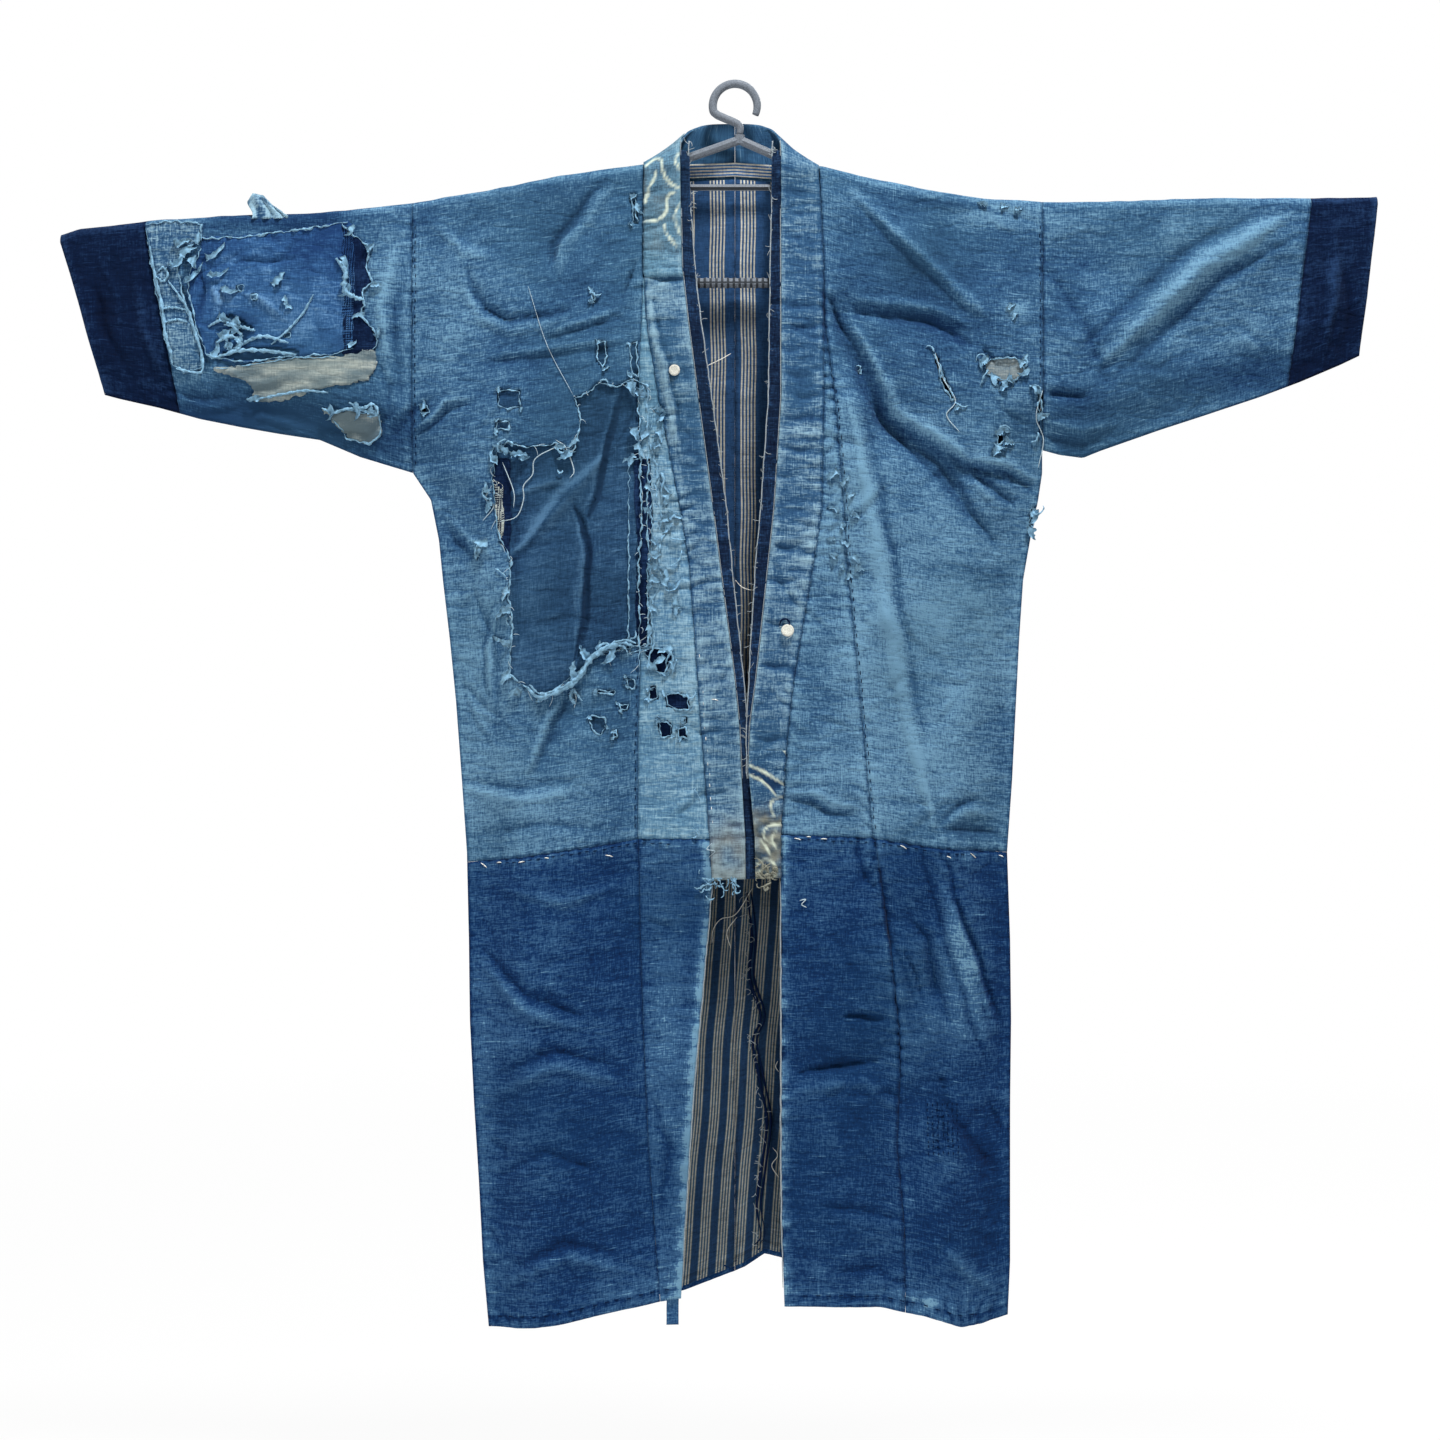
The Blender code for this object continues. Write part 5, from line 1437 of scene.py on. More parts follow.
def gore_upper(side, word, holes, sizes):
    """Gore above the waist, from its narrow tip beside the collar."""
    heights = upper_fractions(side)
    top = heights[SIDE_ROWS + ARM_ROWS - OKUMI_TIP[side]]

    def outer(z, rows):
        return collar_x(z, side) + side * (GAP + gore_width(z, side))

    def inner(z, rows):
        return collar_x(z, side) + side * GAP

    cell = sizes.tear_cell / MM
    x, z = panel(
        outer, inner, stations(0, 1, cell / GORE_WIDE), stations(0, top, cell / UPPER_RUN),
        upper_z)
    x, z, stay = tear_out(x, z, holes, 0.8, 41 + side)
    grid, tone = surface(x, z, False, sizes)
    pale = side < 0
    made = cloth(
        "gore_upper_" + word, grid, tone, sizes.outer,
        finish("worn gore" if pale else "worn denim"),
        "pale_blue" if pale else "worn_denim_blue", stay)
    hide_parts("okumi_upper_" + word)
    return made


def lower_panels(side, word, sizes):
    """Front, gore and back below the waist."""
    first = 1 if side < 0 else 3

    def seam(z, rows):
        return read(LOWER, z, first) + side * GAP / 2

    def gore_seam(z, rows):
        return read(LOWER, z, first) - side * GAP / 2

    def edge(z, rows):
        return read(LOWER, z, first + 1)

    def side_edge(z, rows):
        return side_x(z, side)

    def height(x, rows, back=False):
        return lower_z(x, rows, back) - np.where(rows == 0, GAP, 0)

    def height_back(x, rows):
        return height(x, rows, True)

    cell = sizes.front_cell / MM
    rows = stations(0, 1, cell / LOWER_RUN)
    made = {}
    for name, a, b, wide in (
            ("front_lower_", side_edge, seam, 160), ("gore_lower_", gore_seam, edge, 80)):
        x, z = panel(a, b, stations(0, 1, cell / wide), rows, height)
        grid, tone = surface(x, z, False, sizes)
        pale = 0.09 if side < 0 and name == "gore_lower_" else 0
        if name == "gore_lower_":
            # rub: pale rubbed band along the front edge; the beat term adds painted highlight on
            # the puckers that beat also raises below
            rub = bell((x - edge(z, 0)) / 7.0)
            beat = uneven(0.15 * x, z, 5.0, 62 + side)
            tone = tone + rub * ((0.46 if side < 0 else 0.30) + 0.36 * beat)
            grid[..., 1] -= 0.9 * beat * bell((x - edge(z, 0)) / 13.0)
        piece = cloth(
            name + word, grid, tone + pale, sizes.outer, finish("deep indigo"), "deep_indigo")
        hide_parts(name.replace("gore", "okumi") + word)
        made[name] = piece
    cell = sizes.back_cell / MM
    grid, tone = surface(*back_panel(
        side, side_edge, stations(0, 1, cell / BACK_WIDE),
        stations(0, 1, cell / NECK_HALF)[1:], stations(0, 1, cell / LOWER_RUN),
        height_back), True, sizes)
    piece = cloth(
        "back_lower_" + word, grid, tone, sizes.outer, finish("deep indigo"), "deep_indigo")
    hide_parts("back_lower_" + word)
    made["back_lower_"] = piece
    return made


def spline(points, count):
    """Smooth curve through points along the first axis, with count steps between two.

    Each step mixes four neighbouring points by the Catmull-Rom weights.
    """
    points = np.asarray(points, float)
    ends = (2 * points[:1] - points[1:2], points, 2 * points[-1:] - points[-2:-1])
    padded = np.concatenate(ends)
    t = (np.arange(count) / count).reshape((1, count) + (1,) * (points.ndim - 1))
    p0, p1, p2, p3 = (padded[k:len(points) - 1 + k][:, None] for k in range(4))
    curve = 0.5 * (2 * p1 + (p2 - p0) * t + (2 * p0 - 5 * p1 + 4 * p2 - p3) * t ** 2
                   + (3 * p1 - p0 - 3 * p2 + p3) * t ** 3)
    curve = curve.reshape((-1,) + points.shape[1:])
    return np.concatenate((curve, points[-1:]))


RING_STEPS = 5


def collar_grid(side, sizes):
    """Collar band up the front and round the standing neck, its tone, its rows below the waist."""
    heights = upper_fractions(side)
    cell = sizes.tear_cell / MM
    mix = stations(0, 1, cell / COLLAR_WIDE)

    def seam(z, rows):
        return collar_x(z, side)

    def fold(z, rows):
        return collar_x(z, side, True)

    x0, z0 = panel(seam, fold, mix, stations(0.09, 0, cell / LOWER_RUN)[:-1], lower_z)
    rows = stations(0, 1, cell / COLLAR_RUN)
    x1, z1 = panel(seam, fold, mix, rows, upper_z)
    front, tone = surface(np.concatenate((x0, x1)), np.concatenate((z0, z1)), False, sizes)
    bars = uneven(0.22 * front[..., 0], front[..., 2], 4.2, 73)
    bars = bars * (0.5 + 0.5 * uneven(front[..., 0], front[..., 2], 30, 74))
    front[..., 1] -= 0.9 * bars
    # the bars' tone follows their height: painted highlight where they stand out, painted shade
    # where they sink
    tone = tone + 0.19 * bars + (0.05 if side < 0 else -0.01)
    angle = np.array((0.25, 0.5, 0.75))[:, None] * math.pi
    folds, _ = fold_point(fold_edge(side, angle), angle)
    across = side * np.array([NECK_HALF * k / 4 for k in (4, 3, 2, 1)] + [GAP / 2])
    behind, _ = surface(across, tangent_z(across), True, sizes)
    corner, _ = surface(
        np.array([collar_x(NECK_Z, side)]), np.array([tangent_z(NECK_X)]), False, sizes)
    low = np.concatenate((corner, folds[:, 0], behind))
    tip = np.array(NECK_EDGE)
    lean = np.where(tip[:, 0] > 1, 1.0 if side < 0 else 0.84, 1.0)
    tip = np.stack((side * tip[:, 0] * lean, tip[:, 1], tip[:, 2]), axis=-1)
    away = (tip - low) / np.linalg.norm(tip - low, axis=1, keepdims=True)
    low = low + away * NECK_GAP
    ring = low[:, None] * (1 - mix[None, :, None]) + tip[:, None] * mix[None, :, None]
    change = ring[0] - front[-1]
    # the upper end of the front is moved to meet the ring
    share = np.clip((rows - heights[9]) / (1 - heights[9]), 0, 1) ** 2
    front[len(x0):] += change[None] * share[:, None, None]
    ahead = 2 * ring[-1] - ring[-2]
    ahead[:, 1] = ring[-2][:, 1]
    ahead[:, 2] = ring[-2][:, 2]
    before = front[-8]
    fine = spline(np.concatenate((before[None], ring, ahead[None])), RING_STEPS)
    fine = fine[RING_STEPS:-RING_STEPS]
    lump = 0.6 * uneven(fine[..., 0] + fine[..., 1], fine[..., 2], 13, 71)
    fine[..., 1] += lump * np.sin(math.pi * mix)[None]
    grid = np.concatenate((front, fine[1:]))
    ring_tone = 0.04 + 0.1 * uneven(fine[1:, :, 0], fine[1:, :, 2], 18, 72)
    tone = np.concatenate((tone, ring_tone))
    tone = tone + 0.20 * bell((1 - mix) / 0.10)[None]
    return grid, tone, len(x0)


def scroll_amount(x, z, scrolls):
    """1 on the scrolls, 0 off them: nearness to smooth curves through their points."""
    best = np.full(x.shape, 1e9)
    for line in scrolls:
        gap, along = line_gap(x, z, spline(line, 5))
        best = np.minimum(best, gap + 0.5 * np.abs(2 * along - 1) ** 4)
    wide = 1.1 + 0.3 * uneven(x, z, 9, 81)
    return np.clip(1.6 - best / wide, 0, 1)


# resisted scrolls on the two collar patches: x and z along each
SCROLLS_NECK = (
    ((-89, -80), (-80, -73), (-74, -74), (-72, -84), (-69, -92), (-62, -99), (-53, -103)),
    ((-79, -86), (-81, -94), (-86, -102), (-88, -111), (-90, -119)),
    ((-51, -66), (-57, -69), (-59, -75), (-57, -81), (-54, -85)),
    ((-60, -107), (-66, -109), (-68, -117), (-69, -126), (-74, -132), (-82, -135), (-91, -135)),
    ((-54, -117), (-59, -125), (-60, -133), (-57, -142), (-54, -149)),
    ((-71, -138), (-69, -146), (-64, -154), (-59, -160)),
)
SCROLLS_WAIST = (
    ((17, -627), (30, -625), (42, -628), (53, -631)),
    ((22, -634), (32, -634), (42, -638), (52, -644)),
    ((51, -649), (47, -656), (50, -665)),
    ((14, -677), (26, -682), (38, -689), (48, -696)),
    ((15, -687), (26, -692), (34, -699), (40, -706)),
    ((47, -708), (38, -711), (35, -718), (38, -726)),
    ((46, -735), (36, -736), (29, -741), (29, -749), (35, -754)),
    ((24, -750), (30, -757), (35, -766)),
    ((40, -742), (36, -750), (40, -758)),
    ((22, -775), (30, -770), (38, -774), (40, -784), (34, -790)),
    ((22, -786), (27, -780), (33, -781)),
)
# darker leaves between some of the scrolls
LEAVES = (
    ((17, -628), (30, -626), (52, -631), (52, -643), (42, -637), (30, -633)),
    ((14, -678), (26, -683), (48, -696), (40, -705), (28, -693), (15, -686)),
)


def collar_side(side, word, sizes):
    """Collar band, the printed patch sewn on it and the facing inside its fold."""
    heights = upper_fractions(side)
    grid, tone, low_rows = collar_grid(side, sizes)
    pale = "pale_blue" if side > 0 else "worn_denim_blue"
    foot = bell((grid[..., 2] - BAND_END_Z) / 30)
    # ring marks the band's part round the back of the neck, darkened below as painted shade
    ring = smooth((grid[..., 1] + 4) / 10)
    soil = smooth((-716 - grid[..., 2]) / 40)
    soil = soil * (0.44 + 0.30 * uneven(grid[..., 0], grid[..., 2], 11, 86))
    band = cloth(
        "collar_" + word, grid, tone - 0.03 + 0.26 * foot - 0.22 * ring, BAND * MM * 0.86,
        finish("faded collar"), pale, marks={"stain": soil})
    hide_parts("collar_" + word)
    rise = (BAND + THIN) / 2 + GAP
    rows = np.concatenate((
        np.full(low_rows, -0.1), stations(0, 1, sizes.tear_cell / MM / COLLAR_RUN)))
    if side < 0:
        use = np.arange(len(grid)) >= np.searchsorted(rows, heights[8])
        use &= np.arange(len(grid)) <= len(rows) + 3 * RING_STEPS
        name, patch, arcs = "collar_patch_neck", "scroll cotton", SCROLLS_NECK
    else:
        use = np.arange(len(grid)) <= np.searchsorted(rows, heights[1])
        name, patch, arcs = "collar_patch_waist", "scroll end", SCROLLS_WAIST
    part = lay_on(grid[use], rise, -1)
    scroll = scroll_amount(part[..., 0], part[..., 2], arcs)
    scroll = scroll * np.clip(0.9 + 0.5 * uneven(part[..., 0], part[..., 2], 6, 83), 0, 1)
    shade = tone[use] - 0.18
    ends = part[..., 2]
    stain = 0.14 + 0.14 * uneven(part[..., 0], ends, 14, 85)
    if side < 0:
        shade = shade + 0.04 * smooth((-158 - ends) / 22)
        stain = stain * smooth((190 + ends) / 30)
    if side > 0:
        shade = shade + 0.08
        for leaf in LEAVES:
            shade = shade - 0.45 * (edge_gap(part[..., 0], ends, leaf) < 0)
        ground = 0.70 + 0.5 * uneven(part[..., 0], ends, 9, 84)
        stain = smooth((-706 - ends) / 30) * ground
    piece = cloth(
        name, part, shade, sizes.inner, finish(patch), "scroll_print",
        marks={"scroll": scroll, "stain": stain})
    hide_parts(name)
    # facing: from the band's fold, inwards and a little back
    chosen = grid[:, -1, 2] > (-1000 if side < 0 else -700)
    chosen &= np.arange(len(grid)) <= len(rows) + RING_STEPS
    start = grid[chosen][:, -1]
    column = 1 if side < 0 else 2
    width = read(FACING, start[:, 2], column)[:, None]
    share = stations(0, 1, 0.2)[None]
    x = start[:, :1] - side * (GAP + width * share)
    y = start[:, 1:2] + width * (0.14 * share + 0.24 * share ** 2)
    z = start[:, 2:] + 0 * x
    y = y + 0.5 * uneven(x, z, 14, 91)
    shade = -0.02 + 0.12 * uneven(x, z, 22, 92) + 0.32 * bell((1 - share) / 0.09)
    facing = cloth(
        "facing_" + word, np.stack((x, y, z), axis=-1), shade, sizes.inner,
        finish("facing cotton"), "navy")
    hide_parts("facing_" + word)
    return band, piece, facing


def sleeve_grid(side, table_a, table_b, gaps, levels, mix, sizes):
    """Ring of a sleeve: front up, over the hanger and down behind, with its tone."""
    mix = mix[None, :]
    (low_a, high_a), (low_b, high_b) = table_a, table_b

    def across(level):
        start = low_a * (1 - level) + high_a * level + side * gaps[0]
        end = low_b * (1 - level) + high_b * level - side * gaps[1]
        return start * (1 - mix) + end * mix

    def half(level, back):
        x = across(level)
        return surface(x, under_z(x) + level * (tangent_z(x) - under_z(x)), back, sizes)

    parts = (
        half(levels[:, None], False), fold_point(across(1.0), fold_angles()),
        half(levels[::-1][:, None], True))
    return [np.concatenate(both) for both in zip(*parts)]


def sleeve_side(side, word, sizes):
    """Sleeve and cuff, tubes closed by the under-arm seam."""
    arm = (ARM_X[side],) * 2
    cell = sizes.front_cell / MM
    levels = stations(0, 1, cell / SLEEVE_RUN)
    grid, tone = sleeve_grid(
        side, arm, CUFF_SEAM[side], (GAP / 2, GAP / 2), levels,
        stations(0, 1, cell / SLEEVE_WIDE), sizes)
    sleeve = cloth(
        "sleeve_" + word, grid, tone, sizes.outer, finish("worn denim"), "worn_denim_blue")
    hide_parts("sleeve_" + word)
    grid, tone = sleeve_grid(
        side, CUFF_SEAM[side], CUFF_END[side], (GAP / 2, 0), levels,
        stations(0, 1, cell / CUFF_WIDE), sizes)
    edge = bell((grid[..., 0] - sleeve_x(grid[..., 2], side, CUFF_END)) / 4)
    cuff = cloth(
        "cuff_" + word, grid, tone * 0.8 + 0.22 * edge, sizes.outer,
        finish("navy cotton"), "navy")
    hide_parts("cuff_" + word)
    return sleeve, cuff


def patch_grid(outline, margin, rise, rag, seed, sizes):
    """Patch cut to an outline from a grid laid on the front, moved out by rise."""
    x, z = np.meshgrid(*(
        stations(min(p) - margin, max(p) + margin, PATCH_CELL) for p in zip(*outline)))
    x, z, stay = tear_out(x, z, (outline,), rag, seed, True)
    base, tone = surface(x, z, False, sizes)
    return lay_on(base, rise, -1), tone, stay


def sleeve_patches(sizes):
    """Patches on the front of the right sleeve, with torn edges."""
    rise = (CAD_WALL + THIN) / 2 + GAP
    table = (
        ("sleeve_patch_blue", PATCH_BLUE, "blue patch", "pale_blue", 1.0),
        ("sleeve_patch_navy", PATCH_NAVY, "navy cotton", "navy", 1.0),
        ("sleeve_patch_beige", PATCH_BEIGE, "beige cotton", "beige", 1.7),
        ("sleeve_patch_small", PATCH_SMALL, "beige cotton", "beige", 1.7),
        ("sleeve_torn_strip", SLEEVE_STRIP, "torn weft", "pale_blue", 1.0),
    )
    made = []
    for number, (name, outline, cotton_name, slot, rag) in enumerate(table):
        grid, tone, stay = patch_grid(outline, 4, rise, rag, 51 + number, sizes)
        x, z = grid[..., 0], grid[..., 2]
        if name == "sleeve_patch_blue":
            hole = ragged(x, z, PATCH_HOLES, 0.5, 61)
            mid = (hole[:-1, :-1] + hole[1:, 1:] + hole[1:, :-1] + hole[:-1, 1:]) / 4
            stay &= mid > 0
            # painted highlight in the middle of the patch, painted shade near its top and along
            # both sides; then random tone
            bright = np.exp(-((x + 420) / 46) ** 2 - ((z + 232) / 36) ** 2)
            tone = tone + 0.16 * bright - 0.12 * bell((z + 158) / 26)
            tone = tone - 0.22 * bell((x + 540) / 22)
            tone = tone - 0.16 * bell((x + 390) / 40)
            tone = tone + 0.12 * uneven(x, z, 13, 62)
        if name == "sleeve_torn_strip":
            tone = tone + 0.06
        if "beige" in cotton_name:
            tone = tone + 0.5 * uneven(0.3 * x, z, 5, 64)
        piece = cloth(name, grid, tone, sizes.inner, finish(cotton_name), slot, stay)
        if name.startswith("sleeve_patch"):
            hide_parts(name)
        made.append(piece)
    # a torn tongue that stands up at the top edge
    u, v = np.meshgrid(stations(-482, -447, 2), stations(0, 1, 0.1))
    peak = read(((-482, 12), (-476, 20), (-466, 18), (-458, 9), (-447, 1)), u)
    x = u + 2.0 * np.sin(5 * v) - 3 * v
    y = -8.6 + 2.2 * v + 1.6 * np.sin(0.5 * u + 4 * v)
    grid = np.stack((x, y, top_z(u) - 6 + (6 + peak) * v), axis=-1)
    made.append(cloth(
        "sleeve_flap", grid, 0.25 + 0.3 * uneven(x, grid[..., 2], 7, 66), sizes.inner,
        finish("torn weft"), "pale_blue"))
    return made


def chest_underlay(sizes):
    """Older cloth that shows through the tears of the right front."""
    outer, inner, _, _ = body_edges(-1)
    heights = upper_fractions(-1)
    cell = 0.9 * sizes.front_cell / MM
    across = np.concatenate((
        stations(0.06, 0.6, cell / BODY_WIDE), stations(0.607, 0.94, cell / TEAR_WIDE),
        stations(0.95, 1, cell / BODY_WIDE)))
    x, z = panel(
        outer, inner, across, stations(heights[0] + 0.03, 0.975, cell / UPPER_RUN), upper_z)
    grid, tone = surface(x, z, False, sizes)
    # the older cloth's creases are painted only: painted highlight on their ridges, painted shade
    # in their troughs
    tone = tone + 0.17 * crease_height(x, z, UNDER_CREASES) - 0.07
    older = cloth(
        "chest_underlay", lay_on(grid, UNDER_RISE, 1), tone, sizes.inner,
        finish("older cloth"), "under_blue")
    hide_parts("chest_underlay")

    def gore_outer(z, rows):
        return collar_x(z, -1) - GAP - gore_width(z, -1)

    def gore_inner(z, rows):
        return collar_x(z, -1) - GAP

    x, z = panel(
        gore_outer, gore_inner, stations(0.02, 0.98, cell / GORE_UNDER_WIDE),
        stations(0.09, 0.40, cell / UPPER_RUN), upper_z)
    grid, tone = surface(x, z, False, sizes)
    # navy darkened by 0.15: painted shade behind the gore's holes
    gore = cloth(
        "gore_underlay", lay_on(grid, UNDER_RISE, 1), tone - 0.15, sizes.inner,
        finish("navy cotton"), "under_blue")
    x, z = np.meshgrid(stations(240, 302, 4), stations(-260, -304, 4))
    grid, tone = surface(x, z, False, sizes)
    backing = cloth(
        "left_backing", lay_on(grid, UNDER_RISE, 1), tone, sizes.inner,
        finish("grey cotton"), "beige")
    return older, gore, backing


def lining_side(side, word, sizes):
    """Striped lining, laid on the inside of the back."""
    outer = body_edges(side)[0]
    cell = sizes.back_cell / MM
    mix = stations(LINING_START, 1, cell / BACK_WIDE)
    neck = stations(0, 1, cell / NECK_HALF)[1:]

    def low(x, rows):
        return lower_z(x, rows, True)

    parts = [back_panel(side, outer, mix, neck, rows, height) for rows, height in (
        (stations(1, 0, cell / UPPER_RUN), upper_z),
        (stations(0, 1, cell / LOWER_RUN)[1:], low))]
    x, z = (np.concatenate(both) for both in zip(*parts))
    base, tone = surface(x, z, True, sizes)
    grid = lay_on(base, UNDER_RISE, -1)
    # its ends stop short of the neck and the hem
    share = np.linspace(0, 1, len(grid))[:, None]
    grid[..., 2] += -9.0 * bell(share / 0.02) + 5.0 * bell((1 - share) / 0.02)
    grid[:, -1, 0] = side * GAP / 2
    lump = 0.8 * uneven(x, z, 24, 95) + 1.4 * uneven(x, z, 60, 96)
    grid[..., 1] -= np.clip(lump, 0, 2)
    # painted highlight where the lining bulges forward, painted shade in a band at the waist fold
    shade = tone + 0.05 * lump - 0.15 * bell((z + 800) / 30)
    piece = cloth(
        "lining_" + word, grid, shade, sizes.inner, finish("striped lining"), "stripe")
    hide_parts("lining_" + word)
    return piece


def neck_strip(sizes):
    """Lined strip across the inside of the neck."""
    x = stations(-50, 46, 2.5)
    base, _ = surface(x, tangent_z(x), True, sizes)
    rise = stations(8, -6, 1.4)[:, None]
    back = read(((-6, -0.6), (0, 0), (8, 0.6)), rise)
    y = base[None, :, 1] - BAND / 2 - 0.9 - THIN / 2 + back
    y = y - np.clip(0.5 * uneven(x[None] + 0 * rise, rise, 9, 97), 0, 1)
    z = base[None, :, 2] + rise
    grid = np.stack((x[None] + 0 * z, y, z), axis=-1)
    piece = cloth(
        "neck_strip", grid, 0 * z, sizes.inner, finish("lined strip"), "stripe")
    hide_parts("neck_strip")
    return piece


def hem_tab(sizes):
    """Torn end of a facing that hangs from behind the right gore's hem."""
    x, z = np.meshgrid(stations(-68, -56, 1.5), stations(-1186, -1232, 2.0))
    base, tone = surface(x, z, False, sizes)
    grid = lay_on(base, (CAD_WALL + THIN) / 2 + GAP, 1)
    grid[..., 1] += 0.8 * np.sin((z + 1186) / 7)
    piece = cloth("hem_tab", grid, tone + 0.10, sizes.inner, finish("deep indigo"), "pale_blue")
    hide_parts("hem_tab")
    return piece


# ---- threads, frays and stitches -----------------------------------------------------
def tube_part(paths, radius, sides=5, taper=0.35, rough=0.0):
    """Points and faces of round threads along paths of equal length.

    Round each point of a path stands a ring: two directions square to the path,
    mixed by the cosine and sine of an angle and scaled by the radius. The radius
    falls towards both ends, and a flat face closes each end. Roughness moves
    every point of a ring in or out by a random share, for crumpled cloth.
    """
    paths = np.asarray(paths, float)
    count, steps = paths.shape[:2]
    ahead = np.gradient(paths, axis=1)
    ahead /= np.maximum(np.linalg.norm(ahead, axis=-1, keepdims=True), 1e-9)
    other = np.where(np.abs(ahead[..., 1:2]) > 0.9, (1.0, 0.0, 0.0), (0.0, 1.0, 0.0))
    first = np.cross(ahead, other)
    first /= np.linalg.norm(first, axis=-1, keepdims=True)
    second = np.cross(ahead, first)
    radius = np.asarray(radius, float)
    if radius.ndim < 2:
        radius = np.broadcast_to(radius.reshape(-1, 1), (count, 1))
    share = np.linspace(-1, 1, steps)
    size = radius * (1 - (1 - taper) * np.abs(share) ** 5)[None]
    angle = np.arange(sides) / sides * 2 * math.pi
    ring = first[:, :, None] * np.cos(angle)[None, None, :, None]
    ring = ring + second[:, :, None] * np.sin(angle)[None, None, :, None]
    shake = np.random.default_rng(steps).uniform(-rough, rough, (count, steps, sides))
    points = paths[:, :, None] + ring * (size[:, :, None] * (1 + shake))[..., None]
    index = np.arange(count * steps * sides).reshape(count, steps, sides)
    after = np.roll(index, -1, axis=2)
    walls = np.stack((index[:, :-1], index[:, 1:], after[:, 1:], after[:, :-1]), axis=-1)
    faces = walls.reshape(-1, 4).tolist()
    return points.reshape(-1, 3), faces + index[:, 0].tolist() + index[:, -1, ::-1].tolist()


def join_parts(name, parts, material, slot):
    """One mesh from several parts of points and faces."""
    faces = []
    start = 0
    for points, part in parts:
        faces += [[start + v for v in face] for face in part]
        start += len(points)
    return add_mesh(name, np.concatenate([p for p, _ in parts]), faces, material, slot)


def tubes(name, paths, radius, material, slot, sides=5, taper=0.35):
    """Round threads along paths of equal length, all in one mesh."""
    return join_parts(name, [tube_part(paths, radius, sides, taper)], material, slot)


def resample(points, count):
    """Points evenly spaced by length along a path."""
    points = np.asarray(points, float)
    step = np.linalg.norm(np.diff(points, axis=0), axis=1)
    run = np.concatenate(([0], np.cumsum(step)))
    where = np.linspace(0, run[-1], count)
    return np.stack([np.interp(where, run, points[:, k]) for k in range(points.shape[1])], axis=-1)


def path_length(path):
    """Length along the points of a path."""
    return np.linalg.norm(np.diff(path, axis=0), axis=1).sum()


def ring_of(outline, closed):
    """An outline as an array of points; a closed one ends where it starts."""
    return np.array(list(outline) + ([outline[0]] if closed else []), float)


def eased(line, count):
    """A smooth line of evenly spaced points through a few of x and z."""
    return resample(spline(line, 8), count)


def front_lines(lines, count, rise, sizes):
    """Paths of equal count laid on the front along lines of x and z, standing off by rise."""
    paths = on_cloth(np.array([eased(line, count) for line in lines]), sizes)
    paths[..., 1] -= CAD_WALL / 2 + rise
    return paths


def frays(outline, spacing, reach, seed, rise, sizes, closed=True):
    """Curling threads that stand out of a torn edge.

    Each starts on the edge, leaves it at a random angle, bends steadily and
    lifts off the cloth in the middle of its length.
    """
    rng = np.random.default_rng(seed)
    ring = ring_of(outline, closed)
    count = max(3, int(path_length(ring) / spacing))
    start = resample(ring, count + 1)[:-1]
    start = start + rng.normal(0, 0.8, start.shape)
    steps = 8
    heading = rng.uniform(0, 2 * math.pi, count)
    bend = rng.normal(0, 0.42, count)
    stretch = reach * rng.uniform(0.35, 1.25, count) / (steps - 1)
    turn = heading[:, None] + bend[:, None] * np.arange(steps)[None]
    move = np.stack((np.cos(turn), np.sin(turn)), axis=-1) * stretch[:, None, None]
    move[..., 1] -= 0.12 * stretch[:, None] * np.arange(steps)[None]
    paths = on_cloth(start[:, None] + np.cumsum(move, axis=1) - move[:, :1], sizes)
    arch = np.sin(np.linspace(0.1, 0.95, steps) * math.pi) * rng.uniform(0.3, 1.0, count)[:, None]
    paths[..., 1] -= CAD_WALL / 2 + rise + arch * reach * 0.22
    return paths


def lip(outline, seed, thick, rise, sizes, closed=True):
    """Rolled edge of torn cloth: a tube along the edge whose radius and place wander."""
    ring = ring_of(outline, closed)
    flat = resample(ring, max(6, int(path_length(ring) / 2.0)))
    x, z = flat[:, 0], flat[:, 1]
    out = np.gradient(flat, axis=0)
    out = np.stack((out[:, 1], -out[:, 0]), axis=-1)
    out /= np.maximum(np.linalg.norm(out, axis=1, keepdims=True), 1e-9)
    swing = 0.6 + 1.3 * uneven(x, z, 6, seed) + 0.8 * uneven(x, z, 2.7, seed + 1)
    base = on_cloth(flat + out * swing[:, None], sizes)
    size = thick * np.clip(0.75 + 0.8 * uneven(x, z, 5, seed + 2), 0.15, 1.6)
    base[:, 1] -= CAD_WALL / 2 + rise + 0.5 * size
    return tube_part(base[None], size[None], 6, 0.3, 0.5)


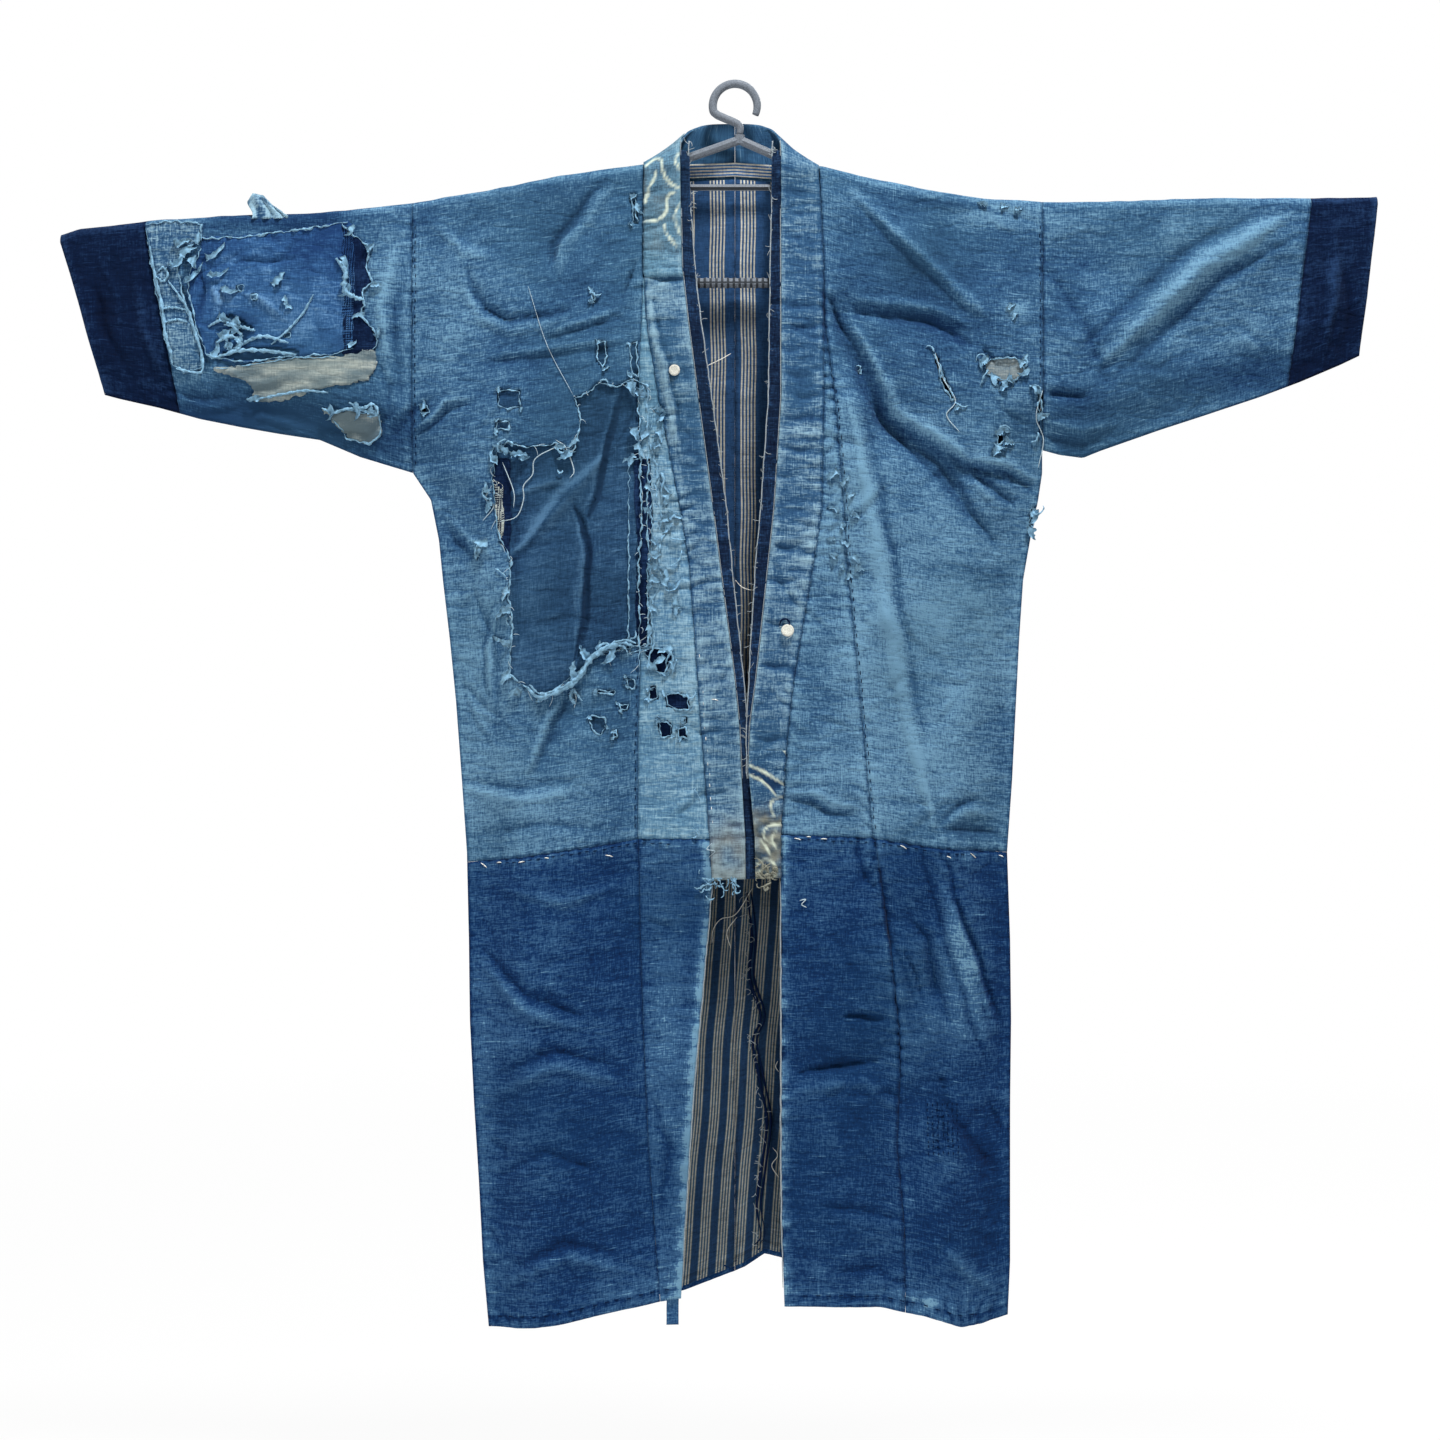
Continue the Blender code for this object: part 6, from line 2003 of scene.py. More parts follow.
def curls(table, seed, rise, sizes):
    """Twisted ends of torn cloth: x, z, length, heading, bend and radius of each.

    The heading turns steadily by the bend, and each curl arches off the cloth.
    """
    rng = np.random.default_rng(seed)
    rows = np.array(table, float)
    steps = 12
    turn = np.radians(rows[:, 3:4] + rows[:, 4:5] * np.linspace(0, 1, steps)[None] ** 1.3)
    turn = turn + 0.35 * np.cumsum(rng.normal(0, 0.5, turn.shape), axis=1)
    step = rows[:, 2:3] / (steps - 1)
    move = np.stack((np.cos(turn), np.sin(turn)), axis=-1) * step[..., None]
    paths = on_cloth(rows[:, None, :2] + np.cumsum(move, axis=1) - move[:, :1], sizes)
    share = np.linspace(0, 1, steps)[None]
    paths[..., 1] -= CAD_WALL / 2 + rise + 0.6 * rows[:, 5:6] + 0.16 * rows[:, 2:3] * np.sin(
        math.pi * share ** 0.7) * rng.uniform(0.4, 1, (len(rows), 1))
    size = rows[:, 5:6] * (1 - 0.55 * share) * (1 + 0.3 * rng.normal(0, 0.6, turn.shape))
    return tube_part(paths, np.clip(size, 0.25, 2.6), 6, 0.5, 0.5)


def scraps(table, seed, rise, sizes):
    """Torn tongues of cloth: x, z, length, heading and width of each.

    Along a tongue the width falls to a point and the middle arches off the
    cloth. Across it the edges curl up with the square of their distance.
    """
    rng = np.random.default_rng(seed)
    rows = np.array(table, float)
    x, z, long, heading, wide = (rows[:, k, None, None] for k in range(5))
    count, steps, columns = len(rows), 9, 6
    share = np.linspace(0, 1, steps)[None, :, None]
    across = np.linspace(-1, 1, columns)[None, None]
    turn = np.radians(heading) + rng.normal(0, 0.7, (count, 1, 1)) * share
    half = 0.5 * wide * (1 - share ** 1.7) ** 0.8 * (
        1 + 0.28 * rng.normal(0, 1, (count, steps, 1))) + 0.5
    off = half * across * (1 - 0.4 * across ** 2) + rng.normal(0, 0.5, (count, steps, 1))
    run = long * (share - 0.14)
    flat = np.stack((x + run * np.cos(turn) - off * np.sin(turn),
                     z + run * np.sin(turn) + off * np.cos(turn)), axis=-1)
    top = on_cloth(flat, sizes)
    lift = 0.15 * long * np.sin(math.pi * share ** 0.7) * rng.uniform(0.2, 1, (count, 1, 1))
    lift = lift + 0.75 * half * across ** 2 * rng.uniform(0.2, 1, (count, 1, 2)).repeat(3, 2)
    lift = lift + rng.uniform(0, 0.7, (count, steps, columns))
    top[..., 1] -= CAD_WALL / 2 + rise + lift
    points = np.stack((top, top + (0, 0.55, 0)), axis=1)
    index = np.arange(points.size // 3).reshape(count, 2, steps, columns)

    def quads(a, b):
        return np.stack((a[..., :-1], a[..., 1:], b[..., 1:], b[..., :-1]), axis=-1).reshape(-1, 4)

    front, under = index[:, 0], index[:, 1]
    faces = [quads(front[:, :-1], front[:, 1:])[:, ::-1], quads(under[:, :-1], under[:, 1:])]
    for a, b in ((front[:, 0], under[:, 0]), (under[:, -1], front[:, -1]),
                 (under[:, :, 0], front[:, :, 0]), (front[:, :, -1], under[:, :, -1])):
        faces.append(quads(a, b)[:, ::-1])
    return points.reshape(-1, 3), np.concatenate(faces).tolist()


def scatter(points, seed, long, wide):
    """Rows for scraps at points, with sizes and headings drawn at random."""
    rng = np.random.default_rng(seed)
    count = len(points)
    return np.column_stack((
        np.array(points, float), long * rng.uniform(0.6, 1.4, count),
        rng.uniform(0, 360, count), wide * rng.uniform(0.6, 1.3, count)))


def stitches(line, pitch, share, rise, sizes, seed, back=False):
    """Running stitches along a line: short arcs with gaps between them."""
    rng = np.random.default_rng(seed)
    path = np.array(line, float)
    count = max(1, int(path_length(path) / pitch))
    parts, steps = 8, 5
    fine = resample(path, count * parts + 1)
    long = max(2, int(parts * share))
    first = np.arange(count) * parts + rng.integers(0, 2, count)
    pick = first[:, None] + np.linspace(0, long, steps).astype(int)[None]
    pick = np.minimum(pick, count * parts)
    paths = on_cloth(fine[pick] + rng.normal(0, 0.3, (count, 1, 2)), sizes, back)
    lift = rise * np.sin(np.linspace(0, 1, steps) * math.pi) - 0.15
    paths[..., 1] += (1 if back else -1) * (CAD_WALL / 2 + lift)
    return paths


def edge_line(edge, low, high, count=40):
    """A line of x and z up an edge between two heights."""
    z = np.linspace(low, high, count)
    return np.stack((edge(z), z), axis=-1)


# ---- torn edges: loose threads, x and z along each -----------------------------------
LOOSE_RIGHT = (
    ((-171, -358), (-198, -372), (-201, -388), (-210, -399), (-210, -413), (-217, -430),
     (-234, -435)),
    ((-231, -376), (-220, -405), (-220, -421)),
    ((-206, -200), (-187, -259), (-161, -309)),
    ((-178, -354), (-168, -362), (-160, -384), (-164, -392)),
    ((-161, -601), (-158, -610), (-160, -620)),
    ((-242, -399), (-248, -412), (-240, -420), (-251, -434)),
    ((-23, -754), (-28, -760), (-20, -762), (-26, -768)),
)
LOOSE_LEFT = (
    ((199, -267), (207, -293), (219, -315), (210, -329), (223, -346)),
    ((306, -304), (300, -330), (308, -352), (303, -380)),
    ((44, -539), (52, -541), (56, -548), (50, -552)),
    ((64, -811), (70, -810), (66, -815), (71, -818)),
)
LOOSE_INSIDE = (
    ((-28, -279), (-14, -272), (-4, -266)),
    ((-34, -377), (-22, -378), (-13, -380)),
    ((28, -385), (36, -384), (42, -385)),
    ((0, -492), (8, -500), (20, -502), (27, -492)),
)
LOOSE_LINING = (
    ((17, -802), (1, -827), (-14, -832), (-22, -843), (-23, -856)),
    ((43, -975), (41, -981), (44, -986)),
    ((38, -1062), (43, -1070), (37, -1080), (44, -1092)),
    ((2, -830), (-8, -845), (-4, -862)),
)
LINING_SEAM = (
    (12, -806), (17, -850), (15, -892), (26, -930), (18, -955), (24, -990), (32, -1035),
    (27, -1080), (22, -1120), (26, -1150), (20, -1160),
)
ROPE = (
    ((-206, -600), (-192, -609), (-159, -594), (-142, -570), (-114, -556), (-100, -559)),
    ((-161, -601), (-163, -609), (-159, -616)),
)
# curled ends of torn cloth: x, z, length, heading, bend, radius
CURLS_RIGHT = (
    (-234, -366, 18, 150, -120, 1.6), (-222, -360, 12, 60, 170, 1.3),
    (-242, -412, 16, 190, -150, 1.4), (-254, -458, 16, 200, 120, 1.6),
    (-238, -482, 14, 330, -60, 0.9), (-225, -530, 10, 215, 110, 0.9),
    (-168, -366, 16, 225, -190, 1.2), (-176, -384, 9, 300, 190, 1.0),
    (-142, -206, 12, 300, 100, 1.2), (-134, -297, 12, 70, -140, 1.2),
    (-101, -303, 15, 320, 120, 1.5), (-74, -387, 24, 290, 20, 1.5),
    (-65, -452, 16, 350, -70, 1.2), (-53, -464, 24, 280, -40, 1.1),
    (-62, -562, 18, 225, 60, 1.4), (-70, -562, 22, 350, -160, 1.3),
    (-58, -572, 16, 250, 60, 1.2), (-136, -562, 18, 70, -150, 1.6),
    (-118, -558, 18, 20, -90, 1.4), (-104, -552, 12, 10, 60, 1.2),
    (-160, -600, 16, 265, 60, 1.6), (-48, -606, 16, 290, 150, 1.1),
)
CURLS_LEFT = (
    (250, -272, 16, 150, 120, 1.2), (288, -280, 14, 20, 160, 1.2),
    (252, -284, 18, 200, 60, 1.2), (219, -316, 14, 290, 120, 1.0),
    (198, -266, 12, 80, 160, 1.0), (262, -344, 16, 60, -120, 1.2),
    (304, -304, 14, 100, 130, 1.2), (302, -345, 14, 300, -140, 1.2),
    (297, -424, 18, 330, 140, 1.4), (124, -284, 9, 60, 190, 0.9),
)
# torn tongues: x, z, length, heading, width
SCRAPS_RIGHT = (
    (-226, -504, 12, 205, 13), (-225, -522, 18, 172, 14), (-226, -556, 18, 168, 13),
    (-225, -586, 14, 205, 16), (-248, -456, 14, 190, 14), (-256, -462, 12, 230, 12),
    (-246, -406, 12, 110, 13), (-243, -416, 12, 225, 13), (-238, -374, 14, 180, 13),
    (-228, -366, 16, 150, 15), (-221, -368, 16, 20, 14), (-214, -370, 11, -60, 10),
    (-164, -366, 16, 245, 15), (-157, -354, 12, 205, 10), (-170, -360, 12, 200, 9),
    (-104, -298, 15, 285, 15), (-98, -306, 13, 330, 12), (-100, -344, 16, 275, 13),
    (-97, -360, 15, 300, 14), (-101, -370, 12, 220, 12), (-92, -350, 13, 20, 14),
    (-78, -322, 12, 320, 11), (-76, -334, 11, 20, 10), (-75, -346, 12, 300, 11),
    (-76, -358, 11, 200, 10), (-72, -396, 16, 290, 9), (-68, -410, 13, 275, 11),
    (-64, -428, 14, 10, 13), (-68, -432, 14, 180, 13), (-65, -438, 12, 270, 10),
    (-82, -452, 10, 350, 11), (-84, -468, 12, 350, 13), (-84, -480, 14, 20, 13),
    (-83, -492, 12, 340, 12), (-70, -496, 16, 60, 14), (-66, -500, 16, 330, 14),
    (-60, -510, 14, 290, 12), (-58, -520, 11, 250, 10), (-84, -520, 11, 10, 12),
    (-86, -540, 11, 340, 11), (-64, -560, 15, 200, 13), (-72, -570, 15, 230, 12),
    (-62, -574, 14, 300, 13), (-80, -580, 14, 200, 12), (-146, -570, 16, 150, 15),
    (-160, -588, 16, 120, 15), (-122, -564, 18, 285, 14), (-112, -560, 13, 20, 12),
    (-134, -566, 14, 100, 13), (-88, -400, 10, 340, 10), (-89, -424, 10, 20, 10),
    (-214, -604, 14, 160, 12), (-190, -606, 13, 250, 11), (-98, -118, 12, 260, 9),
    (-312, -322, 10, 30, 8),
)
SCRAPS_LEFT = (
    (250, -274, 13, 160, 13), (258, -290, 13, 240, 13), (284, -277, 14, 20, 13),
    (290, -284, 12, 300, 12), (268, -296, 12, 280, 12), (262, -346, 14, 60, 13),
    (262, -360, 13, 250, 13), (270, -354, 11, 0, 11), (301, -306, 13, 100, 11),
    (303, -330, 13, 20, 11), (298, -424, 15, 330, 14), (296, -441, 14, 250, 13),
    (272, -292, 10, 340, 10), (222, -318, 9, 250, 8), (204, -290, 8, 30, 7),
    (250, -118, 10, 170, 8), (266, -119, 9, 10, 8), (280, -122, 8, 330, 7),
    (272, -222, 10, 60, 8), (279, -227, 9, 240, 7),
)
LOOPS_GORE = (
    (100, -386), (106, -398), (112, -410), (102, -424), (116, -428), (108, -440), (98, -452),
    (112, -458), (118, -470), (106, -478), (114, -488), (120, -482), (100, -470),
)
# torn tongues on the sleeve: x, z, length, heading, width
SLEEVE_SCRAPS = (
    (-556, -158, 18, 25, 12), (-550, -168, 18, 60, 13), (-562, -178, 17, 340, 12),
    (-541, -172, 13, 290, 11), (-536, -156, 13, 60, 11), (-524, -171, 25, 14, 9),
    (-546, -194, 28, 10, 8), (-522, -188, 22, -35, 10), (-509, -202, 18, -60, 11),
    (-459, -197, 18, 45, 11), (-449, -212, 10, -30, 9), (-447, -220, 8, 10, 7),
    (-513, -230, 17, -25, 14), (-498, -234, 19, -50, 14), (-512, -250, 16, 30, 12),
    (-505, -258, 16, -10, 12), (-494, -252, 14, -60, 11), (-520, -268, 18, 15, 10),
    (-390, -172, 17, -70, 10), (-386, -200, 16, -50, 10), (-382, -141, 13, -60, 9),
    (-366, -163, 11, 20, 8), (-361, -198, 13, -10, 9), (-371, -229, 13, 160, 9),
    (-357, -250, 11, 60, 8), (-384, -258, 10, -50, 8), (-378, -320, 16, -20, 12),
    (-364, -324, 14, -50, 12), (-404, -322, 14, -30, 9), (-476, -311, 14, 200, 9),
)
# narrow strips that show inside the large tear: x, z round each edge
STRIP_SEAM = (
    (-100, -366), (-80, -364), (-79, -440), (-81, -500), (-79, -562), (-96, -570),
    (-99, -520), (-95, -470), (-100, -420),
)
STRIP_NAVY = (
    (-240, -372), (-223, -372), (-222, -430), (-225, -470), (-236, -470), (-240, -430),
)
STRIP_CREAM = ((-244, -392), (-231, -398), (-229, -432), (-232, -464), (-242, -470))


def tear_strips(sizes):
    """Narrow strips between the torn cloth and the older cloth under it."""
    wall = 0.0004
    table = (
        ("strip_seam", STRIP_SEAM, "navy cotton", "navy", 1.0),
        ("strip_navy", STRIP_NAVY, "navy cotton", "navy", 1.0),
        ("strip_cream", STRIP_CREAM, "cream cotton", "beige", 0.5),
    )
    made = []
    for number, (name, outline, cotton_name, slot, rag) in enumerate(table):
        grid, tone, stay = patch_grid(outline, 3, 0.55, rag, 351 + number, sizes)
        grid[..., 1] += 1.1
        made.append(cloth(name, grid, tone, wall, finish(cotton_name), slot, stay))
    return made


def torn_edges(sizes):
    """Rolled lips, curled ends and loose threads round the tears."""
    torn = finish("torn edge")
    fine = sizes.thread / MM
    gore = edge_line(lambda z: collar_x(z, -1) - gore_width(z, -1), -305, -590)
    inner = edge_line(
        lambda z: -83 + 12 * bell((z + 450) / 60) + 3 * np.sin(z / 9), -330, -590)
    parts = [
        lip(TEAR, 401, 1.0, 0.0, sizes), lip(gore, 411, 1.1, 0.1, sizes, closed=False),
        lip(inner, 415, 1.0, 0.1, sizes, closed=False),
        curls(CURLS_RIGHT, 420, 0.2, sizes), scraps(
            np.array(SCRAPS_RIGHT) * (1, 1, 1.1, 1, 0.85), 421, 0.1, sizes),
    ]
    for number, hole in enumerate(HOLES_RIGHT_BODY[1:] + HOLES_RIGHT_GORE):
        parts.append(lip(hole, 430 + number, 0.75, 0.0, sizes))
        parts.append(scraps(scatter(hole[::3], 450 + number, 6, 6), 460 + number, 0.1, sizes))
    right = join_parts("torn_edge_right", parts, torn, "pale_blue")
    parts = [curls(CURLS_LEFT, 480, 0.2, sizes), scraps(scatter(
        LOOPS_GORE, 481, 11, 8), 482, 0.1, sizes), scraps(SCRAPS_LEFT, 483, 0.1, sizes)]
    for number, hole in enumerate(HOLES_LEFT_BODY):
        parts.append(lip(hole, 490 + number, 0.8, 0.0, sizes))
    left = join_parts("torn_edge_left", parts, torn, "pale_blue")
    hairs = frays(TEAR, 13, 9, 101, 0.2, sizes)
    hairs_gore = frays(gore, 12, 8, 103, 0.4, sizes, closed=False)
    loose = front_lines(LOOSE_RIGHT, 40, 0.8, sizes)
    loose = join_parts("loose_threads_right", [
        tube_part(loose, fine * np.array((1.1, 1, 0.6, 1.2, 1, 0.9, 0.9))),
        tube_part(hairs, fine * 0.5, 4),
        tube_part(hairs_gore, fine * 0.5, 4)], finish("blue thread"), "pale_blue")
    loose_left = front_lines(LOOSE_LEFT, 40, 0.8, sizes)
    loose_left = tubes(
        "loose_threads_left", loose_left, fine * 1.1, finish("blue thread"), "pale_blue")
    count = 60
    rope = front_lines(ROPE, count, 2.2, sizes)
    beat = np.linspace(0, count, count)
    wide = np.stack((2.7 + 0.7 * np.sin(beat * 0.9), 2.0 + 0.3 * np.sin(beat)))
    twist = front_lines((tuple((x + 2, z + 3) for x, z in ROPE[0]), ROPE[1]), count, 3.0, sizes)
    roll = join_parts("rolled_edge", [
        tube_part(rope, wide, 8, 0.35, 0.35), tube_part(twist, wide * 0.55, 6, 0.35, 0.5)],
        torn, "pale_blue")
    return [right, loose, roll], [left, loose_left]


def sleeve_tears(sizes):
    """Rolled lips, loops and curls round the patches of the right sleeve."""
    lift = THIN + GAP
    parts = [
        lip(PATCH_BLUE[6:], 500, 0.9, lift, sizes, closed=False),
        lip(PATCH_BLUE[:4], 502, 1.1, lift, sizes, closed=False),
        lip(SLEEVE_STRIP, 504, 1.1, lift, sizes),
        lip(PATCH_NAVY[:11], 508, 1.1, lift, sizes, closed=False),
        lip(PATCH_SMALL, 512, 0.8, lift, sizes),
        lip(PATCH_BEIGE[:4], 516, 0.6, lift, sizes, closed=False),
        scraps(SLEEVE_SCRAPS, 527, lift, sizes),
    ]
    count = 30
    step = np.arange(count)
    for radius, *line in SLEEVE_ROLLS:
        path = front_lines([line], count, lift + 0.8 * radius, sizes)
        wave = radius * (1 + 0.25 * np.sin(1.7 * step + 9 * radius) + 0.15 * np.sin(3.1 * step))
        parts.append(tube_part(path, wave[None], 7, 0.5, 0.5))
    for number, hole in enumerate(PATCH_HOLES[:3]):
        parts.append(lip(hole, 530 + number, 0.6, lift, sizes))
    return join_parts("torn_edge_sleeve", parts, finish("torn edge"), "pale_blue")


WAIST_STITCHES = (
    (62, -750), (73, -748), (88, -750), (167, -758), (212, -768), (237, -767), (266, -768),
    (-251, -777), (-235, -774), (-212, -773), (-187, -769), (-125, -767), (-20, -612),
)


def seam_stitches(sizes):
    """Hand stitches along seams, hem, collar and the darned place."""
    rng = np.random.default_rng(200)
    line = edge_line(lambda z: collar_x(z, -1) + 4, -735, -560, 80)
    cream = [stitches(line, 11, 0.45, 0.5, sizes, 201)]
    white = []
    for x, z in WAIST_STITCHES:
        dx, dz = 3.6 * rng.uniform(0.6, 1.1), rng.normal(-0.4, 1.0)
        white.append(((x - dx, z - dz), (x, z + 0.4), (x + dx, z + dz)))
    cream.append(front_lines(white, 5, 0.5, sizes))
    dark = []
    rear = []
    pale = []
    for side in (-1, 1):
        def gore(z):
            return collar_x(z, side) + side * (gore_width(z, side) + 3)

        def arm(z):
            return ARM_X[side] - side * 3 + 0 * z

        def end(z):
            return sleeve_x(z, side, CUFF_END) - side * 3

        wide = np.linspace(side * 238, side * 60, 60)
        for number, (line, pitch, share) in enumerate((
                (edge_line(gore, -740, -300, 80), 9, 0.5),
                (edge_line(arm, ARMPIT_Z[side] + 8, -135), 8, 0.5),
                (np.stack((wide, read(WAIST, wide) - 4), -1), 8, 0.5),
                (np.stack((wide, read(HEM_FRONT, wide) + 11), -1), 12, 0.4))):
            dark.append(stitches(line, pitch, share, 0.4, sizes, 210 + 10 * number + side))
        wide = np.linspace(side * 238, side * 8, 60)
        for number, (line, pitch, share) in enumerate((
                (np.stack((wide, read(WAIST, wide) - 4), -1), 9, 0.5),
                (np.stack((wide, read(HEM_BACK, wide) + 11), -1), 12, 0.4),
                (edge_line(arm, ARMPIT_Z[side] + 8, -135), 9, 0.5))):
            rear.append(stitches(line, pitch, share, 0.4, sizes, 280 + 10 * number + side, True))
        low, high = CUFF_END[side]
        pale.append(stitches(
            edge_line(end, float(under_z(low)) + 6, float(tangent_z(high)) - 6),
            7, 0.3, 0.3, sizes, 260 + side))
    for k in range(7):
        x = 191 + 5 * k
        dark.append(stitches(((x, -1012), (x + 1, -1066)), 6, 0.6, 0.6, sizes, 270 + k))
    rear.append(stitches(edge_line(lambda z: 3.0 + 0 * z, -1150, -110, 90), 10, 0.5, 0.4, sizes,
                         310, True))
    rub = []
    for side in (-1, 1):
        path = edge_line(
            lambda z: read(LOWER, z, 2 if side < 0 else 4) - side * 0.6, -1195, -792, 70)
        path = path + np.stack((0.5 * uneven(path[:, 1], 0 * path[:, 1], 6, 320 + side),
                                0 * path[:, 1]), axis=-1)
        rub.append(path)
    rub = front_lines(rub, 160, -0.3, sizes)
    edge = join_parts("front_edge_rub", [
        tube_part(rub[:1], 0.7), tube_part(rub[1:], 0.9)], finish("piping thread"), "pale_blue")
    front = join_parts("stitches_cream", [
        tube_part(lines, 0.5, 4) for lines in cream], finish("cream thread"), "pale_blue")
    deep = tubes("stitches_dark", np.concatenate(dark), 0.45, finish("dark thread"), "navy", 4)
    small = tubes("stitches_cuff", np.concatenate(pale), 0.3, finish("dark thread"), "navy", 4)
    behind = tubes("stitches_back", np.concatenate(rear), 0.45, finish("dark thread"), "navy", 4)
    return [front, edge], [deep, small, behind]


def inside_lines(lines, count, rise, sizes):
    """Paths laid on the striped lining along lines of x and z."""
    paths = on_cloth(np.array([eased(line, count) for line in lines]), sizes, True)
    paths[..., 1] -= CAD_WALL / 2 + GAP + THIN + 1.6 + rise
    return paths


def edge_hairs(paths, count, reach, seed):
    """Short bent threads that leave random points of given paths."""
    rng = np.random.default_rng(seed)
    flat = paths.reshape(-1, 3)
    start = flat[rng.integers(0, len(flat), count)]
    steps = 6
    share = np.linspace(0, 1, steps + 1)[None]
    long = reach * rng.uniform(0.3, 1.2, (count, 1))
    heading = rng.uniform(0, 2 * math.pi, (count, 1)) + rng.normal(0, 1.4, (count, 1)) * share
    move = np.stack((np.cos(heading), -0.5 * rng.random((count, 1)) + 0 * heading,
                     np.sin(heading)), axis=-1) * (long / steps)[..., None]
    return start[:, None] + np.cumsum(move, axis=1) - move[:, :1]


def inside_threads(sizes):
    """Rubbed piping along the facings, and what crosses the opening and the lining."""
    inner = []
    outer = []
    for side in (-1, 1):
        z = np.linspace(-690, -54, 212)
        fold = collar_x(z, side, True)
        width = read(FACING, z, 1 if side < 0 else 2)
        base, _ = surface(fold, z, False, sizes)
        shake = 0.5 * uneven(z, 0 * z, 7, 330 + side)
        y = base[:, 1] + width * 0.38 - 0.9
        inner.append(np.stack((fold - side * (GAP + width - 0.4 + shake), y, z), axis=-1))
        outer.append(np.stack((fold - side * 0.8, base[:, 1] - 0.5, z), axis=-1))
    inner = np.array(inner)
    outer = np.array(outer)
    piping = join_parts("facing_piping", [
        tube_part(inner, 0.65, 6, 0.9), tube_part(outer, 0.4, 5, 0.9),
        tube_part(edge_hairs(inner, 150, 7, 340), 0.28, 4),
        tube_part(edge_hairs(inner[:, -24:], 24, 8, 341), 0.35, 4)],
        finish("piping thread"), "navy")
    loose = []
    for line in LOOSE_INSIDE:
        flat = eased(line, 24)
        y = np.interp(flat[:, 0], (-60, 0, 60), (-14, -2, -14)) - 2
        loose.append(np.stack((flat[:, 0], y, flat[:, 1]), axis=-1))
    hanging = inside_lines(LOOSE_LINING, 24, 0.6, sizes)
    loose = join_parts("loose_threads_inside", [
        tube_part(loose, 0.45), tube_part(hanging, 0.4)], finish("cream thread"), "navy")
    count = 120
    seam = inside_lines([LINING_SEAM], count, 0.0, sizes)
    step = np.arange(count)
    wide = 1.4 + uneven(step, 0 * step, 5, 350)
    dark = join_parts("lining_seam_roll", [
        tube_part(seam, wide[None], 7), tube_part(seam + (4.2, 0, 1.0), 0.7 * wide[None], 6)],
        finish("dark thread"), "navy")
    rough = tubes(
        "lining_seam_frays", edge_hairs(seam - (2.5, 1.0, 0), 90, 8, 351), 0.3,
        finish("piping thread"), "navy", 4)
    return piping, loose, dark, rough


def collar_ends(sizes):
    """Torn lower ends of the two collar bands, and the knot on the left one."""
    lift = BAND / 2 - CAD_WALL / 2 + 0.2
    rng = np.random.default_rng(360)
    count, few = 26, 8
    x = rng.uniform(-34, 2, count)
    row = np.column_stack((
        x, -792 + 0.10 * x + rng.normal(0, 5, count), rng.uniform(5, 12, count),
        rng.normal(-90, 50, count), rng.normal(0, 120, count), rng.uniform(0.5, 1.3, count)))
    side = np.column_stack((
        rng.uniform(-38, -34, few), rng.uniform(-790, -700, few), rng.uniform(3, 7, few),
        rng.uniform(120, 240, few), rng.normal(0, 120, few), rng.uniform(0.4, 0.8, few)))
    torn = join_parts("collar_end_right", [
        curls(row, 361, lift, sizes), curls(side, 362, lift, sizes)],
        finish("torn edge"), "pale_blue")
    x = rng.uniform(20, 42, count)
    row = np.column_stack((
        x, -784 + rng.normal(0, 6, count), rng.uniform(5, 12, count),
        rng.uniform(0, 360, count), rng.normal(0, 160, count), rng.uniform(0.6, 1.7, count)))
    left = join_parts("collar_end_left", [
        curls(row, 363, lift + 1.2, sizes)], finish("stained end"), "beige")
    return [torn, left]


TURN_STEPS = 40


def turned(name, profile, centre, normal, finish_name, slot):
    """A round piece: a profile of radius and height turned about its normal."""
    profile = np.array(profile, float)
    normal = np.array(normal, float) / np.linalg.norm(normal)
    first = np.cross(normal, (0.0, 0.0, 1.0))
    first /= np.linalg.norm(first)
    second = np.cross(normal, first)
    angle = np.arange(TURN_STEPS) / TURN_STEPS * 2 * math.pi
    rim = np.cos(angle)[:, None] * first + np.sin(angle)[:, None] * second
    points = np.array(centre) + profile[:, None, 1:] * normal + profile[:, None, :1] * rim[None]
    steps = len(profile)
    index = np.arange(steps * TURN_STEPS).reshape(steps, TURN_STEPS)
    after = np.roll(index, -1, axis=1)
    walls = np.stack((index[:-1], after[:-1], after[1:], index[1:]), axis=-1)
    faces = walls.reshape(-1, 4).tolist()
    faces += [index[0, ::-1].tolist(), index[-1].tolist()]
    return add_mesh(name, points.reshape(-1, 3), faces, finish(finish_name), slot)


def buttons(sizes):
    """Two shell buttons on the collar bands and the dark loop of the lower one."""
    made = []
    for name, x, z, radius in (("button_collar", -60, -285, 5.6), ("button_loop", 52, -544, 6.4)):
        base, _ = surface(np.array([x, x + 4, x]), np.array([z, z, z + 4]), False, sizes)
        normal = np.cross(base[1] - base[0], base[2] - base[0])
        normal = normal * -np.sign(normal[1]) / np.linalg.norm(normal)
        profile = (
            (0.01, -0.9), (radius * 0.7, -0.9), (radius, 0.2), (radius * 0.98, 0.9),
            (radius * 0.85, 1.4), (radius * 0.62, 1.25), (radius * 0.3, 0.9), (0.01, 0.85))
        rise = BAND / 2 + 1.0
        button = turned(name, profile, base[0] + normal * rise, normal, "shell", "pale_button")
        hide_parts(name)
        made.append(button)
    ring = ((44, -538), (46, -533), (51, -532), (54, -536), (52, -540))
    loop = front_lines([ring], 30, BAND / 2 + 0.8, sizes)
    made.append(tubes("button_thread", loop, 0.9, finish("dark thread"), "navy", 6))
    return made


# ---- hanger --------------------------------------------------------------------------
HOOK_WIRE = 4.2           # radius
HOOK_BEND = 18.0          # inner radius of the bend


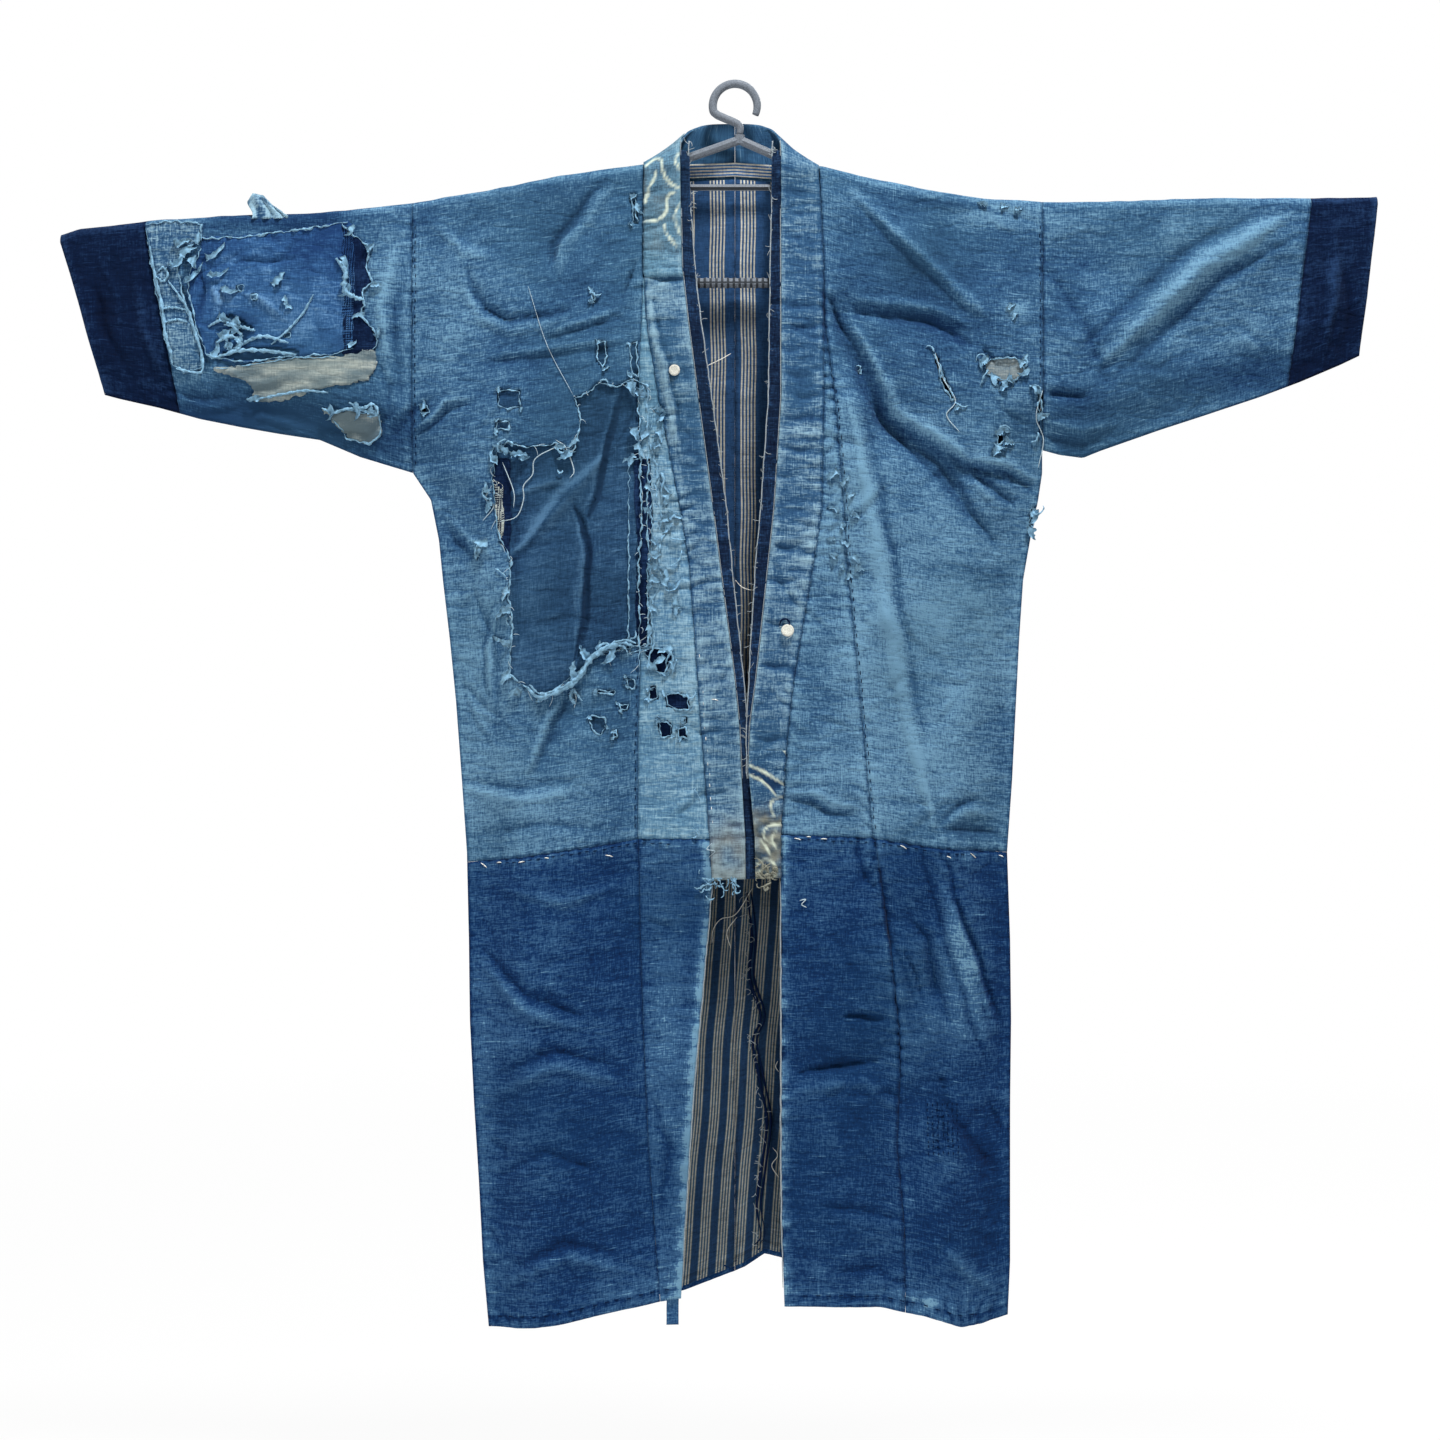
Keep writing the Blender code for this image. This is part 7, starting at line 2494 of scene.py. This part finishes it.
def hanger():
    """Hook, and the finish of the frame, arms and bar, which keep their solids."""
    plastic = finish("hanger plastic")
    stem = spline(((4.5, -46.5), (5, -41), (2.5, -36), (-10, -30.5), (-18, -27)), 8)
    angle = np.radians(np.linspace(196, -24, 48))
    bend = HOOK_BEND + HOOK_WIRE
    arc = np.stack((bend * np.cos(angle), bend * np.sin(angle) - HOOK_BEND), axis=-1)
    flat = resample(np.concatenate((stem[:-1], arc)), 80)
    path = np.stack((flat[:, 0], 0 * flat[:, 0], flat[:, 1]), axis=-1)
    hook = tubes("hanger_hook_wire", path[None], HOOK_WIRE, plastic, "grey_plastic", 20, 0.8)
    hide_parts("hanger_hook")
    for node in ("hanger_frame", "hanger_arm_right", "hanger_arm_left", "hanger_bar"):
        materials = bpy.data.objects[node].data.materials
        materials.clear()
        materials.append(plastic)


# ---- stage ---------------------------------------------------------------------------
def area_light(name, place, aim, size, power):
    """Soft square lamp at a place, turned towards an aim."""
    lamp = bpy.data.lights.new(name, "AREA")
    lamp.size = size
    lamp.energy = power
    made = bpy.data.objects.new(name, lamp)
    bpy.context.scene.collection.objects.link(made)
    toward = Vector(aim) - Vector(place)
    made.rotation_euler = toward.to_track_quat("-Z", "Y").to_euler()
    made.location = place
    return made


def stage(colours):
    """Floor, pale surroundings, soft lamps and the camera."""
    scene = bpy.context.scene
    middle = (-0.015, 0.0, -0.632)
    mesh = bpy.data.meshes.new("floor")
    half = 6.0
    low = -1.46
    mesh.from_pydata(
        [(-half, -half, low), (half, -half, low), (half, half, low), (-half, half, low)],
        [], [(0, 1, 2, 3)])
    floor = bpy.data.objects.new("floor", mesh)
    scene.collection.objects.link(floor)
    pale = bpy.data.materials.new("floor pale")
    pale.use_nodes = True
    tree = pale.node_tree
    tree.nodes.clear()
    # seen by the camera the floor fades into the white round it
    away = add_node(tree, "VectorMath", operation="LENGTH", links={
        0: add_node(tree, "TexCoord").outputs["Object"]})
    far = add_node(tree, "MapRange", links={
        "Value": away.outputs["Value"], "From Min": 0.8, "From Max": 4.5,
        "To Min": 0.90, "To Max": 1.0})
    part = add_node(tree, "Math", operation="MULTIPLY", links={
        0: add_node(tree, "LightPath").outputs["Is Camera Ray"], 1: far.outputs["Result"]})
    diffuse = add_node(tree, "BsdfDiffuse", links={"Color": (*colours.floor, 1)})
    glow = add_node(tree, "Emission", links={"Color": (1, 1, 1, 1)})
    blend = add_node(tree, "MixShader", links={
        0: part.outputs[0], 1: diffuse.outputs[0], 2: glow.outputs[0]})
    add_node(tree, "OutputMaterial", links={"Surface": blend.outputs[0]})
    mesh.materials.append(pale)
    world = bpy.data.worlds.new("studio")
    scene.world = world
    world.use_nodes = True
    tree = world.node_tree
    back = tree.nodes["Background"]
    back.inputs["Color"].default_value = (1, 1, 1, 1)
    # full white for the camera and for reflections, dimmer as light on the cloth
    ray = add_node(tree, "LightPath").outputs
    seen = add_node(tree, "Math", operation="MAXIMUM", links={
        0: ray["Is Camera Ray"], 1: ray["Is Glossy Ray"]})
    strength = add_node(tree, "Math", operation="MULTIPLY_ADD", links={
        0: seen.outputs[0], 1: 0.72, 2: 0.28})
    tree.links.new(strength.outputs[0], back.inputs["Strength"])
    area_light("key", (0.5, -1.15, 2.3), middle, 0.5, 122)
    area_light("fill", (-2.4, -1.4, -0.1), middle, 1.0, 24)
    area_light("back", (1.4, 2.4, 1.4), middle, 1.0, 60)
    camera = bpy.data.cameras.new("camera")
    camera.sensor_fit = "HORIZONTAL"
    distance, half_view = 3.0, 0.72
    camera.angle = 2 * math.atan(half_view / distance)
    view = bpy.data.objects.new("camera", camera)
    scene.collection.objects.link(view)
    view.location = (middle[0], -distance, middle[2])
    view.rotation_euler = (math.pi / 2, 0, 0)
    scene.camera = view
    scene.view_settings.view_transform = "Standard"


# ---- operators -----------------------------------------------------------------------
SIDES = ((-1, "right"), (1, "left"))


class COAT_OT_bodies(bpy.types.Operator):
    """Body lengths over the shoulders, the older cloth behind the tears, frays"""
    bl_idname = "coat.bodies"
    bl_label = "Body lengths"

    def execute(self, context):
        """Right with its tears, then left."""
        sizes = context.scene.coat_sizes
        torn_right, torn_left = torn_edges(sizes)
        stitched = seam_stitches(sizes)
        right = body_length(-1, "right", HOLES_RIGHT_BODY, sizes.tear_cell / MM, sizes)
        left = body_length(1, "left", HOLES_LEFT_BODY, sizes.front_cell / MM, sizes)
        older, gore, backing = chest_underlay(sizes)
        for piece in tear_strips(sizes):
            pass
        return {"FINISHED"}


class COAT_OT_gores(bpy.types.Operator):
    """Gores above the waist"""
    bl_idname = "coat.gores"
    bl_label = "Upper gores"

    def execute(self, context):
        """One beside each collar band."""
        sizes = context.scene.coat_sizes
        for side, word in SIDES:
            holes = HOLES_RIGHT_GORE if side < 0 else ()
            gore_upper(side, word, holes, sizes)
        return {"FINISHED"}


class COAT_OT_skirt(bpy.types.Operator):
    """Fronts, gores and backs below the waist"""
    bl_idname = "coat.skirt"
    bl_label = "Skirt"

    def execute(self, context):
        """Three panels on each side and the torn tab."""
        sizes = context.scene.coat_sizes
        for side, word in SIDES:
            made = lower_panels(side, word, sizes)
        hem_tab(sizes)
        return {"FINISHED"}


class COAT_OT_collar(bpy.types.Operator):
    """Collar bands with their printed patches, facings and buttons"""
    bl_idname = "coat.collar"
    bl_label = "Collar"

    def execute(self, context):
        """Right band first."""
        sizes = context.scene.coat_sizes
        shells = buttons(sizes)
        threads = inside_threads(sizes)
        ends = collar_ends(sizes)
        for side, word in SIDES:
            band, patch, facing = collar_side(side, word, sizes)
        return {"FINISHED"}


class COAT_OT_sleeves(bpy.types.Operator):
    """Sleeves and cuffs, with the patches on the right sleeve"""
    bl_idname = "coat.sleeves"
    bl_label = "Sleeves"

    def execute(self, context):
        """Tubes first, then the patches."""
        sizes = context.scene.coat_sizes
        frayed = sleeve_tears(sizes)
        for side, word in SIDES:
            sleeve, cuff = sleeve_side(side, word, sizes)
        names = ("patch_blue", "patch_navy", "patch_beige", "patch_small", "torn_strip", "flap")
        for piece, name in zip(sleeve_patches(sizes), names):
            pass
        return {"FINISHED"}


class COAT_OT_lining(bpy.types.Operator):
    """Striped lining and the strip across the neck"""
    bl_idname = "coat.lining"
    bl_label = "Lining"

    def execute(self, context):
        """Two halves and the strip."""
        sizes = context.scene.coat_sizes
        for side, word in SIDES:
            lining_side(side, word, sizes)
        neck_strip(sizes)
        return {"FINISHED"}


class COAT_OT_hanger(bpy.types.Operator):
    """Hook, frame and ribbed bar of the hanger"""
    bl_idname = "coat.hanger"
    bl_label = "Hanger"

    def execute(self, context):
        """The hook is new, the rest keeps its solid."""
        hanger()
        return {"FINISHED"}


class COAT_OT_stage(bpy.types.Operator):
    """Floor, surroundings, lamps and camera"""
    bl_idname = "coat.stage"
    bl_label = "Stage"

    def execute(self, context):
        """Build the stage."""
        stage(context.scene.coat_colours)
        return {"FINISHED"}


OPERATORS = (
    COAT_OT_bodies, COAT_OT_gores, COAT_OT_skirt, COAT_OT_collar, COAT_OT_sleeves,
    COAT_OT_lining, COAT_OT_hanger, COAT_OT_stage,
)


class VIEW3D_PT_coat(bpy.types.Panel):
    """Sizes, colours and the operators in the sidebar"""
    bl_idname = "VIEW3D_PT_coat"
    bl_label = "Boro coat"
    bl_space_type = "VIEW_3D"
    bl_region_type = "UI"
    bl_category = "Coat"

    def draw(self, context):
        """List the settings, then one button for each operator."""
        for group in (context.scene.coat_sizes, context.scene.coat_colours):
            column = self.layout.column(align=True)
            for name in group.__annotations__:
                column.prop(group, name)
        for operator in OPERATORS:
            self.layout.operator(operator.bl_idname)


CLASSES = (CoatSizes, CoatColours, *OPERATORS, VIEW3D_PT_coat)


def register():
    """Register the classes and the settings."""
    for made in CLASSES:
        bpy.utils.register_class(made)
    bpy.types.Scene.coat_sizes = PointerProperty(type=CoatSizes)
    bpy.types.Scene.coat_colours = PointerProperty(type=CoatColours)


def unregister():
    """Take the settings and classes away again."""
    del bpy.types.Scene.coat_colours
    del bpy.types.Scene.coat_sizes
    for made in reversed(CLASSES):
        bpy.utils.unregister_class(made)


def main():
    """Build every piece in order."""
    register()
    for operator in OPERATORS:
        group, name = operator.bl_idname.split(".")
        getattr(getattr(bpy.ops, group), name)()


if __name__ == "__main__":
    main()
